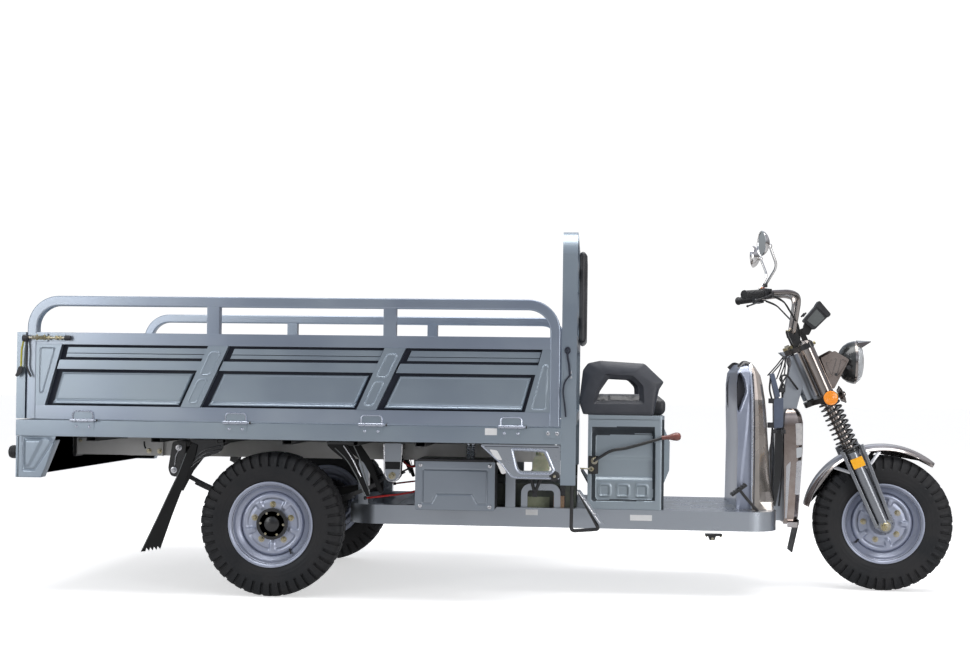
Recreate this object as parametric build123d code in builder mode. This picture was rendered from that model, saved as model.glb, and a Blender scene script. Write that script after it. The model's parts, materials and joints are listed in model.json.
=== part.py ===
from build123d import *
from math import atan2, cos, degrees, radians, sin
import os

# Cargo tricycle: one steered front wheel, a foot platform with a driver's seat, and a drop-side
# bed over a sprung rear axle.  Millimetres; +X is forward, +Y is left, +Z is up.
# The origin is on the ground, midway between the two ends.

# ---------------------------------------------------------------- driving dimensions
wheelbase = 2478.0
rear_track = 1126.0
rear_overhang = 1069.0
tyre_diameter = 568.0
tyre_width = 130.0
bed_width = 1400.0
bed_length = 2137.0
bed_rear_reach = 1002.0
rake = 24.0
fork_offset = 66.0
parked_turn = 5.0
front_rise = 1.2

axle_height = tyre_diameter / 2
front_axle_height = axle_height + front_rise
overall_length = rear_overhang + wheelbase + tyre_diameter / 2
rear_axle_x = rear_overhang - overall_length / 2
front_axle_x = rear_axle_x + wheelbase
bed_rear_x = rear_axle_x - bed_rear_reach
bed_front_x = bed_rear_x + bed_length
bed_side_y = bed_width / 2

# ---------------------------------------------------------------- bed frame and floor
rail_top = 681.5
rail_height = 63.5
rail_width = 60.0
cross_count = 7
cross_width = 40.0
cross_drop = 18.0
floor_thickness = 4.0
rail_bottom = rail_top - rail_height
cross_bottom = rail_bottom - cross_drop

# ---------------------------------------------------------------- gates
tailgate_thickness = 35.0
gate_thickness = 40.0
gate_gap = 5.0
sill_gap = 6.0
gate_height = 339.5
hoop_height = 144.0
hoop_tube = 40.0
hoop_bend = 125.0
bottom_rail = 55.5
mid_rail_height = 40.0
mid_rail_rise = 195.5
top_rail = 47.0
sheet_recess = 16.0
sheet_thickness = 3.0
rib_proud = 3.0
rib_top_width = 74.0
rib_lean = 113.0
gate_bottom = rail_top + sill_gap
gate_top = gate_bottom + gate_height
hoop_top = gate_top + hoop_height
gate_rear_x = bed_rear_x + tailgate_thickness + gate_gap
gate_front_x = bed_front_x - gate_gap
gate_length = gate_front_x - gate_rear_x
post_stations = (743.5, 1435.5)
post_width = 49.0
rib_stations = (767.0, 1456.0)
rear_gusset_top = 138.0
rear_gusset_foot = 85.0
front_gusset_top = 71.0
front_gusset_foot = 137.0

# ---------------------------------------------------------------- hinges and latches
hinge_width = 97.0
hinge_leaf = 3.0
hinge_out = 12.0
hinge_barrel = 7.0
hinge_pin = 3.0
hinge_fit = 0.05
barrel_gap = 0.5
leaf_height = 38.0
hinge_stations = (232.0, 840.0, 1371.0, 1908.0)
tail_hinge_out = 10.0
tail_hinge_stations = (-450.0, 0.0, 450.0)
hinge_z = rail_top + sill_gap / 2

# ---------------------------------------------------------------- headboard
headboard_depth = 57.0
headboard_post = 40.0
headboard_top = 1437.0
headboard_foot = 466.0
headboard_bend = 90.0
headboard_bar = 40.0
bar_depth = 40.0
bar_bottoms = (690.0, 1000.0, 1090.0, 1290.0)
headboard_sheet = 3.0
headboard_rear_x = bed_front_x
headboard_front_x = headboard_rear_x + headboard_depth

# ---------------------------------------------------------------- frame under the bed
beam_outer_y = 350.0
beam_width = 40.0
beam_height = 68.0
beam_rear_inset = 93.0
beam_front_inset = 50.0
beam_bottom = cross_bottom - beam_height
ring_half_width = 355.0
ring_rail = 60.0
ring_bottom = 269.0
ring_top = 347.0
ring_rear_reach = 250.0
ring_front_reach = 2005.0
ring_corner = 120.0
front_cross_reaches = (400.0, 720.0, 1740.0)
battery_cross_setback = 150.0
seat_cross_ahead = 64.0
ring_cross_width = 50.0
plate_thickness = 4.0
tray_rear_reach = 590.0
ring_rear_x = rear_axle_x + ring_rear_reach
ring_front_x = rear_axle_x + ring_front_reach
upright_reaches = (300.0, 905.0)
upright_width = 40.0

# ---------------------------------------------------------------- seat
seat_clearance = 44.0
seat_length = 309.0
seat_half_width = 350.0
seat_top = 727.0
cushion_height = 84.0
cushion_half_width = 284.0
cushion_overhang = 20.0
cushion_rounding = 30.0
soft_gap = 0.3
armrest_width = 62.0
backrest_thickness = 34.0
backrest_half_width = 230.0
backrest_bottom = 1010.0
backrest_top = 1415.0
seat_rear_x = headboard_front_x + seat_clearance
seat_front_x = seat_rear_x + seat_length
seat_rear_reach = seat_rear_x - rear_axle_x
battery_clearance = 46.0
plate_gap = 6.0
tray_front_reach = seat_rear_reach - battery_clearance
plate_rear_reach = tray_front_reach + plate_gap
ring_cross_reaches = (
    *front_cross_reaches,
    tray_front_reach - battery_cross_setback,
    seat_rear_reach + seat_cross_ahead,
)

# ---------------------------------------------------------------- wheels and axle
rim_flange_radius = 169.0
rim_barrel_radius = 153.0
rim_wall = 4.0
rim_half_width = 58.0
disc_station = 12.0
disc_thickness = 4.0
disc_hole = 66.0
nut_circle = 76.0
nut_radius = 9.0
nut_height = 10.0
nut_count = 5
drum_radius = 100.0
drum_inner = 55.0
hub_cap_radius = 62.0
hub_cap_length = 20.0
front_cap_length = 14.0
spindle_radius = 20.0
running_fit = 0.05
seat_fit = 0.3
housing_radius = 38.0
backing_radius = 104.0
backing_thickness = 5.0
drum_gap = 6.0
front_hub_radius = 34.0
front_hub_span = (-66.0, 52.0)
front_drum_radius = 80.0
front_axle_radius = 8.5
axle_nut = 10.0
axle_nut_radius = 15.0
axle_tip = 6.0

# ---------------------------------------------------------------- springs under the bed
spring_y = 430.0
leaf_width = 50.0
leaf_thickness = 8.0
leaf_count = 4
spring_rear_reach = 430.0
spring_front_reach = 456.0
spring_eye_z = 485.0
eye_radius = 17.0
pin_radius = 8.0
hanger_plate = 5.0

# ---------------------------------------------------------------- fork, clamps and bars
fork_half_track = 105.0
fork_tube_radius = 30.0
fork_rod_radius = 16.0
fork_leg_radius = 27.0
spring_radius = 39.0
spring_wire = 4.5
spring_turns = 10
leg_top = 338.0
spring_bottom = 346.0
lower_clamp = 566.0
clamp_thickness = 22.0
upper_clamp = 800.0
stem_radius = 15.0
head_radius = 30.0
clamp_gap = 6.0
bar_radius = 11.0
grip_radius = 17.0
fender_radius = 330.0
fender_thickness = 3.0
fender_half_width = 75.0

os.makedirs("parts", exist_ok=True)

# ================================================================ helpers


def station(reach):
    """X of a point that lies so far ahead of the rear axle."""
    return rear_axle_x + reach


def outline(*points):
    """Side-view points, given by their reach ahead of the rear axle and their height."""
    return [(station(reach), height) for reach, height in points]


def block(x, y, z, mode=Mode.ADD):
    """A rectangular block between low and high values on each axis."""
    with Locations(((x[0] + x[1]) / 2, (y[0] + y[1]) / 2, (z[0] + z[1]) / 2)):
        Box(x[1] - x[0], y[1] - y[0], z[1] - z[0], mode=mode)


def side_plate(points, y, holes=(), rounding=0.0, mode=Mode.ADD):
    """A plate with an outline in the XZ plane, between two Y values."""
    with BuildSketch(Plane.XZ.offset(-y[1])) as profile:
        with BuildLine():
            Polyline(*points, close=True)
        make_face()
        if rounding:
            fillet(profile.vertices(), rounding)
        for hole in holes:
            with BuildLine():
                Polyline(*hole, close=True)
            make_face(mode=Mode.SUBTRACT)
    extrude(profile.sketch, amount=y[1] - y[0], mode=mode)


def both_sides(y):
    """The right-hand and left-hand Y ranges of a piece that has a twin."""
    return ((-y[1], -y[0]), (y[0], y[1]))


def hoop_profile(plane, across, height, tube, bend):
    """An inverted U of square tube in a plane, as a sketch."""
    with BuildSketch(plane) as profile:
        with BuildLine():
            outer = FilletPolyline(
                (across[0], height[0]),
                (across[0], height[1]),
                (across[1], height[1]),
                (across[1], height[0]),
                radius=bend,
            )
            Line(outer @ 1, outer @ 0)
        make_face()
        with BuildLine():
            inner = FilletPolyline(
                (across[0] + tube, height[0]),
                (across[0] + tube, height[1] - tube),
                (across[1] - tube, height[1] - tube),
                (across[1] - tube, height[0]),
                radius=bend - tube,
            )
            Line(inner @ 1, inner @ 0)
        make_face(mode=Mode.SUBTRACT)
    return profile.sketch


def rod(start, end, radius, mode=Mode.ADD):
    """A round bar between two points."""
    run = Vector(*end) - Vector(*start)
    with BuildSketch(Plane(origin=start, z_dir=run)) as section:
        Circle(radius)
    extrude(section.sketch, amount=run.length, mode=mode)


def bent_bar(points, radii, radius):
    """A round bar along straight runs joined by bends."""
    with BuildLine() as path:
        FilletPolyline(*points, radius=radii)
    start = path.line @ 0
    with BuildSketch(Plane(origin=start, z_dir=path.line % 0)) as section:
        Circle(radius)
    sweep(section.sketch, path=path.line)


def spun(points, centre, axis_dir=(0, 1, 0), mode=Mode.ADD):
    """A solid of revolution: points give radius and distance along the axis."""
    axis = Vector(*axis_dir)
    side = Vector(0, 0, 1) if abs(axis.Z) < 0.5 else Vector(0, 1, 0)
    side = (side - axis * side.dot(axis)).normalized()
    with BuildSketch(Plane(origin=centre, x_dir=side, z_dir=side.cross(axis))) as section:
        with BuildLine():
            Polyline(*points, close=True)
        make_face()
    revolve(section.sketch, axis=Axis(centre, axis_dir), mode=mode)


def fork_point(up, ahead=0.0, y=0.0):
    """A point in line with the fork: up the leg line from the axle, ahead square to it."""
    tilt = radians(rake)
    x = front_axle_x - up * sin(tilt) + ahead * cos(tilt)
    z = front_axle_height + up * cos(tilt) + ahead * sin(tilt)
    return (x, y, z)


def fork_outline(*points):
    """Side-view points given along and square to the fork's leg line."""
    return [(fork_point(up, ahead)[0], fork_point(up, ahead)[2]) for up, ahead in points]


steering_axis = Axis(fork_point(0, -fork_offset), (-sin(radians(rake)), 0, cos(radians(rake))))


def park(node):
    """Turn a piece of the steering to the right, as the tricycle is parked."""
    node.part = node.part.rotate(steering_axis, -parked_turn)


# ================================================================ bed

bed_inner_y = bed_side_y - rail_width
floor_x = (bed_rear_x + cross_width, bed_front_x - cross_width)
cross_pitch = (bed_length - cross_width) / (cross_count + 1)

with BuildPart() as bed_frame:
    for y in both_sides((bed_inner_y, bed_side_y)):
        block((bed_rear_x, bed_front_x), y, (rail_bottom, rail_top))
    for x in ((bed_rear_x, floor_x[0]), (floor_x[1], bed_front_x)):
        block(x, (-bed_inner_y, bed_inner_y), (rail_bottom, rail_top))
    for number in range(1, cross_count + 1):
        x = bed_rear_x + number * cross_pitch
        block(
            (x, x + cross_width),
            (-bed_inner_y, bed_inner_y),
            (cross_bottom, rail_top - floor_thickness),
        )
bed_frame.part.label = "bed_frame"
export_step(bed_frame.part, "parts/bed_frame.step")

with BuildPart() as bed_floor:
    block(floor_x, (-bed_inner_y, bed_inner_y), (rail_top - floor_thickness, rail_top))
bed_floor.part.label = "bed_floor"
export_step(bed_floor.part, "parts/bed_floor.step")

# ================================================================ side gates

mid_rail_z = (gate_bottom + mid_rail_rise, gate_bottom + mid_rail_rise + mid_rail_height)
top_rail_z = (gate_top - top_rail, gate_top)
sheet_z = (gate_bottom + bottom_rail, gate_top - top_rail)


def gate_outline(*points):
    """Side-view points given from the gate's rear end, forward and by height."""
    return [(gate_rear_x + ahead, height) for ahead, height in points]


for side, word in ((-1, "right"), (1, "left")):
    outer_y = side * bed_side_y
    frame_y = sorted((outer_y, outer_y - side * gate_thickness))
    sheet_outer = outer_y - side * sheet_recess
    sheet_y = sorted((sheet_outer, sheet_outer - side * sheet_thickness))
    rib_y = sorted((outer_y + side * rib_proud, sheet_outer))
    gate_x = (gate_rear_x, gate_front_x)
    with BuildPart() as side_gate:
        arch = hoop_profile(
            Plane.XZ.offset(-frame_y[1]), gate_x, (gate_bottom, hoop_top), hoop_tube, hoop_bend
        )
        extrude(arch, amount=gate_thickness)
        for z in ((gate_bottom, gate_bottom + bottom_rail), mid_rail_z, top_rail_z):
            block(gate_x, frame_y, z)
        for ahead in post_stations:
            x = gate_rear_x + ahead
            half = post_width / 2
            block((x - half, x + half), frame_y, (gate_top, hoop_top - hoop_tube / 2))
        block(gate_x, sheet_y, sheet_z)
        for ahead in rib_stations:
            side_plate(
                gate_outline(
                    (ahead - rib_top_width / 2, sheet_z[1]),
                    (ahead + rib_top_width / 2, sheet_z[1]),
                    (ahead + rib_top_width / 2 - rib_lean, sheet_z[0]),
                    (ahead - rib_top_width / 2 - rib_lean, sheet_z[0]),
                ),
                rib_y,
            )
        side_plate(
            gate_outline(
                (hoop_tube / 2, sheet_z[0]),
                (rear_gusset_foot, sheet_z[0]),
                (rear_gusset_top, sheet_z[1]),
                (hoop_tube / 2, sheet_z[1]),
            ),
            sorted((outer_y, sheet_outer)),
        )
        side_plate(
            gate_outline(
                (gate_length - hoop_tube / 2, sheet_z[0]),
                (gate_length - front_gusset_foot, sheet_z[0]),
                (gate_length - front_gusset_top, sheet_z[1]),
                (gate_length - hoop_tube / 2, sheet_z[1]),
            ),
            sorted((outer_y, sheet_outer)),
        )
    side_gate.part.label = f"side_gate_{word}"
    export_step(side_gate.part, f"parts/side_gate_{word}.step")

# The upper hinge leaves and the rear latch go with each gate.
pin_y = bed_side_y + hinge_out
leaf_outer_y = bed_side_y + hinge_leaf
latch_block = ((38.0, 99.0), (984.0, 1019.0))
latch_out = 22.0
latch_rod_radius = 8.0
latch_rod_z = 1003.0
latch_rod_reach = (-12.0, 147.0)
lever_width = 12.0
lever_plate = 4.0
latch_levers = (
    ((-2.0, 1008.0), (-24.0, 862.0), 7.0),
    ((4.0, 1008.0), (16.0, 858.0), 15.0),
)

for side, word in ((-1, "right"), (1, "left")):
    with BuildPart() as gate_fittings:
        for ahead in hinge_stations:
            x = gate_rear_x + ahead
            quarter = hinge_width / 4
            block(
                (x - hinge_width / 2, x + hinge_width / 2),
                sorted((side * bed_side_y, side * leaf_outer_y)),
                (gate_bottom, hinge_z + leaf_height),
            )
            block(
                (x - quarter + barrel_gap, x + quarter - barrel_gap),
                sorted((side * bed_side_y, side * pin_y)),
                (gate_bottom, gate_bottom + hinge_leaf),
            )
            rod(
                (x - quarter + barrel_gap, side * pin_y, hinge_z),
                (x + quarter - barrel_gap, side * pin_y, hinge_z),
                hinge_barrel,
            )
            rod(
                (x - quarter, side * pin_y, hinge_z),
                (x + quarter, side * pin_y, hinge_z),
                hinge_pin + hinge_fit,
                mode=Mode.SUBTRACT,
            )
        (low, high), block_z = latch_block
        block(
            (gate_rear_x + low, gate_rear_x + high),
            sorted((side * bed_side_y, side * (bed_side_y + latch_out))),
            block_z,
        )
        rod_y = side * (bed_side_y + latch_out / 2 + 2)
        rod(
            (gate_rear_x + latch_rod_reach[0], rod_y, latch_rod_z),
            (gate_rear_x + latch_rod_reach[1], rod_y, latch_rod_z),
            latch_rod_radius,
        )
        for top, foot, out in latch_levers:
            half = lever_width / 2
            side_plate(
                gate_outline(
                    (top[0] - half, top[1]),
                    (foot[0] - half, foot[1]),
                    (foot[0] + half, foot[1]),
                    (top[0] + half, top[1]),
                ),
                sorted((side * (bed_side_y + out), side * (bed_side_y + out + lever_plate))),
            )
    gate_fittings.part.label = f"gate_fittings_{word}"
    export_step(gate_fittings.part, f"parts/gate_fittings_{word}.step")

# ================================================================ tailgate

tail_frame = 40.0
tail_rib_half = 30.0
tail_x = (bed_rear_x, bed_rear_x + tailgate_thickness)
tail_pin_x = bed_rear_x - tail_hinge_out

with BuildPart() as tailgate:
    block(tail_x, (-bed_side_y, bed_side_y), (gate_bottom, gate_top))
    for low, high in ((-1, 0), (0, 1)):
        y = (
            low * (bed_side_y - tail_frame) + (tail_rib_half if low == 0 else 0),
            high * (bed_side_y - tail_frame) - (tail_rib_half if high == 0 else 0),
        )
        block(
            (tail_x[0], tail_x[0] + sheet_recess),
            y,
            (gate_bottom + bottom_rail, gate_top - top_rail),
            mode=Mode.SUBTRACT,
        )
        block(
            (tail_x[0] + sheet_recess + sheet_thickness, tail_x[1]),
            y,
            (gate_bottom + bottom_rail, gate_top - top_rail),
            mode=Mode.SUBTRACT,
        )
tailgate.part.label = "tailgate"
export_step(tailgate.part, "parts/tailgate.step")

with BuildPart() as tailgate_hinges:
    for y in tail_hinge_stations:
        quarter = hinge_width / 4
        block(
            (bed_rear_x - hinge_leaf, bed_rear_x),
            (y - hinge_width / 2, y + hinge_width / 2),
            (gate_bottom, hinge_z + leaf_height),
        )
        block(
            (tail_pin_x, bed_rear_x),
            (y - quarter + barrel_gap, y + quarter - barrel_gap),
            (gate_bottom, gate_bottom + hinge_leaf),
        )
        rod(
            (tail_pin_x, y - quarter + barrel_gap, hinge_z),
            (tail_pin_x, y + quarter - barrel_gap, hinge_z),
            hinge_barrel,
        )
        rod(
            (tail_pin_x, y - quarter, hinge_z),
            (tail_pin_x, y + quarter, hinge_z),
            hinge_pin + hinge_fit,
            mode=Mode.SUBTRACT,
        )
tailgate_hinges.part.label = "tailgate_hinges"
export_step(tailgate_hinges.part, "parts/tailgate_hinges.step")

# ================================================================ bed fittings
# The lower hinge leaves with their pins, the headboard's bolted plates and its front latches.

bolt_plate = (60.0, 46.0, 654.0, 690.0)
strap_thickness = 6.0
strap_outline = (
    (1150.0, 1003.0),
    (1182.0, 1003.0),
    (1190.0, 940.0),
    (1182.0, 733.0),
    (1168.0, 733.0),
    (1160.0, 940.0),
)

with BuildPart() as bed_fittings:
    quarter = hinge_width / 4
    for side in (-1, 1):
        for ahead in hinge_stations:
            x = gate_rear_x + ahead
            block(
                (x - hinge_width / 2, x + hinge_width / 2),
                sorted((side * bed_side_y, side * leaf_outer_y)),
                (hinge_z - leaf_height, rail_top),
            )
            for low, high in ((-hinge_width / 2, -quarter), (quarter, hinge_width / 2)):
                block(
                    (x + low, x + high),
                    sorted((side * bed_side_y, side * pin_y)),
                    (rail_top - hinge_leaf, rail_top),
                )
                rod((x + low, side * pin_y, hinge_z), (x + high, side * pin_y, hinge_z), hinge_barrel)
            rod(
                (x - hinge_width / 2, side * pin_y, hinge_z),
                (x + hinge_width / 2, side * pin_y, hinge_z),
                hinge_pin,
            )
        back, ahead, low, high = bolt_plate
        block(
            (bed_front_x - back, bed_front_x + ahead),
            sorted((side * bed_side_y, side * (bed_side_y + hinge_leaf))),
            (low, rail_top),
        )
        side_plate(
            outline(*strap_outline),
            sorted((side * bed_side_y, side * (bed_side_y + strap_thickness))),
        )
    for y in tail_hinge_stations:
        block(
            (bed_rear_x - hinge_leaf, bed_rear_x),
            (y - hinge_width / 2, y + hinge_width / 2),
            (hinge_z - leaf_height, rail_top),
        )
        for low, high in ((-hinge_width / 2, -quarter), (quarter, hinge_width / 2)):
            block((tail_pin_x, bed_rear_x), (y + low, y + high), (rail_top - hinge_leaf, rail_top))
            rod((tail_pin_x, y + low, hinge_z), (tail_pin_x, y + high, hinge_z), hinge_barrel)
        rod(
            (tail_pin_x, y - hinge_width / 2, hinge_z),
            (tail_pin_x, y + hinge_width / 2, hinge_z),
            hinge_pin,
        )
bed_fittings.part.label = "bed_fittings"
export_step(bed_fittings.part, "parts/bed_fittings.step")

# ================================================================ headboard

headboard_inner_y = bed_side_y - headboard_post
bar_x = (
    headboard_rear_x + (headboard_depth - bar_depth),
    headboard_front_x,
)

with BuildPart() as headboard_hoop:
    arch = hoop_profile(
        Plane.YZ.offset(headboard_rear_x),
        (-bed_side_y, bed_side_y),
        (headboard_foot, headboard_top),
        headboard_post,
        headboard_bend,
    )
    extrude(arch, amount=headboard_depth)
    for low in bar_bottoms:
        block(bar_x, (-headboard_inner_y, headboard_inner_y), (low, low + headboard_bar))
headboard_hoop.part.label = "headboard_hoop"
export_step(headboard_hoop.part, "parts/headboard_hoop.step")

with BuildPart() as headboard_panel:
    middle = (bar_x[0] + bar_x[1]) / 2
    block(
        (middle - headboard_sheet / 2, middle + headboard_sheet / 2),
        (-headboard_inner_y, headboard_inner_y),
        (bar_bottoms[0] + headboard_bar, bar_bottoms[1]),
    )
headboard_panel.part.label = "headboard_panel"
export_step(headboard_panel.part, "parts/headboard_panel.step")

with BuildPart() as backrest_pad:
    block(
        (headboard_front_x + soft_gap, headboard_front_x + soft_gap + backrest_thickness),
        (-backrest_half_width, backrest_half_width),
        (backrest_bottom, backrest_top),
    )
    fillet(backrest_pad.faces().sort_by(Axis.X)[-1].edges(), backrest_thickness * 0.45)
backrest_pad.part.label = "backrest_pad"
export_step(backrest_pad.part, "parts/backrest_pad.step")

# ================================================================ frame

beam_inner_y = beam_outer_y - beam_width
ring_inner_y = ring_half_width - ring_rail

with BuildPart() as main_beams:
    for y in both_sides((beam_inner_y, beam_outer_y)):
        block(
            (bed_rear_x + beam_rear_inset, bed_front_x - beam_front_inset),
            y,
            (beam_bottom, cross_bottom),
        )
main_beams.part.label = "main_beams"
export_step(main_beams.part, "parts/main_beams.step")

strut_reach = (928.0, 1128.0)
strut_top = 443.0
strut_tube = 26.0
ring_mid_x = (ring_rear_x + ring_front_x) / 2

with BuildPart() as lower_frame:
    with BuildSketch(Plane.XY.offset(ring_bottom)):
        with Locations((ring_mid_x, 0)):
            RectangleRounded(ring_front_x - ring_rear_x, 2 * ring_half_width, ring_corner)
            RectangleRounded(
                ring_front_x - ring_rear_x - 2 * ring_rail,
                2 * ring_inner_y,
                ring_corner - ring_rail,
                mode=Mode.SUBTRACT,
            )
    extrude(amount=ring_top - ring_bottom)
    for reach in ring_cross_reaches:
        x = station(reach)
        block(
            (x, x + ring_cross_width),
            (-ring_inner_y, ring_inner_y),
            (ring_bottom + plate_thickness, ring_top - plate_thickness),
        )
    block(
        (station(tray_rear_reach), station(tray_front_reach)),
        (-ring_inner_y, ring_inner_y),
        (ring_bottom, ring_bottom + plate_thickness),
    )
    for y in both_sides((beam_inner_y, beam_outer_y)):
        for reach in upright_reaches:
            block((station(reach), station(reach) + upright_width), y, (ring_top, beam_bottom))
        arch = hoop_profile(
            Plane.XZ.offset(-y[1]),
            (station(strut_reach[0]) + upright_width, station(strut_reach[1])),
            (ring_top, strut_top),
            strut_tube,
            strut_tube * 1.5,
        )
        extrude(arch, amount=strut_tube)
lower_frame.part.label = "lower_frame"
export_step(lower_frame.part, "parts/lower_frame.step")

with BuildPart() as platform_plate:
    plate_x = (station(plate_rear_reach), ring_front_x - ring_rail - seat_fit)
    block(
        plate_x,
        (-ring_inner_y + seat_fit, ring_inner_y - seat_fit),
        (ring_top - plate_thickness, ring_top),
    )
    front_corners = platform_plate.edges().filter_by(Axis.Z).group_by(Axis.X)[-1]
    fillet(front_corners, ring_corner - ring_rail)
platform_plate.part.label = "platform_plate"
export_step(platform_plate.part, "parts/platform_plate.step")

battery_half_width = 280.0
battery_top = 440.0
battery_foot = 90.0

with BuildPart() as battery_pack:
    block(
        (station(tray_front_reach - battery_foot), station(tray_front_reach)),
        (-battery_half_width, battery_half_width),
        (ring_bottom + plate_thickness, battery_top),
    )
    block(
        (station(tray_rear_reach), station(tray_front_reach - battery_foot)),
        (-battery_half_width, battery_half_width),
        (ring_top - plate_thickness, battery_top),
    )
battery_pack.part.label = "battery_pack"
export_step(battery_pack.part, "parts/battery_pack.step")

side_box_reach = (562.0, 876.0)
side_box_top = 540.0
side_box_outer_y = 560.0

with BuildPart() as side_boxes:
    for y in both_sides((beam_outer_y, side_box_outer_y)):
        block((station(side_box_reach[0]), station(side_box_reach[1])), y, (ring_top, side_box_top))
side_boxes.part.label = "side_boxes"
export_step(side_boxes.part, "parts/side_boxes.step")

guard_depth = 28.0
guard_inner_y = bed_side_y - guard_depth
guard_foot = 485.0
guard_edge = ((827, rail_bottom), (904, 546), (962, guard_foot))
guard_hole = ((953, 596), (1075, 591), (1107, 523), (981, 517))

with BuildPart() as side_guards:
    guard_outline = outline(*guard_edge) + [(bed_front_x, guard_foot), (bed_front_x, rail_bottom)]
    for y in both_sides((guard_inner_y, bed_side_y)):
        side_plate(guard_outline, y, holes=[outline(*guard_hole)])
side_guards.part.label = "side_guards"
export_step(side_guards.part, "parts/side_guards.step")

bottle_y = (-510.0, -440.0)
bottle_reach = (1012.0, 1072.0)
bottle_bottom = 505.0
bottle_height = 60.0
cap_height = 22.0
cap_radius = 20.0
bracket_sheet = 4.0

with BuildPart() as fluid_bottle:
    x = (station(bottle_reach[0]), station(bottle_reach[1]))
    neck_z = bottle_bottom + bottle_height
    block(x, bottle_y, (bottle_bottom, neck_z))
    neck = ((x[0] + x[1]) / 2, sum(bottle_y) / 2)
    rod((*neck, neck_z), (*neck, neck_z + cap_height), cap_radius)
    block(x, (bottle_y[0], -beam_outer_y), (bottle_bottom - bracket_sheet, bottle_bottom))
    block(
        x, (-beam_outer_y - bracket_sheet, -beam_outer_y), (bottle_bottom, cross_bottom - bracket_sheet)
    )
fluid_bottle.part.label = "fluid_bottle"
export_step(fluid_bottle.part, "parts/fluid_bottle.step")

# ================================================================ seat

recess_reach = (1256.0, 1505.0)
recess_z = (380.0, 676.0)
recess_depth = 18.0
bulge_half_width = 200.0
bulge_shape = ((0, 420), (18, 470), (30, 540), (30, 640), (0, 690))

with BuildPart() as seat_box:
    block(
        (seat_rear_x, seat_front_x),
        (-seat_half_width, seat_half_width),
        (ring_top, seat_top),
    )
    for y in both_sides((seat_half_width - recess_depth, seat_half_width)):
        block(
            (station(recess_reach[0]), station(recess_reach[1])), y, recess_z, mode=Mode.SUBTRACT
        )
    bulge = [(seat_front_x + ahead, height) for ahead, height in bulge_shape]
    side_plate(bulge, (-bulge_half_width, bulge_half_width))
seat_box.part.label = "seat_box"
export_step(seat_box.part, "parts/seat_box.step")

armrest_shape = (
    (1216, seat_top),
    (1199, 779),
    (1213, 909),
    (1233, 937),
    (1282, 950),
    (1443, 948),
    (1536, 868),
    (1512, 828),
    (1505, seat_top),
)
armrest_hole = (
    (1271, 785),
    (1282, 822),
    (1319, 877),
    (1411, 873),
    (1441, 842),
    (1444, 787),
)

with BuildPart() as armrests:
    for y in both_sides((seat_half_width - armrest_width, seat_half_width)):
        side_plate(outline(*armrest_shape), y, holes=[outline(*armrest_hole)])
armrests.part.label = "armrests"
export_step(armrests.part, "parts/armrests.step")

with BuildPart() as seat_cushion:
    block(
        (seat_rear_x, seat_front_x + cushion_overhang),
        (-cushion_half_width, cushion_half_width),
        (seat_top + soft_gap, seat_top + soft_gap + cushion_height),
    )
    fillet(seat_cushion.faces().sort_by(Axis.Z)[-1].edges(), cushion_rounding)
seat_cushion.part.label = "seat_cushion"
export_step(seat_cushion.part, "parts/seat_cushion.step")

# ================================================================ driver's controls on the frame

brake_y = (-seat_half_width - 8, -seat_half_width)
brake_plate = ((1240, 489), (1274, 489), (1274, 562), (1240, 562))
lever_y = (-seat_half_width - 26, -seat_half_width - 18)
lever_pivot = (1263.0, 540.0)
lever_pivot_radius = 9.0
knob_reach = seat_rear_reach + seat_length
knob_z = 646.0
knob_radius = 13.0
knob_length = 62.0
knob_grip = 5.0
lever_shape = (
    (1253, 532),
    (1329, 580),
    (1397, 586),
    (knob_reach + knob_grip, 636),
    (knob_reach + knob_grip, 648),
    (1397, 598),
    (1325, 592),
    (1253, 546),
)
pedal_arm_y = (-300.0, -288.0)
pedal_arm = ((1926, ring_top), (1936, ring_top), (1850, 442), (1840, 436))
pedal_pad_y = (-330.0, -262.0)
pedal_pad = ((1814, 415), (1819, 408), (1880, 452), (1875, 460))
cable_bracket = ((1740.0, 1790.0), (-120.0, -80.0), (204.0, ring_bottom + plate_thickness))

with BuildPart() as brake_controls:
    side_plate(outline(*brake_plate), brake_y)
    pivot_x = station(lever_pivot[0])
    rod((pivot_x, brake_y[0], lever_pivot[1]), (pivot_x, lever_y[0], lever_pivot[1]), lever_pivot_radius)
    side_plate(outline(*lever_shape), lever_y)
    with BuildSketch(Plane.YZ.offset(station(knob_reach))) as knob:
        with Locations((sum(lever_y) / 2, knob_z)):
            Circle(knob_radius)
    extrude(knob.sketch, amount=knob_length)
    side_plate(outline(*pedal_arm), pedal_arm_y)
    side_plate(outline(*pedal_pad), pedal_pad_y)
    bracket_x, bracket_y, bracket_z = cable_bracket
    block((station(bracket_x[0]), station(bracket_x[1])), bracket_y, bracket_z)
brake_controls.part.label = "brake_controls"
export_step(brake_controls.part, "parts/brake_controls.step")

# ================================================================ front shields and head frame

column_half_width = 30.0
column_depth = 60.0
column_foot = 285.0
column_knee = 560.0
column_behind = fork_offset + 5.0
column_climb = 70.0
column_drop = 15.0

with BuildPart() as head_frame:
    head_low = lower_clamp + clamp_thickness + clamp_gap
    head_high = upper_clamp - clamp_gap
    rod(fork_point(head_low, -fork_offset), fork_point(head_high, -fork_offset), head_radius)
    column = [
        (ring_front_x, column_foot),
        (ring_front_x + column_depth, column_foot),
        (ring_front_x + column_depth, column_knee),
        *fork_outline(
            (head_low + column_climb, -column_behind), (head_high - column_drop, -column_behind)
        ),
        (ring_front_x, column_knee),
    ]
    side_plate(column, (-column_half_width, column_half_width))
    rod(
        fork_point(head_low - 1, -fork_offset),
        fork_point(head_high + 1, -fork_offset),
        stem_radius + running_fit,
        mode=Mode.SUBTRACT,
    )
head_frame.part.label = "head_frame"
export_step(head_frame.part, "parts/head_frame.step")

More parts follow.
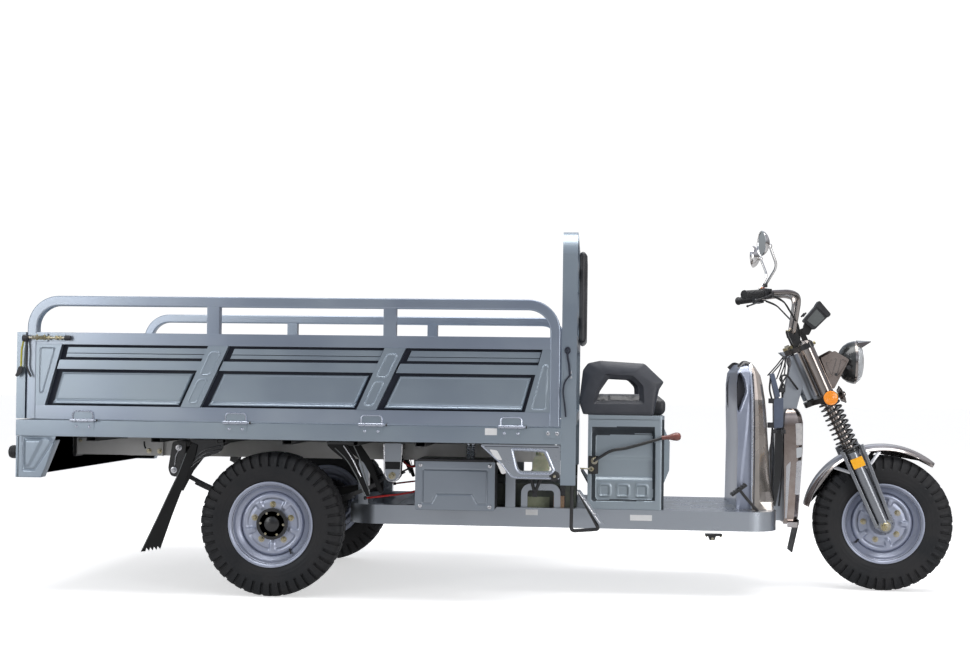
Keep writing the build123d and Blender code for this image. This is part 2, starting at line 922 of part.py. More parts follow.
shield_setback = 102.0
shield_split = ring_front_reach - shield_setback
shield_half_width = 245.0
shield_step = 8.0
shield_rounding = 12.0
inner_shape = (
    (-72, ring_top),
    (-67, 631),
    (-74, 877),
    (-70, 910),
    (-30, 939),
    (0, 900),
    (0, ring_top),
)
outer_shape = (
    (0, ring_top),
    (0, 951),
    (15, 951),
    (55, 899),
    (73, 797),
    (87, 593),
    (96, 420),
    (96, ring_top),
)


def shield_outline(shape):
    """Side-view points of a shield, given by their reach ahead of the joint between the two."""
    return outline(*[(shield_split + ahead, height) for ahead, height in shape])


with BuildPart() as leg_shield_inner:
    side_plate(shield_outline(inner_shape), (-shield_half_width, shield_half_width))
    fillet(leg_shield_inner.edges().filter_by(Axis.Z), shield_rounding)
leg_shield_inner.part.label = "leg_shield_inner"
export_step(leg_shield_inner.part, "parts/leg_shield_inner.step")

with BuildPart() as leg_shield_outer:
    outer_half_width = shield_half_width + shield_step
    side_plate(shield_outline(outer_shape), (-outer_half_width, outer_half_width))
leg_shield_outer.part.label = "leg_shield_outer"
export_step(leg_shield_outer.part, "parts/leg_shield_outer.step")

fairing_half_width = 85.0
fairing_wall = 3.0
fairing_face = ((2054, 279), (2125, 279), (2142, 591), (2142, 700), (2128, 760), (2070, 760))
fairing_inside = ((2053, 278), (2122, 278), (2139, 591), (2139, 699), (2125, 761), (2053, 761))
fairing_stays = (320.0, 500.0)
stay_half_width = 20.0
stay_height = 24.0
stay_reach = 2126.0
flap_half_width = 60.0
flap_shape = ((2121, 290), (2125, 290), (2125, 278), (2099, 153), (2095, 153), (2121, 278))

with BuildPart() as front_fairing:
    side_plate(outline(*fairing_face), (-fairing_half_width, fairing_half_width))
    inner_half_width = fairing_half_width - fairing_wall
    side_plate(outline(*fairing_inside), (-inner_half_width, inner_half_width), mode=Mode.SUBTRACT)
    for low in fairing_stays:
        block(
            (ring_front_x + column_depth, station(stay_reach)),
            (-stay_half_width, stay_half_width),
            (low, low + stay_height),
        )
    side_plate(outline(*flap_shape), (-flap_half_width, flap_half_width))
front_fairing.part.label = "front_fairing"
export_step(front_fairing.part, "parts/front_fairing.step")

# ================================================================ rear end

bumper_sheet = 6.0
bumper_foot = 457.0
buffer_y = 600.0
buffer_z = 551.0
buffer_radius = 26.0
lamp_y = (400.0, 550.0)
lamp_z = (520.0, 600.0)
lamp_depth = 26.0
bumper_wing = ((0, bumper_foot), (110, bumper_foot), (160, 605), (160, rail_bottom), (0, rail_bottom))

with BuildPart() as rear_bumper:
    block(
        (bed_rear_x, bed_rear_x + bumper_sheet),
        (-bed_side_y, bed_side_y),
        (bumper_foot, rail_bottom),
    )
    for y in both_sides((bed_side_y - bumper_sheet, bed_side_y)):
        side_plate([(bed_rear_x + ahead, height) for ahead, height in bumper_wing], y)
rear_bumper.part.label = "rear_bumper"
export_step(rear_bumper.part, "parts/rear_bumper.step")

with BuildPart() as tail_lamps:
    for y in both_sides(lamp_y):
        block((bed_rear_x - lamp_depth, bed_rear_x), y, lamp_z)
tail_lamps.part.label = "tail_lamps"
export_step(tail_lamps.part, "parts/tail_lamps.step")

with BuildPart() as buffers:
    for y in (-buffer_y, buffer_y):
        rod((rear_axle_x - rear_overhang, y, buffer_z), (bed_rear_x, y, buffer_z), buffer_radius)
buffers.part.label = "buffers"
export_step(buffers.part, "parts/buffers.step")

flap_y = (480.0, 640.0)
rear_flap = (
    (-318, cross_bottom),
    (-186, cross_bottom),
    (-200, 585),
    (-300, 545),
    (-372, 420),
    (-484, 163),
    (-503, 169),
    (-400, 400),
    (-350, 520),
)
front_flap = (
    (215, cross_bottom),
    (340, cross_bottom),
    (335, 580),
    (318, 506),
    (376, 405),
    (366, 398),
    (296, 506),
    (305, 575),
)

with BuildPart() as mudflaps:
    for y in both_sides(flap_y):
        for shape in (rear_flap, front_flap):
            side_plate(outline(*shape), y)
mudflaps.part.label = "mudflaps"
export_step(mudflaps.part, "parts/mudflaps.step")

# ================================================================ rear axle and springs

wheel_y = rear_track / 2
hub_inner_y = wheel_y - drum_inner
housing_end_y = hub_inner_y - drum_gap
gear_case_radius = 112.0
gear_case_y = (-70.0, 70.0)


def axle_point(y):
    """A point on the rear wheels' axis."""
    return (rear_axle_x, y, axle_height)


with BuildPart() as rear_axle:
    rod(axle_point(-housing_end_y), axle_point(housing_end_y), housing_radius)
    for side in (-1, 1):
        end = axle_point(side * housing_end_y)
        rod(end, axle_point(side * (wheel_y + disc_station)), spindle_radius)
        rod(axle_point(side * (housing_end_y - backing_thickness)), end, backing_radius)
    rod(axle_point(gear_case_y[0]), axle_point(gear_case_y[1]), gear_case_radius)
rear_axle.part.label = "rear_axle"
export_step(rear_axle.part, "parts/rear_axle.step")

motor_radius = 92.0
motor_z = 330.0
motor_y = (-60.0, 170.0)
motor_bite = 10.0

with BuildPart() as drive_motor:
    x = rear_axle_x - gear_case_radius - motor_radius + motor_bite
    rod((x, motor_y[0], motor_z), (x, motor_y[1], motor_z), motor_radius)
    rod(
        axle_point(gear_case_y[0]),
        axle_point(gear_case_y[1]),
        gear_case_radius,
        mode=Mode.SUBTRACT,
    )
drive_motor.part.label = "drive_motor"
export_step(drive_motor.part, "parts/drive_motor.step")

eye_rear = (rear_axle_x - spring_rear_reach, spring_eye_z)
eye_front = (rear_axle_x + spring_front_reach, spring_eye_z)
span = (eye_front[0] - eye_rear[0]) / 2
spring_mid_x = (eye_rear[0] + eye_front[0]) / 2
pack_bottom = axle_height + housing_radius
main_leaf_z = pack_bottom + leaf_count * leaf_thickness
sag = spring_eye_z - main_leaf_z
leaf_radius = (span * span + sag * sag) / (2 * sag)
leaf_centre = (spring_mid_x, main_leaf_z + leaf_radius)
half_angle = degrees(atan2(span, leaf_radius - sag))
seat_half_length = 45.0

with BuildPart() as leaf_springs:
    for y in both_sides((spring_y - leaf_width / 2, spring_y + leaf_width / 2)):
        for number in range(leaf_count):
            inner = leaf_radius + number * leaf_thickness
            reach = half_angle * (1 - number / (leaf_count + 1))
            with BuildSketch(Plane.XZ.offset(-y[1])) as leaf:
                with BuildLine():
                    near = CenterArc(leaf_centre, inner, 270 - reach, 2 * reach)
                    far = CenterArc(leaf_centre, inner + leaf_thickness, 270 - reach, 2 * reach)
                    Line(near @ 0, far @ 0)
                    Line(near @ 1, far @ 1)
                make_face()
            extrude(leaf.sketch, amount=leaf_width)
        for x, z in (eye_rear, eye_front):
            rod((x, y[0], z), (x, y[1], z), eye_radius)
            rod((x, y[0], z), (x, y[1], z), pin_radius + seat_fit, mode=Mode.SUBTRACT)
        flat = (spring_mid_x - seat_half_length, spring_mid_x + seat_half_length)
        block(flat, y, (pack_bottom, pack_bottom + leaf_thickness))
leaf_springs.part.label = "leaf_springs"
export_step(leaf_springs.part, "parts/leaf_springs.step")

hanger_fit = 2.0
arm_height = 24.0
front_hanger = (
    (423, cross_bottom),
    (491, cross_bottom),
    (486, 470),
    (472, 452),
    (440, 452),
    (428, 470),
)
rear_shackle = (
    (-430, cross_bottom),
    (-392, cross_bottom),
    (-395, 560),
    (-412, 470),
    (-430, 462),
    (-448, 470),
)

with BuildPart() as spring_hangers:
    inner_y = spring_y - leaf_width / 2 - hanger_fit
    outer_y = spring_y + leaf_width / 2 + hanger_fit
    for side in (-1, 1):
        plates = ((inner_y - hanger_plate, inner_y), (outer_y, outer_y + hanger_plate))
        for low, high in plates:
            y = sorted((side * low, side * high))
            for shape in (front_hanger, rear_shackle):
                side_plate(outline(*shape), y)
        far = sorted((side * (inner_y - hanger_plate), side * (outer_y + hanger_plate)))
        for x, z in (eye_rear, eye_front):
            rod((x, far[0], z), (x, far[1], z), pin_radius)
        for shape in (front_hanger, rear_shackle):
            block(
                (station(shape[0][0]), station(shape[1][0])),
                sorted((side * beam_outer_y, side * (outer_y + hanger_plate))),
                (cross_bottom - arm_height, cross_bottom),
            )
spring_hangers.part.label = "spring_hangers"
export_step(spring_hangers.part, "parts/spring_hangers.step")

# ================================================================ steps

step_bar = 7.0
step_y = bed_side_y - headboard_post / 2
step_corners = ((1178, headboard_foot - seat_fit), (1178, 291), (1284, 300), (1206, 440))
step_bends = [16, 14]
step_plate = ((1200, 447), (1212, 447), (1305, 322), (1292, 316))
step_plate_half = 18.0

with BuildPart() as steps:
    for y in (-step_y, step_y):
        corners = [(x, y, z) for x, z in outline(*step_corners)]
        bent_bar(corners, step_bends, step_bar)
        side_plate(outline(*step_plate), (y - step_plate_half, y + step_plate_half))
steps.part.label = "steps"
export_step(steps.part, "parts/steps.step")

# ================================================================ wheels

rim_in = rim_barrel_radius - rim_wall
flange_lip = 4.0
swell_start = 95.0
swell_end = 155.0
swell_height = 14.0
tyre_shoulder = 225.0
tyre_half = tyre_width / 2
tyre_radius = tyre_diameter / 2
bead_y = rim_half_width - flange_lip - seat_fit
lug_count = 44
lug_gap = 13.0
tyre_crown = (
    (tyre_shoulder, tyre_half),
    (tyre_radius - 9, tyre_half - 9),
    (tyre_radius, tyre_half - 26),
)
gap_foot = (tyre_half + 6, tyre_shoulder + 3)
gap_head = (tyre_half - 38, tyre_radius + 8)
gap_depth = 2.5 * lug_gap


def ring_points(radius, along):
    """Corners of a ring square to the wheels' axis."""
    steps = [radians(360 * number / lug_count) for number in range(lug_count)]
    return [Vector(radius * sin(step), along, radius * cos(step)) for step in steps]


corner_reach = 1 / cos(radians(180 / lug_count))
bead_ring = (rim_flange_radius + seat_fit) * corner_reach
bore_ring = (rim_barrel_radius + seat_fit) * corner_reach
tyre_section = (
    *[(radius, -along) for radius, along in tyre_crown],
    *reversed(tyre_crown),
    (bead_ring, bead_y),
    (bore_ring, bead_y),
    (bore_ring, -bead_y),
    (bead_ring, -bead_y),
)
tyre_rings = [ring_points(*spot) for spot in tyre_section]
tyre_faces = []
for near, far in zip(tyre_rings, tyre_rings[1:] + tyre_rings[:1]):
    for number in range(lug_count):
        after = (number + 1) % lug_count
        corners = (near[number], near[after], far[after], far[number])
        tyre_faces.append(Face(Wire.make_polygon(corners, close=True)))
tyre_blank = Solid(Shell(tyre_faces))

gap_run = Vector(0, gap_head[0] - gap_foot[0], gap_head[1] - gap_foot[1])
with BuildPart() as gap:
    with BuildSketch(Plane(origin=(0, *gap_foot), x_dir=(1, 0, 0), z_dir=gap_run)):
        with BuildLine():
            Polyline((0, 0), (lug_gap, gap_depth), (-lug_gap, gap_depth), close=True)
        make_face()
    extrude(amount=gap_run.length)
gap_pair = (gap.part, gap.part.mirror(Plane.XZ))
lug_gaps = [
    side_gap.rotate(Axis.Y, (number + 0.5) * 360 / lug_count)
    for side_gap in gap_pair
    for number in range(lug_count)
]
lugged_tyre = Part() + tyre_blank - lug_gaps


def wheel_points(points, outward):
    """Radius and distance points, with the distance counted towards the wheel's outer face."""
    return [(radius, outward * along) for radius, along in points]


def rim_section(outward):
    """Sections of the rim: barrel, two flanges and the wheel disc."""
    edge = rim_half_width
    outer_face = disc_station + disc_thickness
    barrel = ((rim_in, -edge), (rim_barrel_radius, -edge), (rim_barrel_radius, edge), (rim_in, edge))
    lips = []
    for low in (-edge, edge - flange_lip):
        high = low + flange_lip
        lips.append(((rim_in, low), (rim_flange_radius, low), (rim_flange_radius, high), (rim_in, high)))
    disc = (
        (disc_hole, disc_station),
        (disc_hole, outer_face),
        (swell_start, outer_face),
        (swell_start + 20, outer_face + swell_height),
        (swell_end - 20, outer_face + swell_height),
        (rim_in + 1, outer_face),
        (rim_in + 1, disc_station),
        (swell_end - 17, disc_station + 10),
        (swell_start + 22, disc_station + 10),
        (swell_start + 2, disc_station),
    )
    return [wheel_points(shape, outward) for shape in (barrel, *lips, disc)]


wheels = (
    ("rear_right", (rear_axle_x, -wheel_y, axle_height), -1),
    ("rear_left", (rear_axle_x, wheel_y, axle_height), 1),
    ("front", (front_axle_x, 0, front_axle_height), -1),
)

for word, centre, outward in wheels:
    x, y, z = centre
    with BuildPart() as tyre:
        add(lugged_tyre.moved(Location(centre)))
    if word == "front":
        park(tyre)
    tyre.part.label = f"tyre_{word}"
    export_step(tyre.part, f"parts/tyre_{word}.step")

    with BuildPart() as rim:
        for shape in rim_section(outward):
            spun(shape, centre)
        nut_base = disc_station + disc_thickness
        nut_y = (y + outward * nut_base, y + outward * (nut_base + nut_height))
        for number in range(nut_count):
            angle = radians(90 + number * 360 / nut_count)
            spot = (x + nut_circle * cos(angle), z + nut_circle * sin(angle))
            rod((spot[0], nut_y[0], spot[1]), (spot[0], nut_y[1], spot[1]), nut_radius)
    if word == "front":
        park(rim)
    rim.part.label = f"rim_{word}"
    export_step(rim.part, f"parts/rim_{word}.step")

    with BuildPart() as hub:
        if word == "front":
            low, high = front_hub_span
            rod((x, y + outward * low, z), (x, y + outward * high, z), front_hub_radius)
            rod(
                (x, y + outward * (low + 6), z),
                (x, y + outward * disc_station, z),
                front_drum_radius,
            )
            rod(
                (x, y + outward * disc_station, z),
                (x, y + outward * (disc_station + front_cap_length), z),
                hub_cap_radius,
            )
            rod(
                (x, y - tyre_width, z),
                (x, y + tyre_width, z),
                front_axle_radius + running_fit,
                mode=Mode.SUBTRACT,
            )
        else:
            rod((x, y - outward * drum_inner, z), (x, y + outward * disc_station, z), drum_radius)
            rod(
                (x, y + outward * disc_station, z),
                (x, y + outward * (disc_station + hub_cap_length), z),
                hub_cap_radius,
            )
            rod(
                (x, y - outward * drum_inner, z),
                (x, y + outward * (disc_station + 1), z),
                spindle_radius + running_fit,
                mode=Mode.SUBTRACT,
            )
    if word == "front":
        park(hub)
    hub.part.label = f"hub_{word}"
    export_step(hub.part, f"parts/hub_{word}.step")

# ================================================================ steering

clamp_half = fork_half_track + 36
clamp_back = fork_offset + 32
clamp_nose = fork_half_track - 20
riser_y = 70.0
riser_half_width = 16.0
riser_top = 868.0
riser_behind = (-42.0, -10.0)

with BuildPart() as steering_stem:
    for up in (lower_clamp, upper_clamp):
        base = fork_point(up)
        clamp_plane = Plane(
            origin=base, x_dir=(cos(radians(rake)), 0, sin(radians(rake))), z_dir=steering_axis.direction
        )
        with BuildSketch(clamp_plane) as clamp:
            with BuildLine():
                left_half = ((-clamp_back, 40), (-20, clamp_half), (26, clamp_half), (34, clamp_nose))
                right_half = [(ahead, -across) for ahead, across in reversed(left_half)]
                Polyline(*left_half, *right_half, close=True)
            make_face()
        extrude(clamp.sketch, amount=clamp_thickness)
    rod(
        fork_point(lower_clamp, -fork_offset),
        fork_point(upper_clamp + clamp_thickness, -fork_offset),
        stem_radius,
    )
    clamp_top = upper_clamp + clamp_thickness
    back, front = riser_behind
    riser = fork_outline((clamp_top, back), (clamp_top, front), (riser_top, front), (riser_top, back))
    for y in (-riser_y, riser_y):
        side_plate(riser, (y - riser_half_width, y + riser_half_width))
park(steering_stem)
steering_stem.part.label = "steering_stem"
export_step(steering_stem.part, "parts/steering_stem.step")

with BuildPart() as fork_tubes:
    for y in (-fork_half_track, fork_half_track):
        rod(fork_point(lower_clamp + clamp_thickness, 0, y), fork_point(upper_clamp, 0, y), fork_tube_radius)
        rod(fork_point(spring_bottom, 0, y), fork_point(lower_clamp, 0, y), fork_rod_radius)
park(fork_tubes)
fork_tubes.part.label = "fork_tubes"
export_step(fork_tubes.part, "parts/fork_tubes.step")

coil_pitch = (lower_clamp - spring_bottom) / spring_turns
spring_hole = fork_rod_radius + seat_fit

with BuildPart() as fork_springs:
    coil = [(spring_hole, 0)]
    for number in range(spring_turns):
        low = number * coil_pitch
        coil += [
            (spring_radius, low),
            (spring_radius, low + 2 * spring_wire),
            (spring_radius - 3 * spring_wire, low + 2 * spring_wire),
            (spring_radius - 3 * spring_wire, low + coil_pitch),
        ]
    coil += [(spring_hole, lower_clamp - spring_bottom)]
    for y in (-fork_half_track, fork_half_track):
        spun(coil, fork_point(spring_bottom, 0, y), axis_dir=tuple(steering_axis.direction))
park(fork_springs)
fork_springs.part.label = "fork_springs"
export_step(fork_springs.part, "parts/fork_springs.step")

guard_web = 5.0
lug_radius = 24.0
web_shape = ((spring_bottom, -39), (spring_bottom, 39), (0, 30), (0, -30))
edge_shape = ((leg_top, 39), (leg_top, 34), (0, 25), (0, 30))
edge_out = 22.0

with BuildPart() as fork_legs:
    for side in (-1, 1):
        y = side * fork_half_track
        rod(fork_point(0, 0, y), fork_point(leg_top, 0, y), fork_leg_radius)
        rod(fork_point(leg_top, 0, y), fork_point(spring_bottom, 0, y), spring_radius + 1)
        web_y = sorted((side * fender_half_width, side * (fender_half_width + guard_web)))
        flange_y = sorted((side * fender_half_width, side * (fork_half_track + edge_out)))
        side_plate(fork_outline(*web_shape), web_y)
        for way in (-1, 1):
            side_plate(fork_outline(*[(up, way * ahead) for up, ahead in edge_shape]), flange_y)
        rod(
            fork_point(0, 0, side * (fender_half_width + guard_web / 2)),
            fork_point(0, 0, side * (fork_half_track + edge_out)),
            lug_radius,
        )
    rod(
        fork_point(0, 0, -2 * fork_half_track),
        fork_point(0, 0, 2 * fork_half_track),
        front_axle_radius + seat_fit,
        mode=Mode.SUBTRACT,
    )
park(fork_legs)
fork_legs.part.label = "fork_legs"
export_step(fork_legs.part, "parts/fork_legs.step")

with BuildPart() as front_axle:
    nut_start = fork_half_track + fork_leg_radius
    axle_end = nut_start + axle_nut + axle_tip
    rod(fork_point(0, 0, -axle_end), fork_point(0, 0, axle_end), front_axle_radius)
    for side in (-1, 1):
        near = fork_point(0, 0, side * nut_start)
        rod(near, fork_point(0, 0, side * (nut_start + axle_nut)), axle_nut_radius)
park(front_axle)
front_axle.part.label = "front_axle"
export_step(front_axle.part, "parts/front_axle.step")

fender_start = 50.0
fender_sweep = 118.0
fender_lip = 22.0
lip_inset = 2.0

with BuildPart() as front_fender:
    with BuildSketch(Plane.XZ.offset(-fender_half_width)) as arc:
        with BuildLine():
            axle = (front_axle_x, front_axle_height)
            under = CenterArc(axle, fender_radius, fender_start, fender_sweep)
            over = CenterArc(axle, fender_radius + fender_thickness, fender_start, fender_sweep)
            Line(under @ 0, over @ 0)
            Line(under @ 1, over @ 1)
        make_face()
    extrude(arc.sketch, amount=2 * fender_half_width)
    with BuildSketch(Plane.XZ.offset(-fender_half_width)) as lip:
        with BuildLine():
            arc_start = fender_start + lip_inset
            arc_sweep = fender_sweep - 2 * lip_inset
            under = CenterArc(axle, fender_radius - fender_lip, arc_start, arc_sweep)
            over = CenterArc(axle, fender_radius + fender_thickness / 2, arc_start, arc_sweep)
            Line(under @ 0, over @ 0)
            Line(under @ 1, over @ 1)
        make_face()
    extrude(lip.sketch, amount=fender_thickness)
    across = Location((0, fender_thickness - 2 * fender_half_width, 0))
    extrude(lip.sketch.moved(across), amount=fender_thickness)
park(front_fender)
front_fender.part.label = "front_fender"
export_step(front_fender.part, "parts/front_fender.step")

bar_low = fork_point(riser_top + bar_radius, sum(riser_behind) / 2)
bar_low_y = 92.0
bar_bends = [30, 36, 60, 120]
bar_run = (
    (21.0, 118.0, 154.0),
    (-17.0, 200.0, 172.0),
    (-102.0, 300.0, 165.0),
    (-213.0, 430.0, 152.0),
)
bar_points = [(bar_low[0] + ahead, out, bar_low[2] + up) for ahead, out, up in bar_run]
grip_start = 0.35
control_start = 0.13
control_proud = 5.0


def mirrored(point):
    """The same point on the right-hand side."""
    return (point[0], -point[1], point[2])


with BuildPart() as handlebar:
    half = [(bar_low[0], bar_low_y, bar_low[2])] + list(bar_points)
    route = [mirrored(point) for point in reversed(half)] + half
    bent_bar(route, list(reversed(bar_bends)) + bar_bends, bar_radius)
park(handlebar)
handlebar.part.label = "handlebar"
export_step(handlebar.part, "parts/handlebar.step")


def along(start, end, share):
    """A point part of the way from one point to another."""
    return tuple(a + (b - a) * share for a, b in zip(start, end))


def shifted(point, side, move):
    """A point moved forward, outward and up."""
    return (point[0] + move[0], point[1] + side * move[1], point[2] + move[2])


lever_root = (26.0, 17.0, -4.0)
lever_tip = (52.0, 36.0, -12.0)
lever_root_radius = 8.0
lever_radius = 5.0

with BuildPart() as hand_grips:
    for side in (-1, 1):
        ends = [(x, side * y, z) for x, y, z in bar_points[-2:]]
        grip_from = along(*ends, grip_start)
        rod(grip_from, along(*ends, 1.03), grip_radius)
        rod(along(*ends, control_start), grip_from, grip_radius + control_proud)
        pivot = along(*ends, 0.2)
        root = shifted(pivot, side, lever_root)
        rod(pivot, root, lever_root_radius)
        rod(root, shifted(along(*ends, 0.95), side, lever_tip), lever_radius)
        rod(ends[0], ends[1], bar_radius + seat_fit, mode=Mode.SUBTRACT)
park(hand_grips)
hand_grips.part.label = "hand_grips"
export_step(hand_grips.part, "parts/hand_grips.step")

mirror_share = 0.24
mirror_lift = grip_radius + control_proud + 1.5
mirror_nut = (10.0, 16.0)
mirror_rod = 6.0
mirror_knee = (42.0, 60.0, 82.0)
mirror_top = (12.0, 78.0, 160.0)
mirror_bend = 30.0
mirror_head = (-24.0, 12.0, 10.0)
mirror_faces = (-0.94, 0.34, 0.0)
mirror_section = ((0, -10), (30, -10), (46, 0), (46, 8), (0, 8))

with BuildPart() as mirrors:
    for side in (-1, 1):
        foot = along(*bar_points[-2:], mirror_share)
        base = (foot[0], side * foot[1], foot[2] + mirror_lift)
        top = shifted(base, side, mirror_top)
        root = shifted(base, side, (0, 0, mirror_rod))
        bent_bar([root, shifted(base, side, mirror_knee), top], [mirror_bend], mirror_rod)
        head = shifted(top, side, mirror_head)
        rod(top, head, mirror_rod)
        spun(mirror_section, head, axis_dir=(mirror_faces[0], side * mirror_faces[1], mirror_faces[2]))
        rod(base, shifted(base, side, (0, 0, mirror_nut[1])), mirror_nut[0])
park(mirrors)
mirrors.part.label = "mirrors"
export_step(mirrors.part, "parts/mirrors.step")

instrument_shape = ((918, 39), (960, 129), (887, 148), (857, 66))
instrument_half_width = 58.0
bracket_shape = ((901, 53), (870, 61), (846, 29), (864, 14))
bracket_half_width = 14.0
bracket_ahead = (6.0, 22.0)
bracket_top = 880.0

with BuildPart() as instrument:
    side_plate(fork_outline(*instrument_shape), (-instrument_half_width, instrument_half_width))
    back, front = bracket_ahead
    upright = fork_outline((clamp_top, back), (clamp_top, front), (bracket_top, front), (bracket_top, back))
    for shape in (fork_outline(*bracket_shape), upright):
        side_plate(shape, (-bracket_half_width, bracket_half_width))
park(instrument)
instrument.part.label = "instrument"
export_step(instrument.part, "parts/instrument.step")

lamp_radius = 91.0
lamp_up = 667.6
lamp_ahead = 157.1
lamp_centre = fork_point(lamp_up, lamp_ahead)
lamp_split = 6.0
lamp_shell = ((0, -62), (40, -60), (74, -40), (lamp_radius, -8), (lamp_radius, lamp_split), (0, lamp_split))
lamp_stud = (-26.0, -20.0)
lamp_stud_y = (60.0, fork_half_track - 2)
lamp_stud_radius = 9.0
ear_half_thickness = 2.0
ear_shape = (
    (596, fork_tube_radius),
    (750, fork_tube_radius),
    (740, 96),
    (690, 150),
    (640, 150),
)
horn_up = lower_clamp + clamp_thickness / 2
horn_ahead = (34.0, 66.0)
horn_rod = 8.0
horn_section = ((0, 0), (40, 0), (40, 14), (22, 20), (0, 20))

with BuildPart() as headlight:
    spun(lamp_shell, lamp_centre, axis_dir=(1, 0, 0))
    stud_x = lamp_centre[0] + lamp_stud[0]
    stud_z = lamp_centre[2] + lamp_stud[1]
    for side in (-1, 1):
        rod(
            (stud_x, side * lamp_stud_y[0], stud_z),
            (stud_x, side * lamp_stud_y[1], stud_z),
            lamp_stud_radius,
        )
        near = side * fork_half_track
        side_plate(fork_outline(*ear_shape), (near - ear_half_thickness, near + ear_half_thickness))
    horn = fork_point(horn_up, horn_ahead[1])
    rod(fork_point(horn_up, horn_ahead[0]), horn, horn_rod)
    spun(horn_section, horn, axis_dir=(cos(radians(rake)), 0, sin(radians(rake))))
park(headlight)
headlight.part.label = "headlight"
export_step(headlight.part, "parts/headlight.step")

lens_radius = lamp_radius - 3
lens_section = (
    (0, lamp_split),
    (lens_radius, lamp_split),
    (lens_radius, 18),
    (70, 32),
    (40, 40),
    (0, 43),
)
peak_shape = ((18, 84), (75, 90), (30, 50))
peak_half_width = 50.0

with BuildPart() as headlight_lens:
    spun(lens_section, lamp_centre, axis_dir=(1, 0, 0))
    peak = [(lamp_centre[0] + ahead, lamp_centre[2] + up) for ahead, up in peak_shape]
    side_plate(peak, (-peak_half_width, peak_half_width))
park(headlight_lens)
headlight_lens.part.label = "headlight_lens"
export_step(headlight_lens.part, "parts/headlight_lens.step")

signal_ahead = 4.0
signal_stem = (12.0, 10.0)
signal_depth = 22.0
signal_radius = 30.0

with BuildPart() as turn_signals:
    for side in (-1, 1):
        root = fork_point(horn_up, signal_ahead, side * clamp_half)
        back = fork_point(horn_up, signal_ahead, side * (clamp_half + signal_stem[0]))
        face = fork_point(horn_up, signal_ahead, side * (clamp_half + signal_stem[0] + signal_depth))
        rod(root, back, signal_stem[1])
        rod(back, face, signal_radius)
park(turn_signals)
turn_signals.part.label = "turn_signals"
export_step(turn_signals.part, "parts/turn_signals.step")
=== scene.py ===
# %% [markdown]
# # A cargo tricycle, dressed over its frame
#
# The solids of the tricycle come in as a fixed frame: bed, drop sides, wheels and steering are
# already where they belong and already know which joint moves them.  The cells below give each
# visible piece its real surface.  Sizes are written in millimetres, as on a workshop drawing, and
# are turned into metres only where a mesh is made.

# %% Load the frame and note the size of the solids
import json
import math
import bmesh
import bpy
import numpy as np
from mathutils import Matrix, Vector, geometry

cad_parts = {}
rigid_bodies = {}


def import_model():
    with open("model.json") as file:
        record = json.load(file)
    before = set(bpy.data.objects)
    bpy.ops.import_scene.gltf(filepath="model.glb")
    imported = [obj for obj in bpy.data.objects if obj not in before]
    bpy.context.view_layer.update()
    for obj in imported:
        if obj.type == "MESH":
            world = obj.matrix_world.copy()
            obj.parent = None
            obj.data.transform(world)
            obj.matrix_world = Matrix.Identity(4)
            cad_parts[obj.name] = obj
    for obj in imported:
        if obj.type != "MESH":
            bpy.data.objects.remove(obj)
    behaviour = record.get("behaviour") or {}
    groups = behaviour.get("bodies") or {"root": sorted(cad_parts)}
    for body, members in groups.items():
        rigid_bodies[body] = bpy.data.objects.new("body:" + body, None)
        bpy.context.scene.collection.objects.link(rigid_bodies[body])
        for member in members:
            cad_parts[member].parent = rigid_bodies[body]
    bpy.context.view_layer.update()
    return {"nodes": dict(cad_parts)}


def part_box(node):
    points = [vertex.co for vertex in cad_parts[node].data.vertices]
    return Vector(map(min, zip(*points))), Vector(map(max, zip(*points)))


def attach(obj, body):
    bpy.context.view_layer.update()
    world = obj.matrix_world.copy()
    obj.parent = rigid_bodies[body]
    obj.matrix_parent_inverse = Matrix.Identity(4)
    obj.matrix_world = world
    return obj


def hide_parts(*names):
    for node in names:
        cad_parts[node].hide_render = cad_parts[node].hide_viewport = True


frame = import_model()
METRE = 0.001


def node_box(node):
    """Lowest and highest corner of a solid, in millimetres."""
    low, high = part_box(node)
    return np.array(low) / METRE, np.array(high) / METRE


def middle(node):
    """The middle of a solid's box, in millimetres."""
    low, high = node_box(node)
    return (low + high) / 2


rear_axle = middle("tyre_rear_right")
AXLE_X = rear_axle[0]


def station(reach):
    """X of a point that lies so far ahead of the rear axle, in millimetres."""
    return AXLE_X + reach


# %% [markdown]
# ## The studio
#
# A catalogue picture is taken in a white room: a pale floor that runs into a pale wall, one large
# soft light above and a weaker one from each side.  The room could be a curved backdrop mesh, but
# a white world with a plain floor gives the same even light and no visible horizon, so the floor
# is one big sheet and the world does the rest.

# %% Floor and white world
scene = bpy.context.scene
scene.view_settings.view_transform = "Standard"


def sheet_of_floor(half_size):
    """A single large quad at ground height."""
    corners = [(-half_size, -half_size, 0), (half_size, -half_size, 0),
               (half_size, half_size, 0), (-half_size, half_size, 0)]
    mesh = bpy.data.meshes.new("studio_floor")
    mesh.from_pydata(corners, [], [(0, 1, 2, 3)])
    floor = bpy.data.objects.new("studio_floor", mesh)
    scene.collection.objects.link(floor)
    return floor


floor = sheet_of_floor(60.0)
world = bpy.data.worlds.new("white_room")
scene.world = world
world.use_nodes = True
world.node_tree.nodes["Background"].inputs["Color"].default_value = (1.0, 1.0, 1.0, 1.0)
world.node_tree.nodes["Background"].inputs["Strength"].default_value = 0.85
print("floor", floor.name)

# %% [markdown]
# ## Lights
#
# Paint with metal flakes only looks like paint when something bright is mirrored in it, and it
# only looks rounded when something dark is mirrored beside that.  Three area lights do this: a
# long box overhead, and a tall one in front at each end.

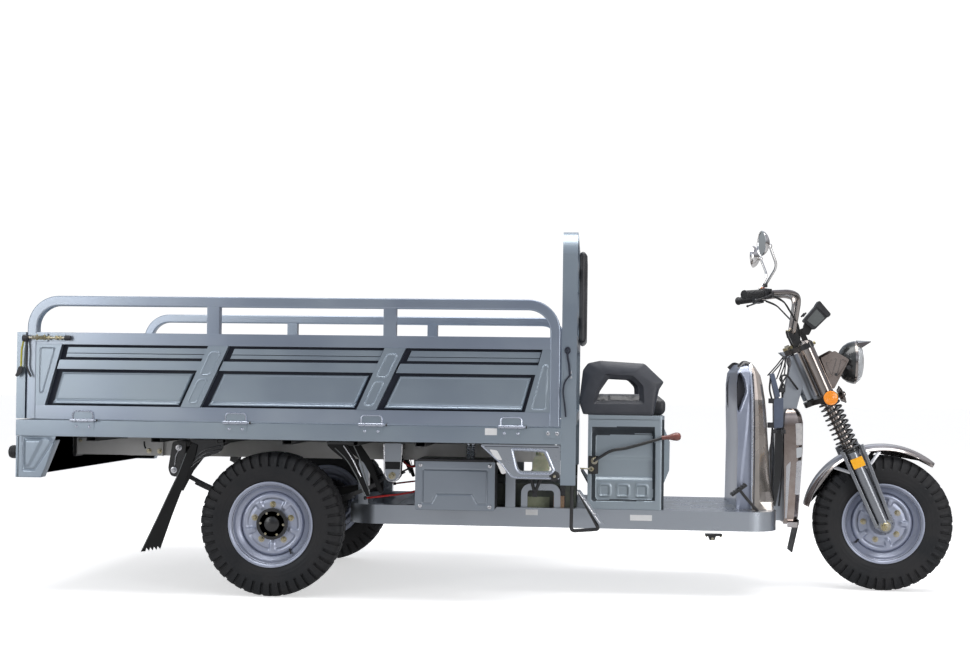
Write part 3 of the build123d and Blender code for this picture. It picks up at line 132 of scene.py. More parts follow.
# %% Three soft boxes
def soft_box(name, place, aim, size, power):
    """A rectangular area light at a place, turned towards a point."""
    lamp = bpy.data.lights.new(name, "AREA")
    lamp.shape = "RECTANGLE"
    lamp.size, lamp.size_y = size
    lamp.energy = power
    holder = bpy.data.objects.new(name, lamp)
    scene.collection.objects.link(holder)
    holder.location = place
    holder.rotation_euler = (Vector(aim) - Vector(place)).to_track_quat("-Z", "Y").to_euler()
    return holder


soft_box("overhead", (0.2, -0.6, 4.2), (0.2, 0.0, 0.5), (6.0, 2.2), 200.0)
soft_box("front_left", (-3.7, -4.4, 1.9), (-1.2, 0.0, 0.6), (1.5, 2.6), 42.0)
soft_box("front_right", (4.0, -4.4, 1.7), (1.2, 0.0, 0.6), (1.8, 2.6), 75.0)

# %% [markdown]
# ## Camera
#
# The tricycle is seen from its right-hand side, a little above axle height, with a long lens from
# almost six metres.  The lens looks slightly back towards the cargo bed, so the far side of the
# bed shows between the rails.  A small vertical shift keeps the posts upright.

# %% Camera
EYE = Vector((0.4056, -5.7386, 0.8429))
YAW, PITCH, ROLL = 0.081, 0.013, 0.0133
LENS, SENSOR = 49.18, 36.0

ahead = Vector((-math.sin(YAW) * math.cos(PITCH), math.cos(YAW) * math.cos(PITCH), math.sin(PITCH)))
level = Vector((math.cos(YAW), math.sin(YAW), 0.0))
upright = level.cross(ahead)
right_dir = math.cos(ROLL) * level + math.sin(ROLL) * upright
up_dir = -math.sin(ROLL) * level + math.cos(ROLL) * upright
camera_data = bpy.data.cameras.new("side_camera")
camera_data.lens, camera_data.sensor_width = LENS, SENSOR
camera_data.shift_y = 0.0456
camera = bpy.data.objects.new("side_camera", camera_data)
scene.collection.objects.link(camera)
turn = Matrix((right_dir, up_dir, -ahead)).transposed().to_4x4()
camera.matrix_world = Matrix.Translation(EYE) @ turn
scene.camera = camera
print("camera at", [round(v, 3) for v in EYE])
# %% [markdown]
# ## Tools for making metalwork
#
# Nearly everything on this machine is bent tube, folded sheet, cast lumps and turned parts.  A
# `Shape` collects such solids as plain points and faces, and `finish_piece` makes one object of
# them, rounds its edges with a Bevel modifier, and hands it to the body that carries it.

# %% A collector for points and faces
class Shape:
    """Points and faces of one piece, in millimetres, with a material number for each face."""

    def __init__(self):
        self.points, self.faces, self.looks = [], [], []

    def add(self, points, faces, look=0):
        start = len(self.points)
        self.points += [tuple(map(float, point)) for point in points]
        self.faces += [tuple(start + i for i in face) for face in faces]
        self.looks += [look] * len(faces)
        return self


def face_centres(shape):
    """The middle of every face of a shape, as an array."""
    points = np.array(shape.points)
    return np.array([points[list(face)].mean(axis=0) for face in shape.faces])


def frame_of(direction):
    """Two unit vectors square to a direction and to each other."""
    direction = np.asarray(direction, float) / np.linalg.norm(direction)
    helper = np.array((0.0, 0.0, 1.0)) if abs(direction[2]) < 0.9 else np.array((1.0, 0.0, 0.0))
    side = np.cross(helper, direction)
    side /= np.linalg.norm(side)
    return side, np.cross(direction, side)


def ring_faces(rings, count, closed_ends=True, closed_loop=False):
    """Quads between equal rings of points, with caps."""
    faces = []
    pairs = rings if closed_loop else rings - 1
    for ring in range(pairs):
        low, high = ring * count, ((ring + 1) % rings) * count
        faces += [(low + i, low + (i + 1) % count, high + (i + 1) % count, high + i) for i in range(count)]
    if closed_ends and not closed_loop:
        faces += [tuple(reversed(range(count))), tuple((rings - 1) * count + i for i in range(count))]
    return faces


# %% Blocks and cut plates
def add_box(shape, x, y, z, look=0):
    """A block between low and high values on each axis."""
    points = [(i, j, k) for k in z for j in y for i in x]
    faces = [(0, 2, 3, 1), (4, 5, 7, 6), (0, 1, 5, 4), (2, 6, 7, 3), (0, 4, 6, 2), (1, 3, 7, 5)]
    return shape.add(points, faces, look)


def add_plate(shape, outline, depth, holes=(), across="y", look=0):
    """A plate cut to an outline with holes; depth gives its two faces along one axis."""
    loops = [list(outline)] + [list(hole) for hole in holes]
    flat = [Vector((a, b, 0)) for loop in loops for a, b in loop]
    triangles = geometry.tessellate_polygon([[Vector((a, b, 0)) for a, b in loop] for loop in loops])
    order = {"y": lambda a, b, c: (a, c, b), "x": lambda a, b, c: (c, a, b), "z": lambda a, b, c: (a, b, c)}
    put = order[across]
    points = [put(p.x, p.y, c) for c in depth for p in flat]
    total = len(flat)
    faces = [tuple(t) for t in triangles] + [tuple(total + i for i in reversed(t)) for t in triangles]
    start = 0
    for loop in loops:
        size = len(loop)
        faces += [(start + i, start + (i + 1) % size, total + start + (i + 1) % size, total + start + i)
                  for i in range(size)]
        start += size
    return shape.add(points, faces, look)


def smooth_corners(outline, radius, steps=5):
    """A closed outline with each corner turned into a short curve."""
    points = [np.array(point, float) for point in outline]
    rounded = []
    for before, corner, after in zip(points[-1:] + points[:-1], points, points[1:] + points[:1]):
        into, out = before - corner, after - corner
        reach = min(radius, np.linalg.norm(into) * 0.45, np.linalg.norm(out) * 0.45)
        start = corner + into / np.linalg.norm(into) * reach
        end = corner + out / np.linalg.norm(out) * reach
        for share in np.linspace(0, 1, steps):
            point = start * (1 - share) ** 2 + corner * 2 * share * (1 - share) + end * share ** 2
            rounded.append(tuple(point))
    return rounded


# %% Turned parts and tubes
def add_lathe(shape, profile, centre, axis, steps=48, look=0, closed=True):
    """A turned part; the profile gives radius and distance along the axis."""
    centre, axis = np.asarray(centre, float), np.asarray(axis, float) / np.linalg.norm(axis)
    side, other = frame_of(axis)
    points = []
    for radius, along in profile:
        for step in range(steps):
            angle = 2 * math.pi * step / steps
            points.append(centre + axis * along + radius * (side * math.cos(angle) + other * math.sin(angle)))
    return shape.add(points, ring_faces(len(profile), steps, closed_ends=closed), look)


def add_rod(shape, start, end, radius, sides=20, look=0, rounding=0.0):
    """A round bar between two points, with slightly rounded ends."""
    start, end = np.asarray(start, float), np.asarray(end, float)
    length = float(np.linalg.norm(end - start))
    edge = rounding if rounding else min(radius * 0.12, length * 0.2, 1.5)
    profile = [(radius - edge, 0), (radius, edge), (radius, length - edge), (radius - edge, length)]
    return add_lathe(shape, profile, start, end - start, sides, look)


def curve_points(corners, radius, steps=6, closed=False):
    """An open or closed run of points whose corners are turned into arcs-like curves."""
    points = [np.array(corner, float) for corner in corners]
    if not isinstance(radius, (list, tuple)):
        radius = [radius] * len(points)
    run = [] if closed else [points[0]]
    count = len(points)
    wanted = range(count) if closed else range(1, count - 1)
    for i in wanted:
        before, corner, after = points[i - 1], points[i], points[(i + 1) % count]
        into, out = before - corner, after - corner
        reach = min(radius[i], np.linalg.norm(into) * 0.48, np.linalg.norm(out) * 0.48)
        start = corner + into / np.linalg.norm(into) * reach
        end = corner + out / np.linalg.norm(out) * reach
        for share in np.linspace(0, 1, steps):
            run.append(start * (1 - share) ** 2 + corner * 2 * share * (1 - share) + end * share ** 2)
    if not closed:
        run.append(points[-1])
    return run


def section_circle(radius, sides=14):
    """A round tube section."""
    return [(radius * math.cos(2 * math.pi * i / sides), radius * math.sin(2 * math.pi * i / sides))
            for i in range(sides)]


def section_box(width, height, rounding):
    """A rectangular tube section with rounded corners."""
    half = [(-width / 2, -height / 2), (width / 2, -height / 2), (width / 2, height / 2),
            (-width / 2, height / 2)]
    return smooth_corners(half, rounding, 4)


def add_sweep(shape, path, section, up=None, closed=False, look=0, scale=None):
    """A section carried along a path; up fixes which way the section's second axis points."""
    path = [np.asarray(point, float) for point in path]
    count, points = len(path), []
    normal = None
    for i, point in enumerate(path):
        before = path[i - 1] if i or closed else path[i]
        after = path[(i + 1) % count] if i + 1 < count or closed else path[i]
        along = after - before
        along = along / np.linalg.norm(along)
        if up is not None:
            side = np.cross(along, np.asarray(up, float))
            side = side / np.linalg.norm(side)
        else:
            if normal is None:
                normal = frame_of(along)[0]
            side = normal - along * normal.dot(along)
            side = side / np.linalg.norm(side)
            normal = side
        top = np.cross(side, along)
        grow = 1.0 if scale is None else scale[i]
        points += [point + grow * (side * a + top * b) for a, b in section]
    return shape.add(points, ring_faces(count, len(section), closed_loop=closed), look)


# %% [markdown]
# ## Pressed sheet
#
# Gate panels, covers and shields are thin sheet with shapes pressed into them.  A heavy way is to
# cut and bevel each shape.  A press works the other way round: the sheet starts as an even grid
# and every point is pushed in or out by a height that depends on how far it lies from the outline
# of the shape.  That gives soft shoulders for free.

# %% Heights for pressed shapes
def distance_to(outline, u, v):
    """Signed distance of points from a closed outline, negative inside."""
    best = np.full(u.shape, 1e9)
    inside = np.zeros(u.shape, bool)
    points = [np.array(point, float) for point in outline]
    for start, end in zip(points, points[1:] + points[:1]):
        run = end - start
        share = np.clip(((u - start[0]) * run[0] + (v - start[1]) * run[1]) / run.dot(run), 0, 1)
        best = np.minimum(best, np.hypot(u - start[0] - share * run[0], v - start[1] - share * run[1]))
        crosses = (start[1] > v) != (end[1] > v)
        level = start[0] + (v - start[1]) * run[0] / (run[1] if abs(run[1]) > 1e-9 else 1e-9)
        inside ^= crosses & (u < level)
    return np.where(inside, -best, best)


def step_in(distance, slope):
    """1 well inside an outline, 0 outside it, with a soft shoulder between."""
    t = np.clip(0.5 - distance / slope, 0, 1)
    return t * t * (3 - 2 * t)


def bead(distance, width):
    """A rounded ridge that follows an outline."""
    return np.clip(1 - (distance / width) ** 2, 0, 1) ** 2


def add_pressed(shape, corners, counts, height, thickness, out, look=0):
    """A four-cornered sheet whose points are pushed along out by height(a, b).

    Corners run (low a, low b), (high a, low b), (high a, high b), (low a, high b); a and b are the
    point's own in-plane coordinates: X and Z on an upright side sheet."""
    corners = [np.asarray(corner, float) for corner in corners]
    out = np.asarray(out, float)
    flat = [i for i in range(3) if abs(out[i]) < 0.5]
    s, t = np.meshgrid(np.linspace(0, 1, counts[0]), np.linspace(0, 1, counts[1]))
    mix = [(1 - s) * (1 - t), s * (1 - t), s * t, (1 - s) * t]
    grid = sum(weight[..., None] * corner for weight, corner in zip(mix, corners))
    grid = grid + height(grid[..., flat[0]], grid[..., flat[1]])[..., None] * out
    return add_grid(shape, grid, out * -thickness, look)


def add_grid(shape, grid, back, look=0):
    """A grid of points as a sheet, folded back along its edge by the vector back."""
    rows, columns = grid.shape[:2]
    points = grid.reshape(-1, 3)
    at = lambda r, c: r * columns + c
    faces = [(at(r, c), at(r, c + 1), at(r + 1, c + 1), at(r + 1, c))
             for r in range(rows - 1) for c in range(columns - 1)]
    edge = ([at(0, c) for c in range(columns)] + [at(r, columns - 1) for r in range(1, rows)]
            + [at(rows - 1, c) for c in range(columns - 2, -1, -1)] + [at(r, 0) for r in range(rows - 2, 0,
                    -1)])
    total = len(points)
    rim = points[edge] + np.asarray(back, float)
    size = len(edge)
    faces += [(edge[i], total + i, total + (i + 1) % size, edge[(i + 1) % size]) for i in range(size)]
    faces.append(tuple(total + i for i in range(size)))
    return shape.add(np.vstack((points, rim)), faces, look)


# %% From a shape to a finished piece
def finish_piece(name, shape, looks, body, bevel=0.0, segments=2, replaces=(), flip=True,
                 crease=32.0):
    """Make one object, with bevelled edges and smooth shading, and let it ride on its body."""
    mesh = bpy.data.meshes.new(name)
    mesh.from_pydata([tuple(c * METRE for c in point) for point in shape.points], [], shape.faces)
    for look in looks:
        mesh.materials.append(look)
    mesh.polygons.foreach_set("material_index", shape.looks)
    tidy = bmesh.new()
    tidy.from_mesh(mesh)
    bmesh.ops.remove_doubles(tidy, verts=tidy.verts, dist=1e-6)
    if flip:
        bmesh.ops.recalc_face_normals(tidy, faces=tidy.faces)
    tidy.to_mesh(mesh)
    tidy.free()
    piece = bpy.data.objects.new(name, mesh)
    scene.collection.objects.link(piece)
    if bevel:
        rounding = piece.modifiers.new("rounding", "BEVEL")
        rounding.width, rounding.segments = bevel * METRE, segments
        rounding.limit_method, rounding.angle_limit = "ANGLE", math.radians(28)
        rounding.use_clamp_overlap = True
        bake_modifiers(piece)
    for face in piece.data.polygons:
        face.use_smooth = True
    mark_sharp(piece.data, crease)
    if bevel:
        piece.modifiers.new("even_faces", "WEIGHTED_NORMAL").keep_sharp = True
        bake_modifiers(piece)
    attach(piece, body)
    for node in replaces:
        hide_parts(node)
    return piece


def bake_modifiers(piece):
    """Write the result of the modifiers into the mesh."""
    graph = bpy.context.evaluated_depsgraph_get()
    graph.update()
    baked = bpy.data.meshes.new_from_object(piece.evaluated_get(graph))
    piece.modifiers.clear()
    piece.data = baked


def mark_sharp(mesh, angle):
    """Keep edges sharper than an angle crisp, and shade the rest smoothly."""
    work = bmesh.new()
    work.from_mesh(mesh)
    limit = math.radians(angle)
    for edge in work.edges:
        if len(edge.link_faces) == 2:
            edge.smooth = edge.calc_face_angle(0.0) < limit
    work.to_mesh(mesh)
    work.free()


print("tools ready")
# %% [markdown]
# ## One group for uneven surfaces
#
# No real surface has a single colour.  Paint drifts between two tints, rubber greys where it is
# handled, plastic holds a little dust on faces that look up.  All of these are the same few steps,
# so they are wired once as a node group with named inputs, and each material gives its own values.

# %% The group "uneven skin"
def group_with(name, inputs, outputs):
    """An empty shader group with its sockets and its two end nodes."""
    tree = bpy.data.node_groups.new(name, "ShaderNodeTree")
    kinds = {"value": "NodeSocketFloat", "colour": "NodeSocketColor", "vector": "NodeSocketVector"}
    for label, kind, default in inputs:
        socket = tree.interface.new_socket(name=label, in_out="INPUT", socket_type=kinds[kind])
        if default is not None:
            socket.default_value = default
    for label, kind in outputs:
        tree.interface.new_socket(name=label, in_out="OUTPUT", socket_type=kinds[kind])
    return tree, tree.nodes.new("NodeGroupInput"), tree.nodes.new("NodeGroupOutput")


def put(tree, kind, **settings):
    """A node with its settings; a name with a double underscore sets an input's own value."""
    node = tree.nodes.new(kind)
    for key, value in settings.items():
        if key.startswith("in__"):
            node.inputs[key[4:].replace("_", " ")].default_value = value
        else:
            setattr(node, key, value)
    return node


def join(tree, start, end):
    """A link between two sockets."""
    tree.links.new(start, end)


def noise_at(tree, source, scale_socket, detail, roughness=0.5):
    """A noise texture over a place, with its scale taken from a socket."""
    noise = put(tree, "ShaderNodeTexNoise", in__Detail=detail, in__Roughness=roughness)
    join(tree, source, noise.inputs["Vector"])
    join(tree, scale_socket, noise.inputs["Scale"])
    return noise.outputs["Fac"]


def map_to(tree, value, low, high, to_low=0.0, to_high=1.0):
    """A value stretched from one range to another, with its ends held."""
    stretch = put(tree, "ShaderNodeMapRange", clamp=True, interpolation_type="SMOOTHSTEP")
    stretch.inputs["From Min"].default_value, stretch.inputs["From Max"].default_value = low, high
    for key, given in (("To Min", to_low), ("To Max", to_high)):
        if isinstance(given, bpy.types.NodeSocket):
            join(tree, given, stretch.inputs[key])
        else:
            stretch.inputs[key].default_value = given
    join(tree, value, stretch.inputs["Value"])
    return stretch.outputs["Result"]


def times(tree, first, second):
    """Two values multiplied."""
    product = put(tree, "ShaderNodeMath", operation="MULTIPLY")
    join(tree, first, product.inputs[0])
    join(tree, second, product.inputs[1])
    return product.outputs[0]


def blend_colours(tree, share, first, second):
    """Two colours mixed by a share."""
    mix = put(tree, "ShaderNodeMix", data_type="RGBA")
    join(tree, share, mix.inputs["Factor"])
    for socket, given in ((mix.inputs[6], first), (mix.inputs[7], second)):
        if isinstance(given, bpy.types.NodeSocket):
            join(tree, given, socket)
        else:
            socket.default_value = given
    return mix.outputs[2]


uneven, gin, gout = group_with(
    "uneven_skin",
    [("Colour", "colour", (0.5, 0.5, 0.5, 1)), ("Second Colour", "colour", (0.4, 0.4, 0.4, 1)),
     ("Cloud Size", "value", 3.0), ("Cloud Share", "value", 0.5), ("Low Roughness", "value", 0.3),
     ("High Roughness", "value", 0.45), ("Grain Size", "value", 300.0), ("Grain Depth", "value", 0.05),
     ("Dust Colour", "colour", (0.6, 0.58, 0.55, 1)), ("Dust Share", "value", 0.1)],
    [("Colour", "colour"), ("Roughness", "value"), ("Normal", "vector")])
place = uneven.nodes.new("ShaderNodeTexCoord")
clouds = noise_at(uneven, place.outputs["Object"], gin.outputs["Cloud Size"], 4.0, 0.6)
grain = noise_at(uneven, place.outputs["Object"], gin.outputs["Grain Size"], 2.0)
share = times(uneven, map_to(uneven, clouds, 0.35, 0.65), gin.outputs["Cloud Share"])
tinted = blend_colours(uneven, share, gin.outputs["Colour"], gin.outputs["Second Colour"])
facing = put(uneven, "ShaderNodeSeparateXYZ")
join(uneven, place.outputs["Normal"], facing.inputs[0])
upward = map_to(uneven, facing.outputs["Z"], 0.5, 1.0)
dusty = times(uneven, times(uneven, upward, clouds), gin.outputs["Dust Share"])
join(uneven, blend_colours(uneven, dusty, tinted, gin.outputs["Dust Colour"]), gout.inputs["Colour"])
join(uneven, map_to(uneven, clouds, 0.3, 0.7, gin.outputs["Low Roughness"], gin.outputs["High Roughness"]),
     gout.inputs["Roughness"])
bumps = put(uneven, "ShaderNodeBump", in__Distance=0.0006)
join(uneven, gin.outputs["Grain Depth"], bumps.inputs["Strength"])
join(uneven, grain, bumps.inputs["Height"])
join(uneven, bumps.outputs["Normal"], gout.inputs["Normal"])
print("group", uneven.name, len(uneven.nodes), "nodes")

# %% [markdown]
# ## Finishes
#
# Each finish is a Principled BSDF fed by the group.  What is the same all over a finish, such as
# how metallic it is or how thick its clear coat is, is typed straight into the shader.

# %% A helper for a finish
def rgba(colour):
    """A colour with an alpha of one."""
    return (*colour, 1.0)


def finish(name, colour, second=None, rough=(0.3, 0.45), metallic=0.0, cloud=(3.0, 0.6),
           grain=(300.0, 0.05),
           dust=(0.05, (0.6, 0.58, 0.55)), **shader):
    """A material from the uneven skin and a Principled BSDF; extra words set the shader's sockets."""
    material = bpy.data.materials.new(name)
    material.use_nodes = True
    tree = material.node_tree
    surface = tree.nodes["Principled BSDF"]
    skin = tree.nodes.new("ShaderNodeGroup")
    skin.node_tree = uneven
    second = second or tuple(channel * 0.8 for channel in colour)
    values = {"Colour": rgba(colour), "Second Colour": rgba(second), "Cloud Size": cloud[0],
              "Cloud Share": cloud[1], "Low Roughness": rough[0], "High Roughness": rough[1],
              "Grain Size": grain[0], "Grain Depth": grain[1], "Dust Share": dust[0],
              "Dust Colour": rgba(dust[1])}
    for key, value in values.items():
        skin.inputs[key].default_value = value
    join(tree, skin.outputs["Colour"], surface.inputs["Base Color"])
    join(tree, skin.outputs["Roughness"], surface.inputs["Roughness"])
    join(tree, skin.outputs["Normal"], surface.inputs["Normal"])
    surface.inputs["Metallic"].default_value = metallic
    for key, value in shader.items():
        surface.inputs[key.replace("_", " ")].default_value = value
    return material


# %% Paints, bare metals, plastics and rubber
bed_paint = finish("bed_paint", (0.30, 0.355, 0.42), (0.335, 0.39, 0.435), (0.30, 0.42), 0.72, (1.6, 0.9),
                   (900.0, 0.05), Coat_Weight=0.35, Coat_Roughness=0.16)
rail_paint = finish("rail_paint", (0.32, 0.37, 0.46), (0.37, 0.42, 0.48), (0.28, 0.40), 0.72, (1.3, 0.9),
                    (900.0, 0.05), Coat_Weight=0.4, Coat_Roughness=0.12)
silver_paint = finish("silver_paint", (0.40, 0.43, 0.47), (0.37, 0.40, 0.44), (0.26, 0.34), 0.8, (4.0, 0.3),
                      (1200.0, 0.04), Coat_Weight=0.5, Coat_Roughness=0.08)
wheel_paint = finish("wheel_paint", (0.42, 0.45, 0.55), (0.34, 0.37, 0.46), (0.30, 0.42), 0.6, (9.0, 0.7),
                     (1200.0, 0.05), Coat_Weight=0.25, Coat_Roughness=0.2)
gloss_silver = finish("gloss_silver", (0.56, 0.54, 0.55), (0.40, 0.34, 0.30), (0.10, 0.20), 0.95,
                      (5.0, 0.8),
                      (600.0, 0.03), Coat_Weight=0.6, Coat_Roughness=0.05)
beam_paint = finish("beam_paint", (0.62, 0.61, 0.59), (0.50, 0.49, 0.46), (0.40, 0.55), 0.2, (4.0, 0.8),
                    (500.0, 0.12), dust=(0.15, (0.5, 0.48, 0.44)))
black_steel = finish("black_steel", (0.012, 0.012, 0.013), (0.03, 0.028, 0.026), (0.25, 0.42), 0.0,
                     (12.0, 0.6),
                     (500.0, 0.15), Coat_Weight=0.3, Coat_Roughness=0.2)
black_plastic = finish("black_plastic", (0.016, 0.016, 0.018), (0.035, 0.035, 0.04), (0.38, 0.55), 0.0,
                       (14.0, 0.6), (1400.0, 0.25))
grey_plastic = finish("grey_plastic", (0.050, 0.053, 0.064), (0.075, 0.078, 0.09), (0.40, 0.55), 0.0,
                      (7.0, 0.7), (1600.0, 0.35), dust=(0.2, (0.3, 0.3, 0.31)))
cream_plastic = finish("cream_plastic", (0.70, 0.68, 0.50), (0.50, 0.50, 0.34), (0.25, 0.4), 0.0,
                       (25.0, 0.8),
                       (300.0, 0.1), Subsurface_Weight=0.3)
chrome = finish("chrome", (0.80, 0.79, 0.78), (0.62, 0.58, 0.55), (0.04, 0.12), 1.0, (18.0, 0.5),
                (300.0, 0.015))
bright_steel = finish("bright_steel", (0.62, 0.62, 0.64), (0.5, 0.5, 0.52), (0.22, 0.34), 1.0, (30.0, 0.5),
                      (900.0, 0.08))
zinc = finish("zinc", (0.42, 0.36, 0.20), (0.50, 0.47, 0.40), (0.22, 0.36), 0.9, (40.0, 0.9), (900.0, 0.08))
gloss_black = finish("gloss_black", (0.008, 0.008, 0.009), (0.02, 0.02, 0.022), (0.10, 0.24), 0.0,
                     (6.0, 0.5), (500.0, 0.06), Coat_Weight=0.5, Coat_Roughness=0.08)
tyre_rubber = finish("tyre_rubber", (0.010, 0.011, 0.013), (0.024, 0.023, 0.024), (0.46, 0.64), 0.0,
                     (7.0, 0.8), (700.0, 0.22), dust=(0.06, (0.12, 0.11, 0.10)), Specular_IOR_Level=0.35)
soft_rubber = finish("soft_rubber", (0.015, 0.015, 0.016), (0.03, 0.03, 0.03), (0.45, 0.6), 0.0,
                     (20.0, 0.6), (900.0, 0.2))
vinyl = finish("vinyl", (0.018, 0.018, 0.02), (0.04, 0.04, 0.045), (0.36, 0.5), 0.0, (9.0, 0.6),
               (420.0, 0.6), dust=(0.2, (0.2, 0.2, 0.21)), Sheen_Weight=0.15)
amber = finish("amber_lens", (1.0, 0.33, 0.01), (0.95, 0.25, 0.0), (0.12, 0.2), 0.0, (60.0, 0.4),
               (900.0, 0.1), Coat_Weight=0.6, Emission_Strength=0.12, Emission_Color=(1.0, 0.3, 0.0, 1.0))
red_lens = finish("red_lens", (0.45, 0.01, 0.01), (0.6, 0.02, 0.02), (0.1, 0.2), 0.0, (60.0, 0.4),
                  (900.0, 0.1), Coat_Weight=0.6)
# The reflector's faint orange emission is a painted glow; a reflector gives no light of its own.
reflector = finish("reflector", (1.0, 0.50, 0.01), (0.95, 0.38, 0.0), (0.15, 0.25), 0.0, (220.0, 0.9),
                   (900.0, 0.3), Coat_Weight=0.5, Emission_Strength=0.15, Emission_Color=(1.0, 0.5, 0.0,
                           1.0))
lamp_shell = finish("lamp_shell", (0.016, 0.017, 0.018), (0.04, 0.042, 0.042), (0.22, 0.34), 0.1,
                    (12.0, 0.7),
                    (600.0, 0.08), Coat_Weight=0.4)
tube_chrome = finish("tube_chrome", (0.34, 0.31, 0.29), (0.24, 0.20, 0.18), (0.10, 0.18), 1.0, (10.0, 0.7),
                     (500.0, 0.02), Coat_Weight=0.5, Coat_Roughness=0.05)
leg_silver = finish("leg_silver", (0.26, 0.27, 0.29), (0.20, 0.21, 0.23), (0.20, 0.30), 0.85, (6.0, 0.6),
                    (700.0, 0.04), Coat_Weight=0.4, Coat_Roughness=0.08)
flap_black = finish("flap_black", (0.001, 0.001, 0.001), (0.003, 0.003, 0.003), (0.30, 0.42), 0.0,
                    (9.0, 0.5),
                    (500.0, 0.08), Specular_IOR_Level=0.3)
# A pale warm copy of the shield's gloss: a painted highlight on the upper front facets.
facet_painted_highlight = finish("facet_painted_highlight", (0.78, 0.68, 0.61), (0.66, 0.58, 0.52), (0.25, 0.35), 0.4, (4.0, 0.5),
                     (700.0, 0.02), Coat_Weight=0.5, Coat_Roughness=0.06)
# Near-black: painted shade inside the rear wings and behind the rear panel.
underside_painted_shade = finish("underside_painted_shade", (0.030, 0.027, 0.025), (0.05, 0.045, 0.04), (0.5, 0.65), 0.0, (5.0, 0.8))
warm_chrome = finish("warm_chrome", (0.42, 0.36, 0.33), (0.30, 0.24, 0.21), (0.10, 0.2), 1.0, (10.0, 0.8),
                     (400.0, 0.03))
meter_grey = finish("meter_grey", (0.13, 0.14, 0.14), (0.10, 0.11, 0.11), (0.35, 0.5), 0.0, (20.0, 0.6))
seat_paint = finish("seat_paint", (0.36, 0.42, 0.46), (0.32, 0.37, 0.42), (0.30, 0.42), 0.45, (5.0, 0.4),
                    (900.0, 0.05), Coat_Weight=0.3, Coat_Roughness=0.2)
shield_satin = finish("shield_satin", (0.30, 0.33, 0.42), (0.36, 0.39, 0.47), (0.28, 0.38), 0.5, (4.0, 0.7),
                      (900.0, 0.04), Coat_Weight=0.4, Coat_Roughness=0.12)
warm_gloss = finish("warm_gloss", (0.36, 0.33, 0.30), (0.44, 0.39, 0.35), (0.20, 0.30), 0.7, (5.0, 0.7),
                    (700.0, 0.03), Coat_Weight=0.6, Coat_Roughness=0.06)
column_blue = finish("column_blue", (0.13, 0.16, 0.23), (0.10, 0.12, 0.17), (0.3, 0.45), 0.3, (14.0, 0.8))
clear_marker = finish("clear_marker", (0.72, 0.70, 0.69), (0.5, 0.49, 0.5), (0.12, 0.25), 0.3, (60.0, 0.8),
                      (500.0, 0.2), Coat_Weight=0.7)
dark_steel = finish("dark_steel", (0.05, 0.052, 0.055), (0.09, 0.088, 0.08), (0.45, 0.6), 0.2, (6.0, 0.8))
cover_paint = finish("cover_paint", (0.30, 0.335, 0.38), (0.26, 0.29, 0.33), (0.34, 0.46), 0.6, (3.0, 0.5),
                     (900.0, 0.05), Coat_Weight=0.25, Coat_Roughness=0.2)
latch_yellow = finish("latch_yellow", (0.62, 0.55, 0.05), (0.5, 0.45, 0.05), (0.35, 0.5), 0.0, (30.0, 0.6))
battery_label = finish("battery_label", (0.34, 0.36, 0.24), (0.28, 0.30, 0.20), (0.5, 0.6), 0.0,
                       (40.0, 0.8))
# Near-black: painted shade inside the leaf-shaped pockets of the rear leg shield.
pocket_painted_shade = finish("pocket_painted_shade", (0.012, 0.012, 0.018), (0.03, 0.03, 0.045), (0.5, 0.7))
seat_shadow = finish("seat_shadow", (0.035, 0.042, 0.05), (0.06, 0.07, 0.08), (0.4, 0.55), 0.3, (5.0, 0.6))
blank_label = finish("blank_label", (0.86, 0.86, 0.86), (0.8, 0.8, 0.8), (0.4, 0.5), 0.0, (50.0, 0.4),
                     (300.0, 0.02))
knob_brown = finish("knob_brown", (0.16, 0.045, 0.035), (0.26, 0.09, 0.07), (0.22, 0.35), 0.0, (25.0, 0.8),
                    (600.0, 0.1), Coat_Weight=0.4)
red_cable = finish("red_cable", (0.55, 0.01, 0.01), (0.4, 0.01, 0.01), (0.3, 0.45), 0.0, (30.0, 0.5))
# Near-black navy: painted shade in the gate gaps and beside the shield seam, and the strap latches' colour.
dark_navy_and_painted_shade = finish("dark_navy_and_painted_shade", (0.010, 0.013, 0.026), (0.018, 0.022, 0.04), (0.5, 0.7))
hinge_steel = finish("hinge_steel", (0.50, 0.53, 0.60), (0.42, 0.45, 0.52), (0.22, 0.34), 0.85, (30.0, 0.5),
                     (900.0, 0.08))
# Near-black: painted shade inside the side boxes, in a plate's slot and across the spring hangers.
cavity_painted_shade = finish("cavity_painted_shade", (0.02, 0.021, 0.024), (0.01, 0.01, 0.011), (0.6, 0.8))
wood_brown = finish("wood_brown", (0.42, 0.27, 0.17), (0.25, 0.15, 0.09), (0.5, 0.7), 0.0, (30.0, 0.9))
battery_case = finish("battery_case", (0.05, 0.058, 0.05), (0.10, 0.11, 0.08), (0.4, 0.6), 0.0, (16.0, 0.9))
floor_white = finish("floor_white", (0.93, 0.93, 0.93), (0.9, 0.9, 0.9), (0.6, 0.7), 0.0, (0.6, 0.3),
                     dust=(0.0, (0.9, 0.9, 0.9)))
floor.data.materials.append(floor_white)
ground = floor_white.node_tree
seen = ground.nodes.new("ShaderNodeLightPath").outputs["Is Camera Ray"]
surface = ground.nodes["Principled BSDF"]
join(ground, blend_colours(ground, seen, (0.30, 0.30, 0.31, 1.0), (0.93, 0.93, 0.93, 1.0)),
     surface.inputs["Base Color"])
mirrored = seen.node.outputs["Is Glossy Ray"]
glow = blend_colours(ground, mirrored, (0.0, 0.0, 0.0, 1.0), (0.34, 0.345, 0.35, 1.0))
join(ground, blend_colours(ground, seen, glow, (0.55, 0.55, 0.55, 1.0)), surface.inputs["Emission Color"])
surface.inputs["Emission Strength"].default_value = 1.0
print("finishes", len(bpy.data.materials))

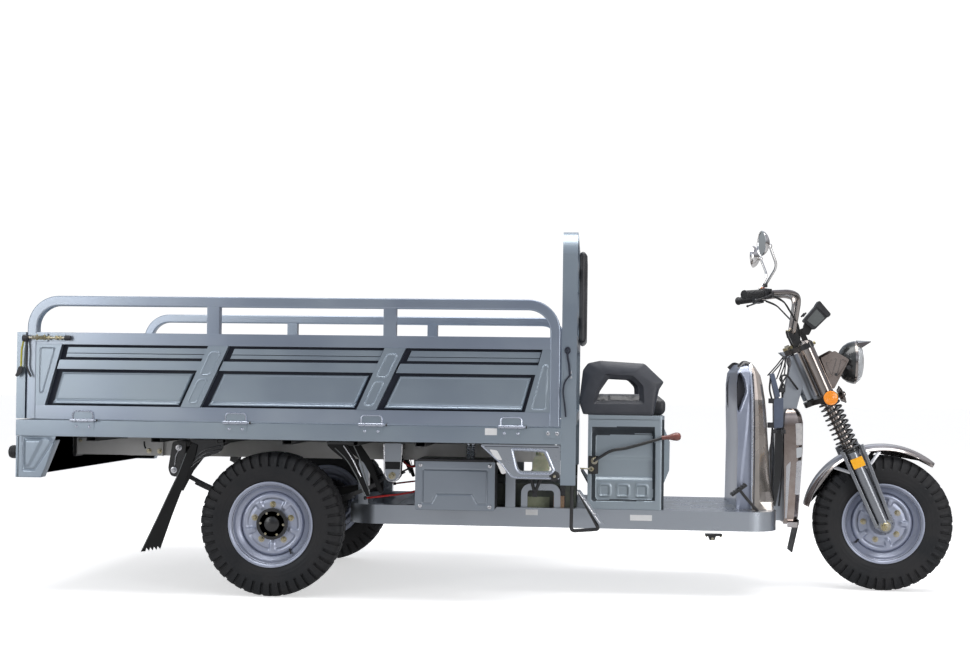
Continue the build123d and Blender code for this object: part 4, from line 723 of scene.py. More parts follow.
# %% [markdown]
# ## Clear plastic and mirror glass
#
# The headlight front and the mirrors are the only surfaces that are seen through or seen in.  The
# lens keeps a plain transmission value; the mirror is simply a very smooth metal.

# %% Lens and mirror
clear_lens = finish("clear_lens", (0.92, 0.94, 0.96), (0.85, 0.88, 0.9), (0.05, 0.12), 0.0, (50.0, 0.3),
                    (120.0, 0.2), Transmission_Weight=0.55, Coat_Weight=0.5)
mirror_glass = finish("mirror_glass", (0.85, 0.87, 0.88), (0.8, 0.82, 0.84), (0.02, 0.04), 1.0)

# %% [markdown]
# ## Floor plate
#
# The driver's feet rest on a sheet with small raised lozenges, in two directions, that shine where
# shoes have rubbed them.  A wave texture crossed with another gives the lozenges, and the same
# pattern drives the bump.

# %% Patterned floor plate
tread_plate = finish("tread_plate", (0.46, 0.49, 0.53), (0.34, 0.35, 0.35), (0.22, 0.40), 0.85, (9.0, 0.9),
                     (500.0, 0.1), dust=(0.25, (0.42, 0.40, 0.36)))
nodes = tread_plate.node_tree
where = nodes.nodes.new("ShaderNodeTexCoord")
waves = []
for angle in (0.6, -0.6):
    spin = put(nodes, "ShaderNodeMapping")
    spin.inputs["Rotation"].default_value[2] = angle
    join(nodes, where.outputs["Object"], spin.inputs["Vector"])
    wave = put(nodes, "ShaderNodeTexWave", in__Scale=22.0, in__Distortion=0.0)
    join(nodes, spin.outputs["Vector"], wave.inputs["Vector"])
    waves.append(wave.outputs["Fac"])
lozenge = map_to(nodes, times(nodes, waves[0], waves[1]), 0.45, 0.6)
press = put(nodes, "ShaderNodeBump", in__Strength=0.8, in__Distance=0.0015)
join(nodes, lozenge, press.inputs["Height"])
join(nodes, press.outputs["Normal"], nodes.nodes["Principled BSDF"].inputs["Normal"])

# %% [markdown]
# ## Reflections of the room
#
# The camera should see plain white behind the tricycle, but chrome that mirrors nothing but white
# looks like chalk.  The world therefore answers rays that come off shiny surfaces with a dim, warm
# band near the horizon, as the far side of a studio would be.

# %% A room that only reflections see
room = world.node_tree
light_path = room.nodes.new("ShaderNodeLightPath")
direction = room.nodes.new("ShaderNodeTexCoord")
split = room.nodes.new("ShaderNodeSeparateXYZ")
join(room, direction.outputs["Generated"], split.inputs[0])
ramp = room.nodes.new("ShaderNodeValToRGB")
stops = [(0.0, (0.30, 0.30, 0.31)), (0.44, (0.26, 0.25, 0.25)), (0.485, (0.12, 0.10, 0.09)),
         (0.54, (0.19, 0.19, 0.20)), (0.60, (0.28, 0.30, 0.34)), (0.72, (0.58, 0.61, 0.68)),
         (0.84, (0.30, 0.32, 0.38)), (1.0, (1.0, 1.0, 1.0))]
while len(ramp.color_ramp.elements) < len(stops):
    ramp.color_ramp.elements.new(0.5)
for element, (spot, tone) in zip(ramp.color_ramp.elements, stops):
    element.position, element.color = spot, rgba(tone)
height = put(room, "ShaderNodeMapRange")
height.inputs["From Min"].default_value = -1.0
join(room, split.outputs["Z"], height.inputs["Value"])
join(room, height.outputs["Result"], ramp.inputs["Fac"])
across = put(room, "ShaderNodeMapRange")
across.inputs["From Min"].default_value, across.inputs["From Max"].default_value = -0.5, 0.5
join(room, split.outputs["X"], across.inputs["Value"])
sides = room.nodes.new("ShaderNodeValToRGB")
steps = [(0.04, (0.90, 0.94, 0.92)), (0.12, (0.66, 0.70, 0.70)), (0.20, (0.32, 0.34, 0.37)),
         (0.31, (0.40, 0.43, 0.47)), (0.45, (0.58, 0.60, 0.62)), (0.58, (0.95, 0.97, 1.0)),
         (0.70, (1.0, 1.0, 1.0)), (0.92, (0.60, 0.58, 0.57))]
while len(sides.color_ramp.elements) < len(steps):
    sides.color_ramp.elements.new(0.5)
for element, (spot, tone) in zip(sides.color_ramp.elements, steps):
    element.position, element.color = spot, rgba(tone)
join(room, across.outputs["Result"], sides.inputs["Fac"])
swing = put(room, "ShaderNodeVectorMath", operation="SCALE")
swing.inputs["Scale"].default_value = 1.6
join(room, sides.outputs["Color"], swing.inputs[0])
mirrored = put(room, "ShaderNodeVectorMath", operation="MULTIPLY")
join(room, ramp.outputs["Color"], mirrored.inputs[0])
join(room, swing.outputs[0], mirrored.inputs[1])
soft = (0.45, 0.45, 0.46, 1.0)
unseen = blend_colours(room, light_path.outputs["Is Glossy Ray"], soft, mirrored.outputs["Vector"])
shade = blend_colours(room, light_path.outputs["Is Camera Ray"], unseen, (1.0, 1.0, 1.0, 1.0))
join(room, shade, room.nodes["Background"].inputs["Color"])
room_light = put(room, "ShaderNodeMapRange")
room_light.inputs["To Min"].default_value, room_light.inputs["To Max"].default_value = 1.0, 1.05
join(room, light_path.outputs["Is Camera Ray"], room_light.inputs["Value"])
join(room, room_light.outputs["Result"], room.nodes["Background"].inputs["Strength"])
print("room ready")
# %% [markdown]
# ## Finishes for the solids
#
# The frame's own solids stay where their shape is already right: tubes, boxes, clamps and covers.
# They only need their finish.  Each solid is listed once, under the finish that covers most of it.

# %% Solids and their finishes
solid_finishes = {
    bed_paint: ["bed_frame", "bed_floor", "bed_fittings", "headboard_hoop", "headboard_panel",
                "rear_bumper",
                "side_gate_right", "side_gate_left", "tailgate", "tailgate_hinges"],
    silver_paint: ["lower_frame", "side_boxes", "seat_box", "side_guards", "head_frame",
                   "leg_shield_inner", "front_axle", "fork_legs"],
    gloss_silver: ["leg_shield_outer", "front_fairing"],
    beam_paint: ["main_beams"],
    tread_plate: ["platform_plate"],
    battery_case: ["battery_pack"],
    cream_plastic: ["fluid_bottle"],
    grey_plastic: ["armrests"],
    black_plastic: ["instrument", "hand_grips", "brake_controls", "tail_lamps"],
    vinyl: ["seat_cushion", "backrest_pad"],
    soft_rubber: ["buffers"],
    gloss_black: ["mudflaps", "headlight"],
    chrome: ["fork_tubes", "front_fender", "handlebar", "mirrors"],
    zinc: ["gate_fittings_right", "gate_fittings_left"],
    wheel_paint: ["rim_rear_right", "rim_rear_left", "rim_front", "hub_front"],
    black_steel: ["rear_axle", "drive_motor", "leaf_springs", "spring_hangers", "steering_stem", "steps",
                  "fork_springs", "hub_rear_right", "hub_rear_left"],
    tyre_rubber: ["tyre_rear_right", "tyre_rear_left", "tyre_front"],
    clear_lens: ["headlight_lens"],
    amber: ["turn_signals"],
}
covered = set()
for look, names in solid_finishes.items():
    for name in names:
        solid = frame["nodes"][name]
        covered.add(name)
        for holder in [solid, *solid.children_recursive]:
            if holder.type != "MESH":
                continue
            if not holder.material_slots:
                holder.data.materials.append(look)
            for slot in holder.material_slots:
                slot.material = look
print("solids without a finish:", sorted(set(frame["nodes"]) - covered))
# %% [markdown]
# ## Drop sides
#
# Each side gate is a bent square tube with three rails welded across it, and behind them a sheet
# pressed into long panels.  The dark lines that give the gate its look are real gaps: every rail,
# panel and rib stops a finger's width short of the next one, and behind them lies a near-black
# sheet whose colour is painted shade.
#
# One big grid with all those steps would need very fine rows.  Separate strips with true gaps
# give crisper shadows for a tenth of the faces, so the gate is laid out in bays between two
# slanted ribs, and each bay gets its own strips and its own pressed panel.

# %% Where the parts of a gate lie
HALF_BED = 700.0
GATE_LOW, GATE_HIGH = 687.5, 1027.0
HOOP_TOP = node_box("side_gate_right")[1][2]
GATE_REAR, GATE_FRONT = node_box("side_gate_right")[0][0] - AXLE_X, node_box("side_gate_right")[1][0] - AXLE_X
TUBE = 40.0


def slanted(low_reach, high_reach, low=740.0, high=976.0):
    """A leaning edge of a rib or gusset, as reach by height."""
    return lambda z: station(low_reach + (high_reach - low_reach) * (z - low) / (high - low))


ribs = [(slanted(-342, -237), slanted(-265, -157)), (slanted(349, 454), slanted(425, 536))]
rear_gusset, front_gusset = slanted(-887, -822), slanted(997, 1061)
bays = [(rear_gusset, ribs[0][0]), (ribs[0][1], ribs[1][0]), (ribs[1][1], front_gusset)]


def out_y(side, depth):
    """Y of a plane so deep behind the bed's outer face; side is -1 on the right."""
    return side * (HALF_BED - depth)


def between(side, outer, inner):
    """The two Y values of a plate, in rising order."""
    return sorted((out_y(side, outer), out_y(side, inner)))


def bay_strip(shape, bay, z, y, trims, look=0):
    """A strip across a bay, cut parallel to the ribs."""
    rear, front = bay
    outline = [(rear(z[0]) + trims[0], z[0]), (front(z[0]) - trims[1], z[0]),
               (front(z[1]) - trims[1], z[1]), (rear(z[1]) + trims[0], z[1])]
    return add_plate(shape, outline, y, look=look)


print("gate from", GATE_REAR, "to", GATE_FRONT)

# %% The bent hoop, its posts and the rails
def gate_frame(side):
    """Tube hoop, two posts and the top and bottom rails."""
    shape = Shape()
    y = out_y(side, TUBE / 2)
    ends = (station(GATE_REAR) + TUBE / 2, station(GATE_FRONT) - TUBE / 2)
    corners = [(ends[0], y, GATE_LOW), (ends[0], y, HOOP_TOP - TUBE / 2), (ends[1], y, HOOP_TOP - TUBE / 2),
               (ends[1], y, GATE_LOW)]
    path = []
    for middle_x, facing in ((ends[0] + 105, -1), (ends[1] - 105, 1)):
        arc = [(middle_x + facing * 105 * math.cos(turn), y,
                HOOP_TOP - TUBE / 2 - 105 + 105 * math.sin(turn))
               for turn in np.linspace(0, math.pi / 2, 13)]
        path += arc if facing < 0 else arc[::-1]
    path = [corners[0]] + path + [corners[3]]
    add_sweep(shape, path, section_box(TUBE, TUBE, 6), up=(0, 1, 0))
    for reach in (-218.5, 473.5):
        x = station(reach)
        add_box(shape, (x - 24.5, x + 24.5), between(side, 1, TUBE - 1),
                (GATE_HIGH - 2, HOOP_TOP - TUBE + 3))
    inside = (ends[0] + TUBE / 2 - 2, ends[1] - TUBE / 2 + 2)
    add_box(shape, inside, between(side, 0, TUBE), (980, GATE_HIGH))
    add_box(shape, inside, between(side, 0, TUBE), (GATE_LOW, 741))
    return shape


def gate_sheets(side):
    """Strips and pressed panels of the bays, with a near-black backing behind their gaps as painted shade."""
    shape = Shape()
    inside = (station(GATE_REAR) + TUBE - 3, station(GATE_FRONT) - TUBE + 3)
    add_box(shape, inside, between(side, 27, 30), (735, 985))
    # A near-black sheet in front of the backing: painted shade seen through the gaps.
    add_box(shape, inside, between(side, 25.5, 27), (738, 983), look=1)
    for bay in bays:
        bay_strip(shape, bay, (947.5, 970), between(side, 9, 27), (26, 3))
        bay_strip(shape, bay, (931, 945.5), between(side, 12, 27), (26, 3))
        bay_strip(shape, bay, (884, 920), between(side, 2, 27), (7, -2))
        rear, front = bay
        low, high = 748.0, 873.0
        edges = [(rear(low) + 27, low), (front(low) - 14, low), (front(high) - 14, high),
                 (rear(high) + 27, high)]
        corners = [(x, out_y(side, 15), z) for x, z in edges]

        def relief(x, z, edges=edges):
            """A light ridge round the panel and a shallow slope along its foot."""
            edge = distance_to(edges, x, z)
            return 4.0 * bead(edge + 4, 4.5) + 5.0 * step_in(z - 763, 6) - 3 * bead(z - 763, 4)

        add_pressed(shape, corners, (110, 44), relief, 8.0, (0, side, 0))
    return shape


gates = {}
for side, word in ((-1, "right"), (1, "left")):
    body = f"side_gate_{word}"
    frame_piece = finish_piece(f"gate_tube_{word}", gate_frame(side), [rail_paint], body, bevel=2.5,
                               segments=2, replaces=[body])
    sheet_piece = finish_piece(f"gate_sheets_{word}", gate_sheets(side), [bed_paint, dark_navy_and_painted_shade], body,
                               bevel=1.2, segments=2)
    gates[word] = (frame_piece, sheet_piece)
print("gate pieces", [len(piece.data.polygons) for pair in gates.values() for piece in pair])

# %% [markdown]
# ## Ribs and gussets
#
# The ribs are folded from sheet with two slots pressed into each, like the bars of a ladder, and
# the gussets at the ends carry a pressed outline of their own shape.  A pressed outline is a bead,
# so it is drawn by distance from a closed line.

# %% Pressed ribs and end gussets
def pressed_plate(shape, side, edges, beads, depth, thickness, counts, width=3.2, rise=2.2):
    """A four-edged plate with raised beads along closed outlines."""
    def relief(x, z):
        total = np.zeros(x.shape)
        for outline in beads:
            total = np.maximum(total, rise * bead(distance_to(outline, x, z), width))
        return total
    corners = [(x, out_y(side, depth), z) for x, z in edges]
    return add_pressed(shape, corners, counts, relief, thickness, (0, side, 0))


def slot_outline(rear, front, low, high, half_width, shift):
    """A slot that leans with its rib."""
    centre = lambda z: (rear(z) + front(z)) / 2 + shift
    box = [(centre(low) - half_width, low), (centre(low) + half_width, low),
           (centre(high) + half_width, high), (centre(high) - half_width, high)]
    return smooth_corners(box, 12, 5)


def ribs_and_gussets(side):
    """The two leaning ribs and the plates at the gate's ends."""
    shape = Shape()
    low, high = 741.0, 980.0
    for rear, front in ribs:
        edges = [(rear(low), low), (front(low), low), (front(high), high), (rear(high), high)]
        slots = [slot_outline(rear, front, 867, 956, 19, 1), slot_outline(rear, front, 758, 849, 17, 1)]
        pressed_plate(shape, side, edges, slots, -3, 27, (46, 110))
    rear_edges = [(station(-924), low), (rear_gusset(low), low), (rear_gusset(high), high),
                  (station(-924), high)]
    rear_bead = [(-907, 793), (-895, 793), (-849, 966), (-907, 966)]
    front_edges = [(front_gusset(low), low), (station(1092), low), (station(1092), high),
                   (front_gusset(high), high)]
    front_bead = [(1022, 752), (1075, 752), (1083, 920), (1066, 920)]
    for edges, mark in ((rear_edges, rear_bead), (front_edges, front_bead)):
        outline = smooth_corners([(station(a), z) for a, z in mark], 8, 4)
        pressed_plate(shape, side, edges, [outline], 0, 24, (60, 110))
    return shape


for side, word in ((-1, "right"), (1, "left")):
    finish_piece(f"gate_ribs_{word}", ribs_and_gussets(side), [bed_paint], f"side_gate_{word}")
print("ribs ready")

# %% [markdown]
# ## Hinges
#
# Four loose-pin hinges carry each gate.  The leaf on the gate is pressed with a bead like a
# drawer handle; the one on the bed is flat, with two rivets; between them is a barrel of three
# knuckles with a pin whose bent end sticks out at the front.

# %% Hinge leaves, knuckles and pins
HINGE_REACHES = (-730.0, -122.0, 409.0, 946.0)
PIN_OUT, PIN_Z = 12.0, 684.5


def hinge_on_gate(shape, place):
    """Leaf and middle knuckle of one hinge; place turns (along, out, up) into a point."""
    leaf = smooth_corners([(-41, 691), (41, 691), (41, 721), (-41, 721)], 10, 5)
    start = len(shape.points)
    add_plate(shape, leaf, (0.0, 2.5))
    ridge = [(-40, 3.2, 690), (-40, 3.2, 712), (-32, 3.2, 720), (32, 3.2, 720), (40, 3.2, 712),
             (40, 3.2, 690)]
    add_sweep(shape, curve_points(ridge, 7, 4), section_circle(3.4, 8), up=(0, 1, 0), look=1)
    add_lathe(shape, [(6.6, 0), (7.2, 1), (7.2, 46), (6.6, 47)], (-23.5, PIN_OUT, PIN_Z), (1, 0, 0), 14,
              look=1)
    add_box(shape, (-23, 23), (0, PIN_OUT), (686, 689.5))
    shape.points[start:] = [place(*point) for point in shape.points[start:]]


def hinge_on_bed(shape, place):
    """Leaf, outer knuckles, pin and rivets."""
    leaf = smooth_corners([(-44, 649), (44, 649), (44, 678), (-44, 678)], 5, 4)
    start = len(shape.points)
    add_plate(shape, leaf, (0.0, 2.5))
    for low, high in ((-48, -24.5), (24.5, 48)):
        length = high - low
        add_lathe(shape, [(6.6, 0), (7.2, 1), (7.2, length - 1), (6.6, length)], (low, PIN_OUT, PIN_Z),
                  (1, 0, 0),
                  14, look=1)
        add_box(shape, (low + 1, high - 1), (0, PIN_OUT), (677.5, 681))
    add_rod(shape, (-50, PIN_OUT, PIN_Z), (60, PIN_OUT, PIN_Z), 3.0, 10, look=1)
    add_lathe(shape, [(4.6, 0), (5.4, 1), (5.4, 4), (4.6, 5)], (56, PIN_OUT, PIN_Z), (1, 0, 0), 12, look=2)
    for x in (-26, 26):
        dome = [(6.5, 2.4), (6.2, 3.8), (4.6, 5.2), (2.2, 6.0), (0.3, 6.2)]
        add_lathe(shape, dome, (x, 0, 660), (0, 1, 0), 16, look=1)
    shape.points[start:] = [place(*point) for point in shape.points[start:]]


def on_side(side, reach):
    """Places a point on the outer face of a side."""
    return lambda along, out, up: (station(reach) + along, side * (HALF_BED + out), up)


def on_tail(across):
    """Places a point on the rear face of the bed."""
    rear = AXLE_X - 1002.0
    return lambda along, out, up: (rear - out * 10 / PIN_OUT, across - along, up)


looks = [bed_paint, hinge_steel, black_steel]
fixed = Shape()
for side, word in ((-1, "right"), (1, "left")):
    moving = Shape()
    for reach in HINGE_REACHES:
        hinge_on_gate(moving, on_side(side, reach))
        hinge_on_bed(fixed, on_side(side, reach))
    finish_piece(f"gate_hinges_{word}", moving, looks, f"side_gate_{word}", bevel=0.5,
                 replaces=[f"gate_fittings_{word}"])
tail = Shape()
for across in (-450, 0, 450):
    hinge_on_gate(tail, on_tail(across))
    hinge_on_bed(fixed, on_tail(across))
finish_piece("tailgate_hinge_leaves", tail, looks, "tailgate", bevel=0.5, replaces=["tailgate_hinges"])
finish_piece("bed_hinge_leaves", fixed, looks, "chassis", bevel=0.5, replaces=["bed_fittings"])
print("hinges ready")
# %% [markdown]
# ## Parked steering
#
# The front wheel and everything above it stand turned a few degrees to the right.  It is easiest
# to draw those pieces straight ahead, in line with the fork, and to turn the finished points about
# the steering axis.  The joint itself says where that axis is.

# %% Fork coordinates and the parked turn
RAKE = math.radians(24)
FRONT_AXLE = np.array((AXLE_X + 2478.0, 0.0, 285.2))
PARKED = math.radians(-5)
UP_FORK = np.array((-math.sin(RAKE), 0.0, math.cos(RAKE)))
AHEAD_FORK = np.array((math.cos(RAKE), 0.0, math.sin(RAKE)))
PIVOT = FRONT_AXLE - 66.0 * AHEAD_FORK


def fork(up, ahead=0.0, y=0.0):
    """A point so far up the line of the fork's leg, and so far ahead of it."""
    return FRONT_AXLE + up * UP_FORK + ahead * AHEAD_FORK + np.array((0.0, y, 0.0))


def park(shape):
    """Turn a shape with the parked steering."""
    points = np.array(shape.points) - PIVOT
    axis = UP_FORK
    across = np.cross(axis, points)
    along = points @ axis
    turned = (points * math.cos(PARKED) + across * math.sin(PARKED)
              + np.outer(along, axis) * (1 - math.cos(PARKED)))
    shape.points = [tuple(point) for point in turned + PIVOT]
    return shape


print("pivot", PIVOT.round(1))

# %% [markdown]
# ## Tyres
#
# A ribbed ring with a plain bump map would look smooth along its outline, and the outline is where
# one sees the tread.  So the blocks are real: the tyre's section is spun in small steps, and at
# each step the points of the shoulder sink into the gap between two blocks.  The steps are uneven,
# close together at a block's edges, which keeps the edges sharp.

# %% A section spun with changes
def add_spun(shape, section, centre, axis, turns, change, look=0):
    """Spin a closed section of (radius, along) points; change(turn, section) gives it at a turn."""
    centre, axis = np.asarray(centre, float), np.asarray(axis, float)
    up = np.array((0.0, 0.0, 1.0)) if abs(axis[2]) < 0.9 else np.array((1.0, 0.0, 0.0))
    ahead = np.array((1.0, 0.0, 0.0))
    points = []
    for turn in turns:
        for radius, along in change(turn, section):
            points.append(centre + axis * along + radius * (ahead * math.cos(turn) + up * math.sin(turn)))
    return shape.add(points, ring_faces(len(turns), len(section), closed_loop=True), look)


BLOCKS = 44
outer_half = [(153.5, 50), (170, 54), (176, 57.5), (185, 60), (188, 60.8), (191, 61.2), (196, 61),
              (199, 62.4),
              (202, 62.2), (212, 63.6), (219, 64.4), (226, 65), (231, 65), (236, 64.8), (244, 64), (252,
                      63),
              (260, 61.5), (267, 59), (273, 55.5), (278, 51), (281, 46), (282.5, 41), (283.2, 35), (283.5,
                      31),
              (283.6, 27.5), (283.8, 24), (284, 18), (284, 13.5), (284, 10), (284, 6.5), (284, 0)]
tyre_section = np.array([(r, -w) for r, w in outer_half] + [(r, w) for r, w in outer_half[-2::-1]])
run = np.gradient(tyre_section, axis=0)
tyre_normal = np.stack((-run[:, 1], run[:, 0]), axis=1) / np.linalg.norm(run, axis=1)[:, None]
if tyre_normal[len(tyre_normal) // 2][0] < 0:
    tyre_normal = -tyre_normal
block_steps = [0.0, 0.035, 0.31, 0.345, 0.50, 0.58, 0.74, 0.82]
tyre_turns = [2 * math.pi * (block + step) / BLOCKS for block in range(BLOCKS) for step in block_steps]


def tread(turn, section):
    """Sink the tyre's skin between its blocks and along two wavy grooves."""
    phase = (turn * BLOCKS / (2 * math.pi)) % 1.0
    radius, across = section[:, 0], np.abs(section[:, 1])
    gap = 1.0 if 0.03 < phase < 0.32 else 0.0
    shoulder = np.clip((radius - 229) / 6, 0, 1) * np.clip((across - 33) / 3, 0, 1)
    sway = 4.0 * abs(((turn * BLOCKS / (4 * math.pi)) % 1.0) * 2 - 1)
    wavy = np.clip(1.2 - np.abs(across - 26 - sway * 0.4) / 4.0, 0, 1) * (radius > 280)
    centre = np.clip(1.0 - np.abs(across - 10) / 4.0, 0, 1) * (radius > 280)
    slit = 0.5 * gap * np.clip((24 - across) / 3, 0, 1) * np.clip((across - 12) / 2, 0, 1) * (radius > 280)
    dimple = 0.22 * (0.57 < phase < 0.75) * np.clip(1 - np.abs(radius - 252) / 9, 0, 1)
    sink = np.maximum.reduce([gap * shoulder, 0.9 * wavy, 0.7 * centre, slit, dimple * shoulder])
    return section - tyre_normal * (9.0 * sink)[:, None]


wheels = {"rear_right": (middle("tyre_rear_right"), np.array((0.0, -1.0, 0.0)), 0.0),
          "rear_left": (middle("tyre_rear_left"), np.array((0.0, 1.0, 0.0)), 0.0),
          "front": (FRONT_AXLE, np.array((0.0, -1.0, 0.0)), math.radians(-56))}
wheel_bodies = {"rear_right": "rear_wheel_right", "rear_left": "rear_wheel_left", "front": "front_wheel"}
for word, (centre, outward, start) in wheels.items():
    shape = add_spun(Shape(), tyre_section, centre, outward, tyre_turns, tread)
    if word == "front":
        park(shape)
    finish_piece(f"tyre_blocks_{word}", shape, [tyre_rubber], wheel_bodies[word], crease=40,
                 replaces=[f"tyre_{word}"])
print("tyre points", len(tyre_turns) * len(tyre_section))

# %% [markdown]
# ## Rims, hubs and nuts
#
# The wheel is a pressed steel disc welded into a rolled rim.  The disc has five flat pockets for
# the nuts, with a raised rib between each pair, so its section changes with the turn just as the
# tyre's does.  A black cap covers the rear hubs; the front one shows its axle.

# %% Rims with pressed discs
rim_section = np.array(
    [(151.5, -58), (167, -58), (169, -56), (168, -53), (155, -50), (153, -46), (150, -22), (130, -18),
     (130, 12),
     (149, 24), (153, 46), (155, 50.5), (165.5, 53.5), (169, 55.5), (168.5, 58.5), (165, 59.5), (161, 58),
     (156, 50), (152.5, 47.5), (150, 45), (148, 34), (145, 29), (132, 22), (127.5, 17), (126, 7), (126,
             -14),
     (146, -20), (149, -48)])
disc_front = [(127, 9), (124, 13), (121.5, 18), (117.5, 21.5), (112, 22.5), (106, 21.5), (101, 18.5),
              (97, 16.5),
              (92, 16), (86, 16), (80, 16), (74, 16), (68, 16), (62, 16), (56, 17), (50, 18), (42, 18)]
disc_section = np.array(disc_front + [(radius, along - 4) for radius, along in disc_front[::-1]])
rim_turns = list(np.linspace(0, 2 * math.pi, 90, endpoint=False))
disc_turns = list(np.linspace(0, 2 * math.pi, 150, endpoint=False))


def pockets(first):
    """Five pockets, the first of them centred on a turn, with raised ribs between."""
    def change(turn, section):
        phase = ((turn - first) * 5 / (2 * math.pi) + 0.5) % 1.0 - 0.5
        rib = np.clip((abs(phase) - 0.36) / 0.08, 0, 1)
        rib = rib * rib * (3 - 2 * rib)
        radius = section[:, 0]
        reach = np.clip((radius - 66) / 14, 0, 1) * np.clip((106 - radius) / 8, 0, 1)
        ditch = (1 - rib) * np.clip(1 - np.abs(radius - 96) / 9, 0, 1)
        moved = section.copy()
        moved[:, 1] += 7.0 * rib * reach - 3.5 * ditch
        return moved
    return change


def add_hex(shape, base, axis, radius, height, look):
    """A six-sided nut with a chamfered face and the end of its stud."""
    profile = [(radius, 0), (radius, height * 0.8), (radius * 0.86, height)]
    add_lathe(shape, profile, base, axis, 6, look)
    add_rod(shape, np.asarray(base) + np.asarray(axis) * height * 0.9,
            np.asarray(base) + np.asarray(axis) * height * 1.5,
            radius * 0.5, 12, look)


def wheel_spot(centre, outward, radius, turn, along):
    """A point on a wheel's face."""
    return centre + outward * along + radius * np.array((math.cos(turn), 0.0, math.sin(turn)))


for word, (centre, outward, start) in wheels.items():
    shape = Shape()
    first = math.radians(90) + start
    add_spun(shape, rim_section, centre, outward, rim_turns, lambda turn, section: section)
    add_spun(shape, disc_section, centre, outward, disc_turns, pockets(first))
    for number in range(5):
        turn = first + number * math.radians(72)
        add_hex(shape, wheel_spot(centre, outward, 76, turn, 15), outward, 9.5, 9, 1)
        add_lathe(shape, [(13, 0), (13, 1.6), (9, 2.2)], wheel_spot(centre, outward, 76, turn, 15.5),
                  outward, 18, look=1)
    valve_turn = math.radians(-55 if word != "front" else -142)
    add_rod(shape, wheel_spot(centre, outward, 120, valve_turn, 18),
            wheel_spot(centre, outward, 138, valve_turn, 38),
            3.6, 10, 2)
    if word == "front":
        add_lathe(shape, [(54, 16), (56, 18), (56, 24), (52, 26), (30, 26)], centre, outward, 48, 0)
    else:
        cap = [(62, 12), (62, 28), (59, 31), (50, 32), (31, 32), (29, 36), (20, 40), (0.5, 41)]
        add_lathe(shape, cap, centre, outward, 48, 2)
        for number in range(6):
            turn = math.radians(60 * number - 3)
            add_hex(shape, wheel_spot(centre, outward, 46, turn, 31), outward, 5.5, 4, 1)
    if word == "front":
        park(shape)
    finish_piece(f"rim_pressed_{word}", shape, [wheel_paint, zinc, black_steel], wheel_bodies[word],
                 replaces=[f"rim_{word}"], crease=38)
print("rims ready")
# %% [markdown]
# ## The fork
#
# The front wheel hangs in a pair of telescopic legs: a chromed upper tube, a coil spring over a
# thin rod, and a painted lower leg with a folded guard on each side.  The springs are the one
# place where a stack of rings would betray itself, so each is a real helix swept with a round
# wire.  Everything is drawn straight ahead and then turned with the steering.

# %% Tubes, springs and lower legs
LEG_Y = 105.0
SPRING_LOW, SPRING_HIGH = 346.0, 566.0
TUBE_TOP = 800.0


def helix(centre_y, turns=9.5, radius=34.5, per_turn=22):
    """Points of a coil round the fork's line."""
    count = int(turns * per_turn)
    points = []
    for step in range(count + 1):
        share = step / count
        angle = 2 * math.pi * turns * share
        up = SPRING_LOW + 5 + (SPRING_HIGH - SPRING_LOW - 10) * share
        centre = fork(up, 0, centre_y)
        points.append(centre + radius * (AHEAD_FORK * math.cos(angle) + np.array((0, 1,
                0)) * math.sin(angle)))
    return points


tubes, springs, legs = Shape(), Shape(), Shape()
for y in (-LEG_Y, LEG_Y):
    add_rod(tubes, fork(588, 0, y), fork(TUBE_TOP + 22, 0, y), 30, 48)
    cap = [(30, 822), (30, 826), (25, 829), (24, 832), (13, 832), (12, 836), (0.5, 836)]
    add_lathe(tubes, cap, fork(0, 0, y), UP_FORK, 48)
    add_rod(tubes, fork(SPRING_LOW - 2, 0, y), fork(SPRING_HIGH + 2, 0, y), 16, 32)
    add_sweep(springs, helix(y), section_circle(4.6, 8))
    for low, high, radius in ((SPRING_LOW - 1, SPRING_LOW + 6, 40), (SPRING_HIGH - 6, SPRING_HIGH + 1, 40),
                              (SPRING_LOW - 14, SPRING_LOW - 1, 34)):
        add_rod(springs, fork(low, 0, y), fork(high, 0, y), radius, 40)
    leg = [(20, -6), (26, 0), (27, 6), (27, 326), (29, 330), (29, 338), (24, 340), (17, 340)]
    add_lathe(legs, leg, fork(0, 0, y), UP_FORK, 44)
    side = math.copysign(1, y)
    for top, foot in (((350, -38), (4, -34)), ((346, 46), (4, 30))):
        path = [fork(top[0], top[1], y + side * 6), fork(foot[0], foot[1], y + side * 10)]
        add_sweep(legs, path, section_box(15, 24, 3), up=(0, 1, 0))
    web = [fork(up, ahead) for up, ahead in ((346, -38), (346, 44), (0, 30), (0, -34))]
    add_plate(legs, [(p[0], p[2]) for p in web], sorted((side * 76, side * 80)))
    lug = [(27, 0), (29, 2), (29, 24), (27, 26)]
    add_lathe(legs, lug, fork(0, 0, side * 101), (0, side, 0), 36)
    washer = [(21, 26), (21, 29), (12, 29)]
    add_lathe(legs, washer, fork(0, 0, side * 101), (0, side, 0), 32, look=1)
    add_hex(legs, fork(0, 0, side * 129), np.array((0.0, side, 0.0)), 16.5, 12, 1)
finish_piece("fork_tubes_chromed", park(tubes), [tube_chrome], "steering", bevel=0.8,
             replaces=["fork_tubes"])
finish_piece("fork_coils", park(springs), [gloss_black], "steering", replaces=["fork_springs"],
             crease=50)
finish_piece("fork_lower_legs", park(legs), [leg_silver, zinc], "steering", bevel=1.0,
             replaces=["fork_legs", "front_axle"])
print("fork legs ready")

# %% [markdown]
# ## Clamps, side lamps and reflectors
#
# Two black clamps hold the tubes.  The lower one carries a round amber lamp on each side and the
# horn in front; an orange reflector sits on each lower leg.  The lamps are turned parts with a
# ribbed lens.

# %% Clamp plates with their bolts
def clamp_outline():
    """Outline of a fork clamp, as distance ahead and across."""
    half = [(-98, 34), (-64, 48), (-30, 130), (-12, 139), (20, 139), (31, 128), (33, 80), (20, 40)]
    return half + [(ahead, -across) for ahead, across in reversed(half)]


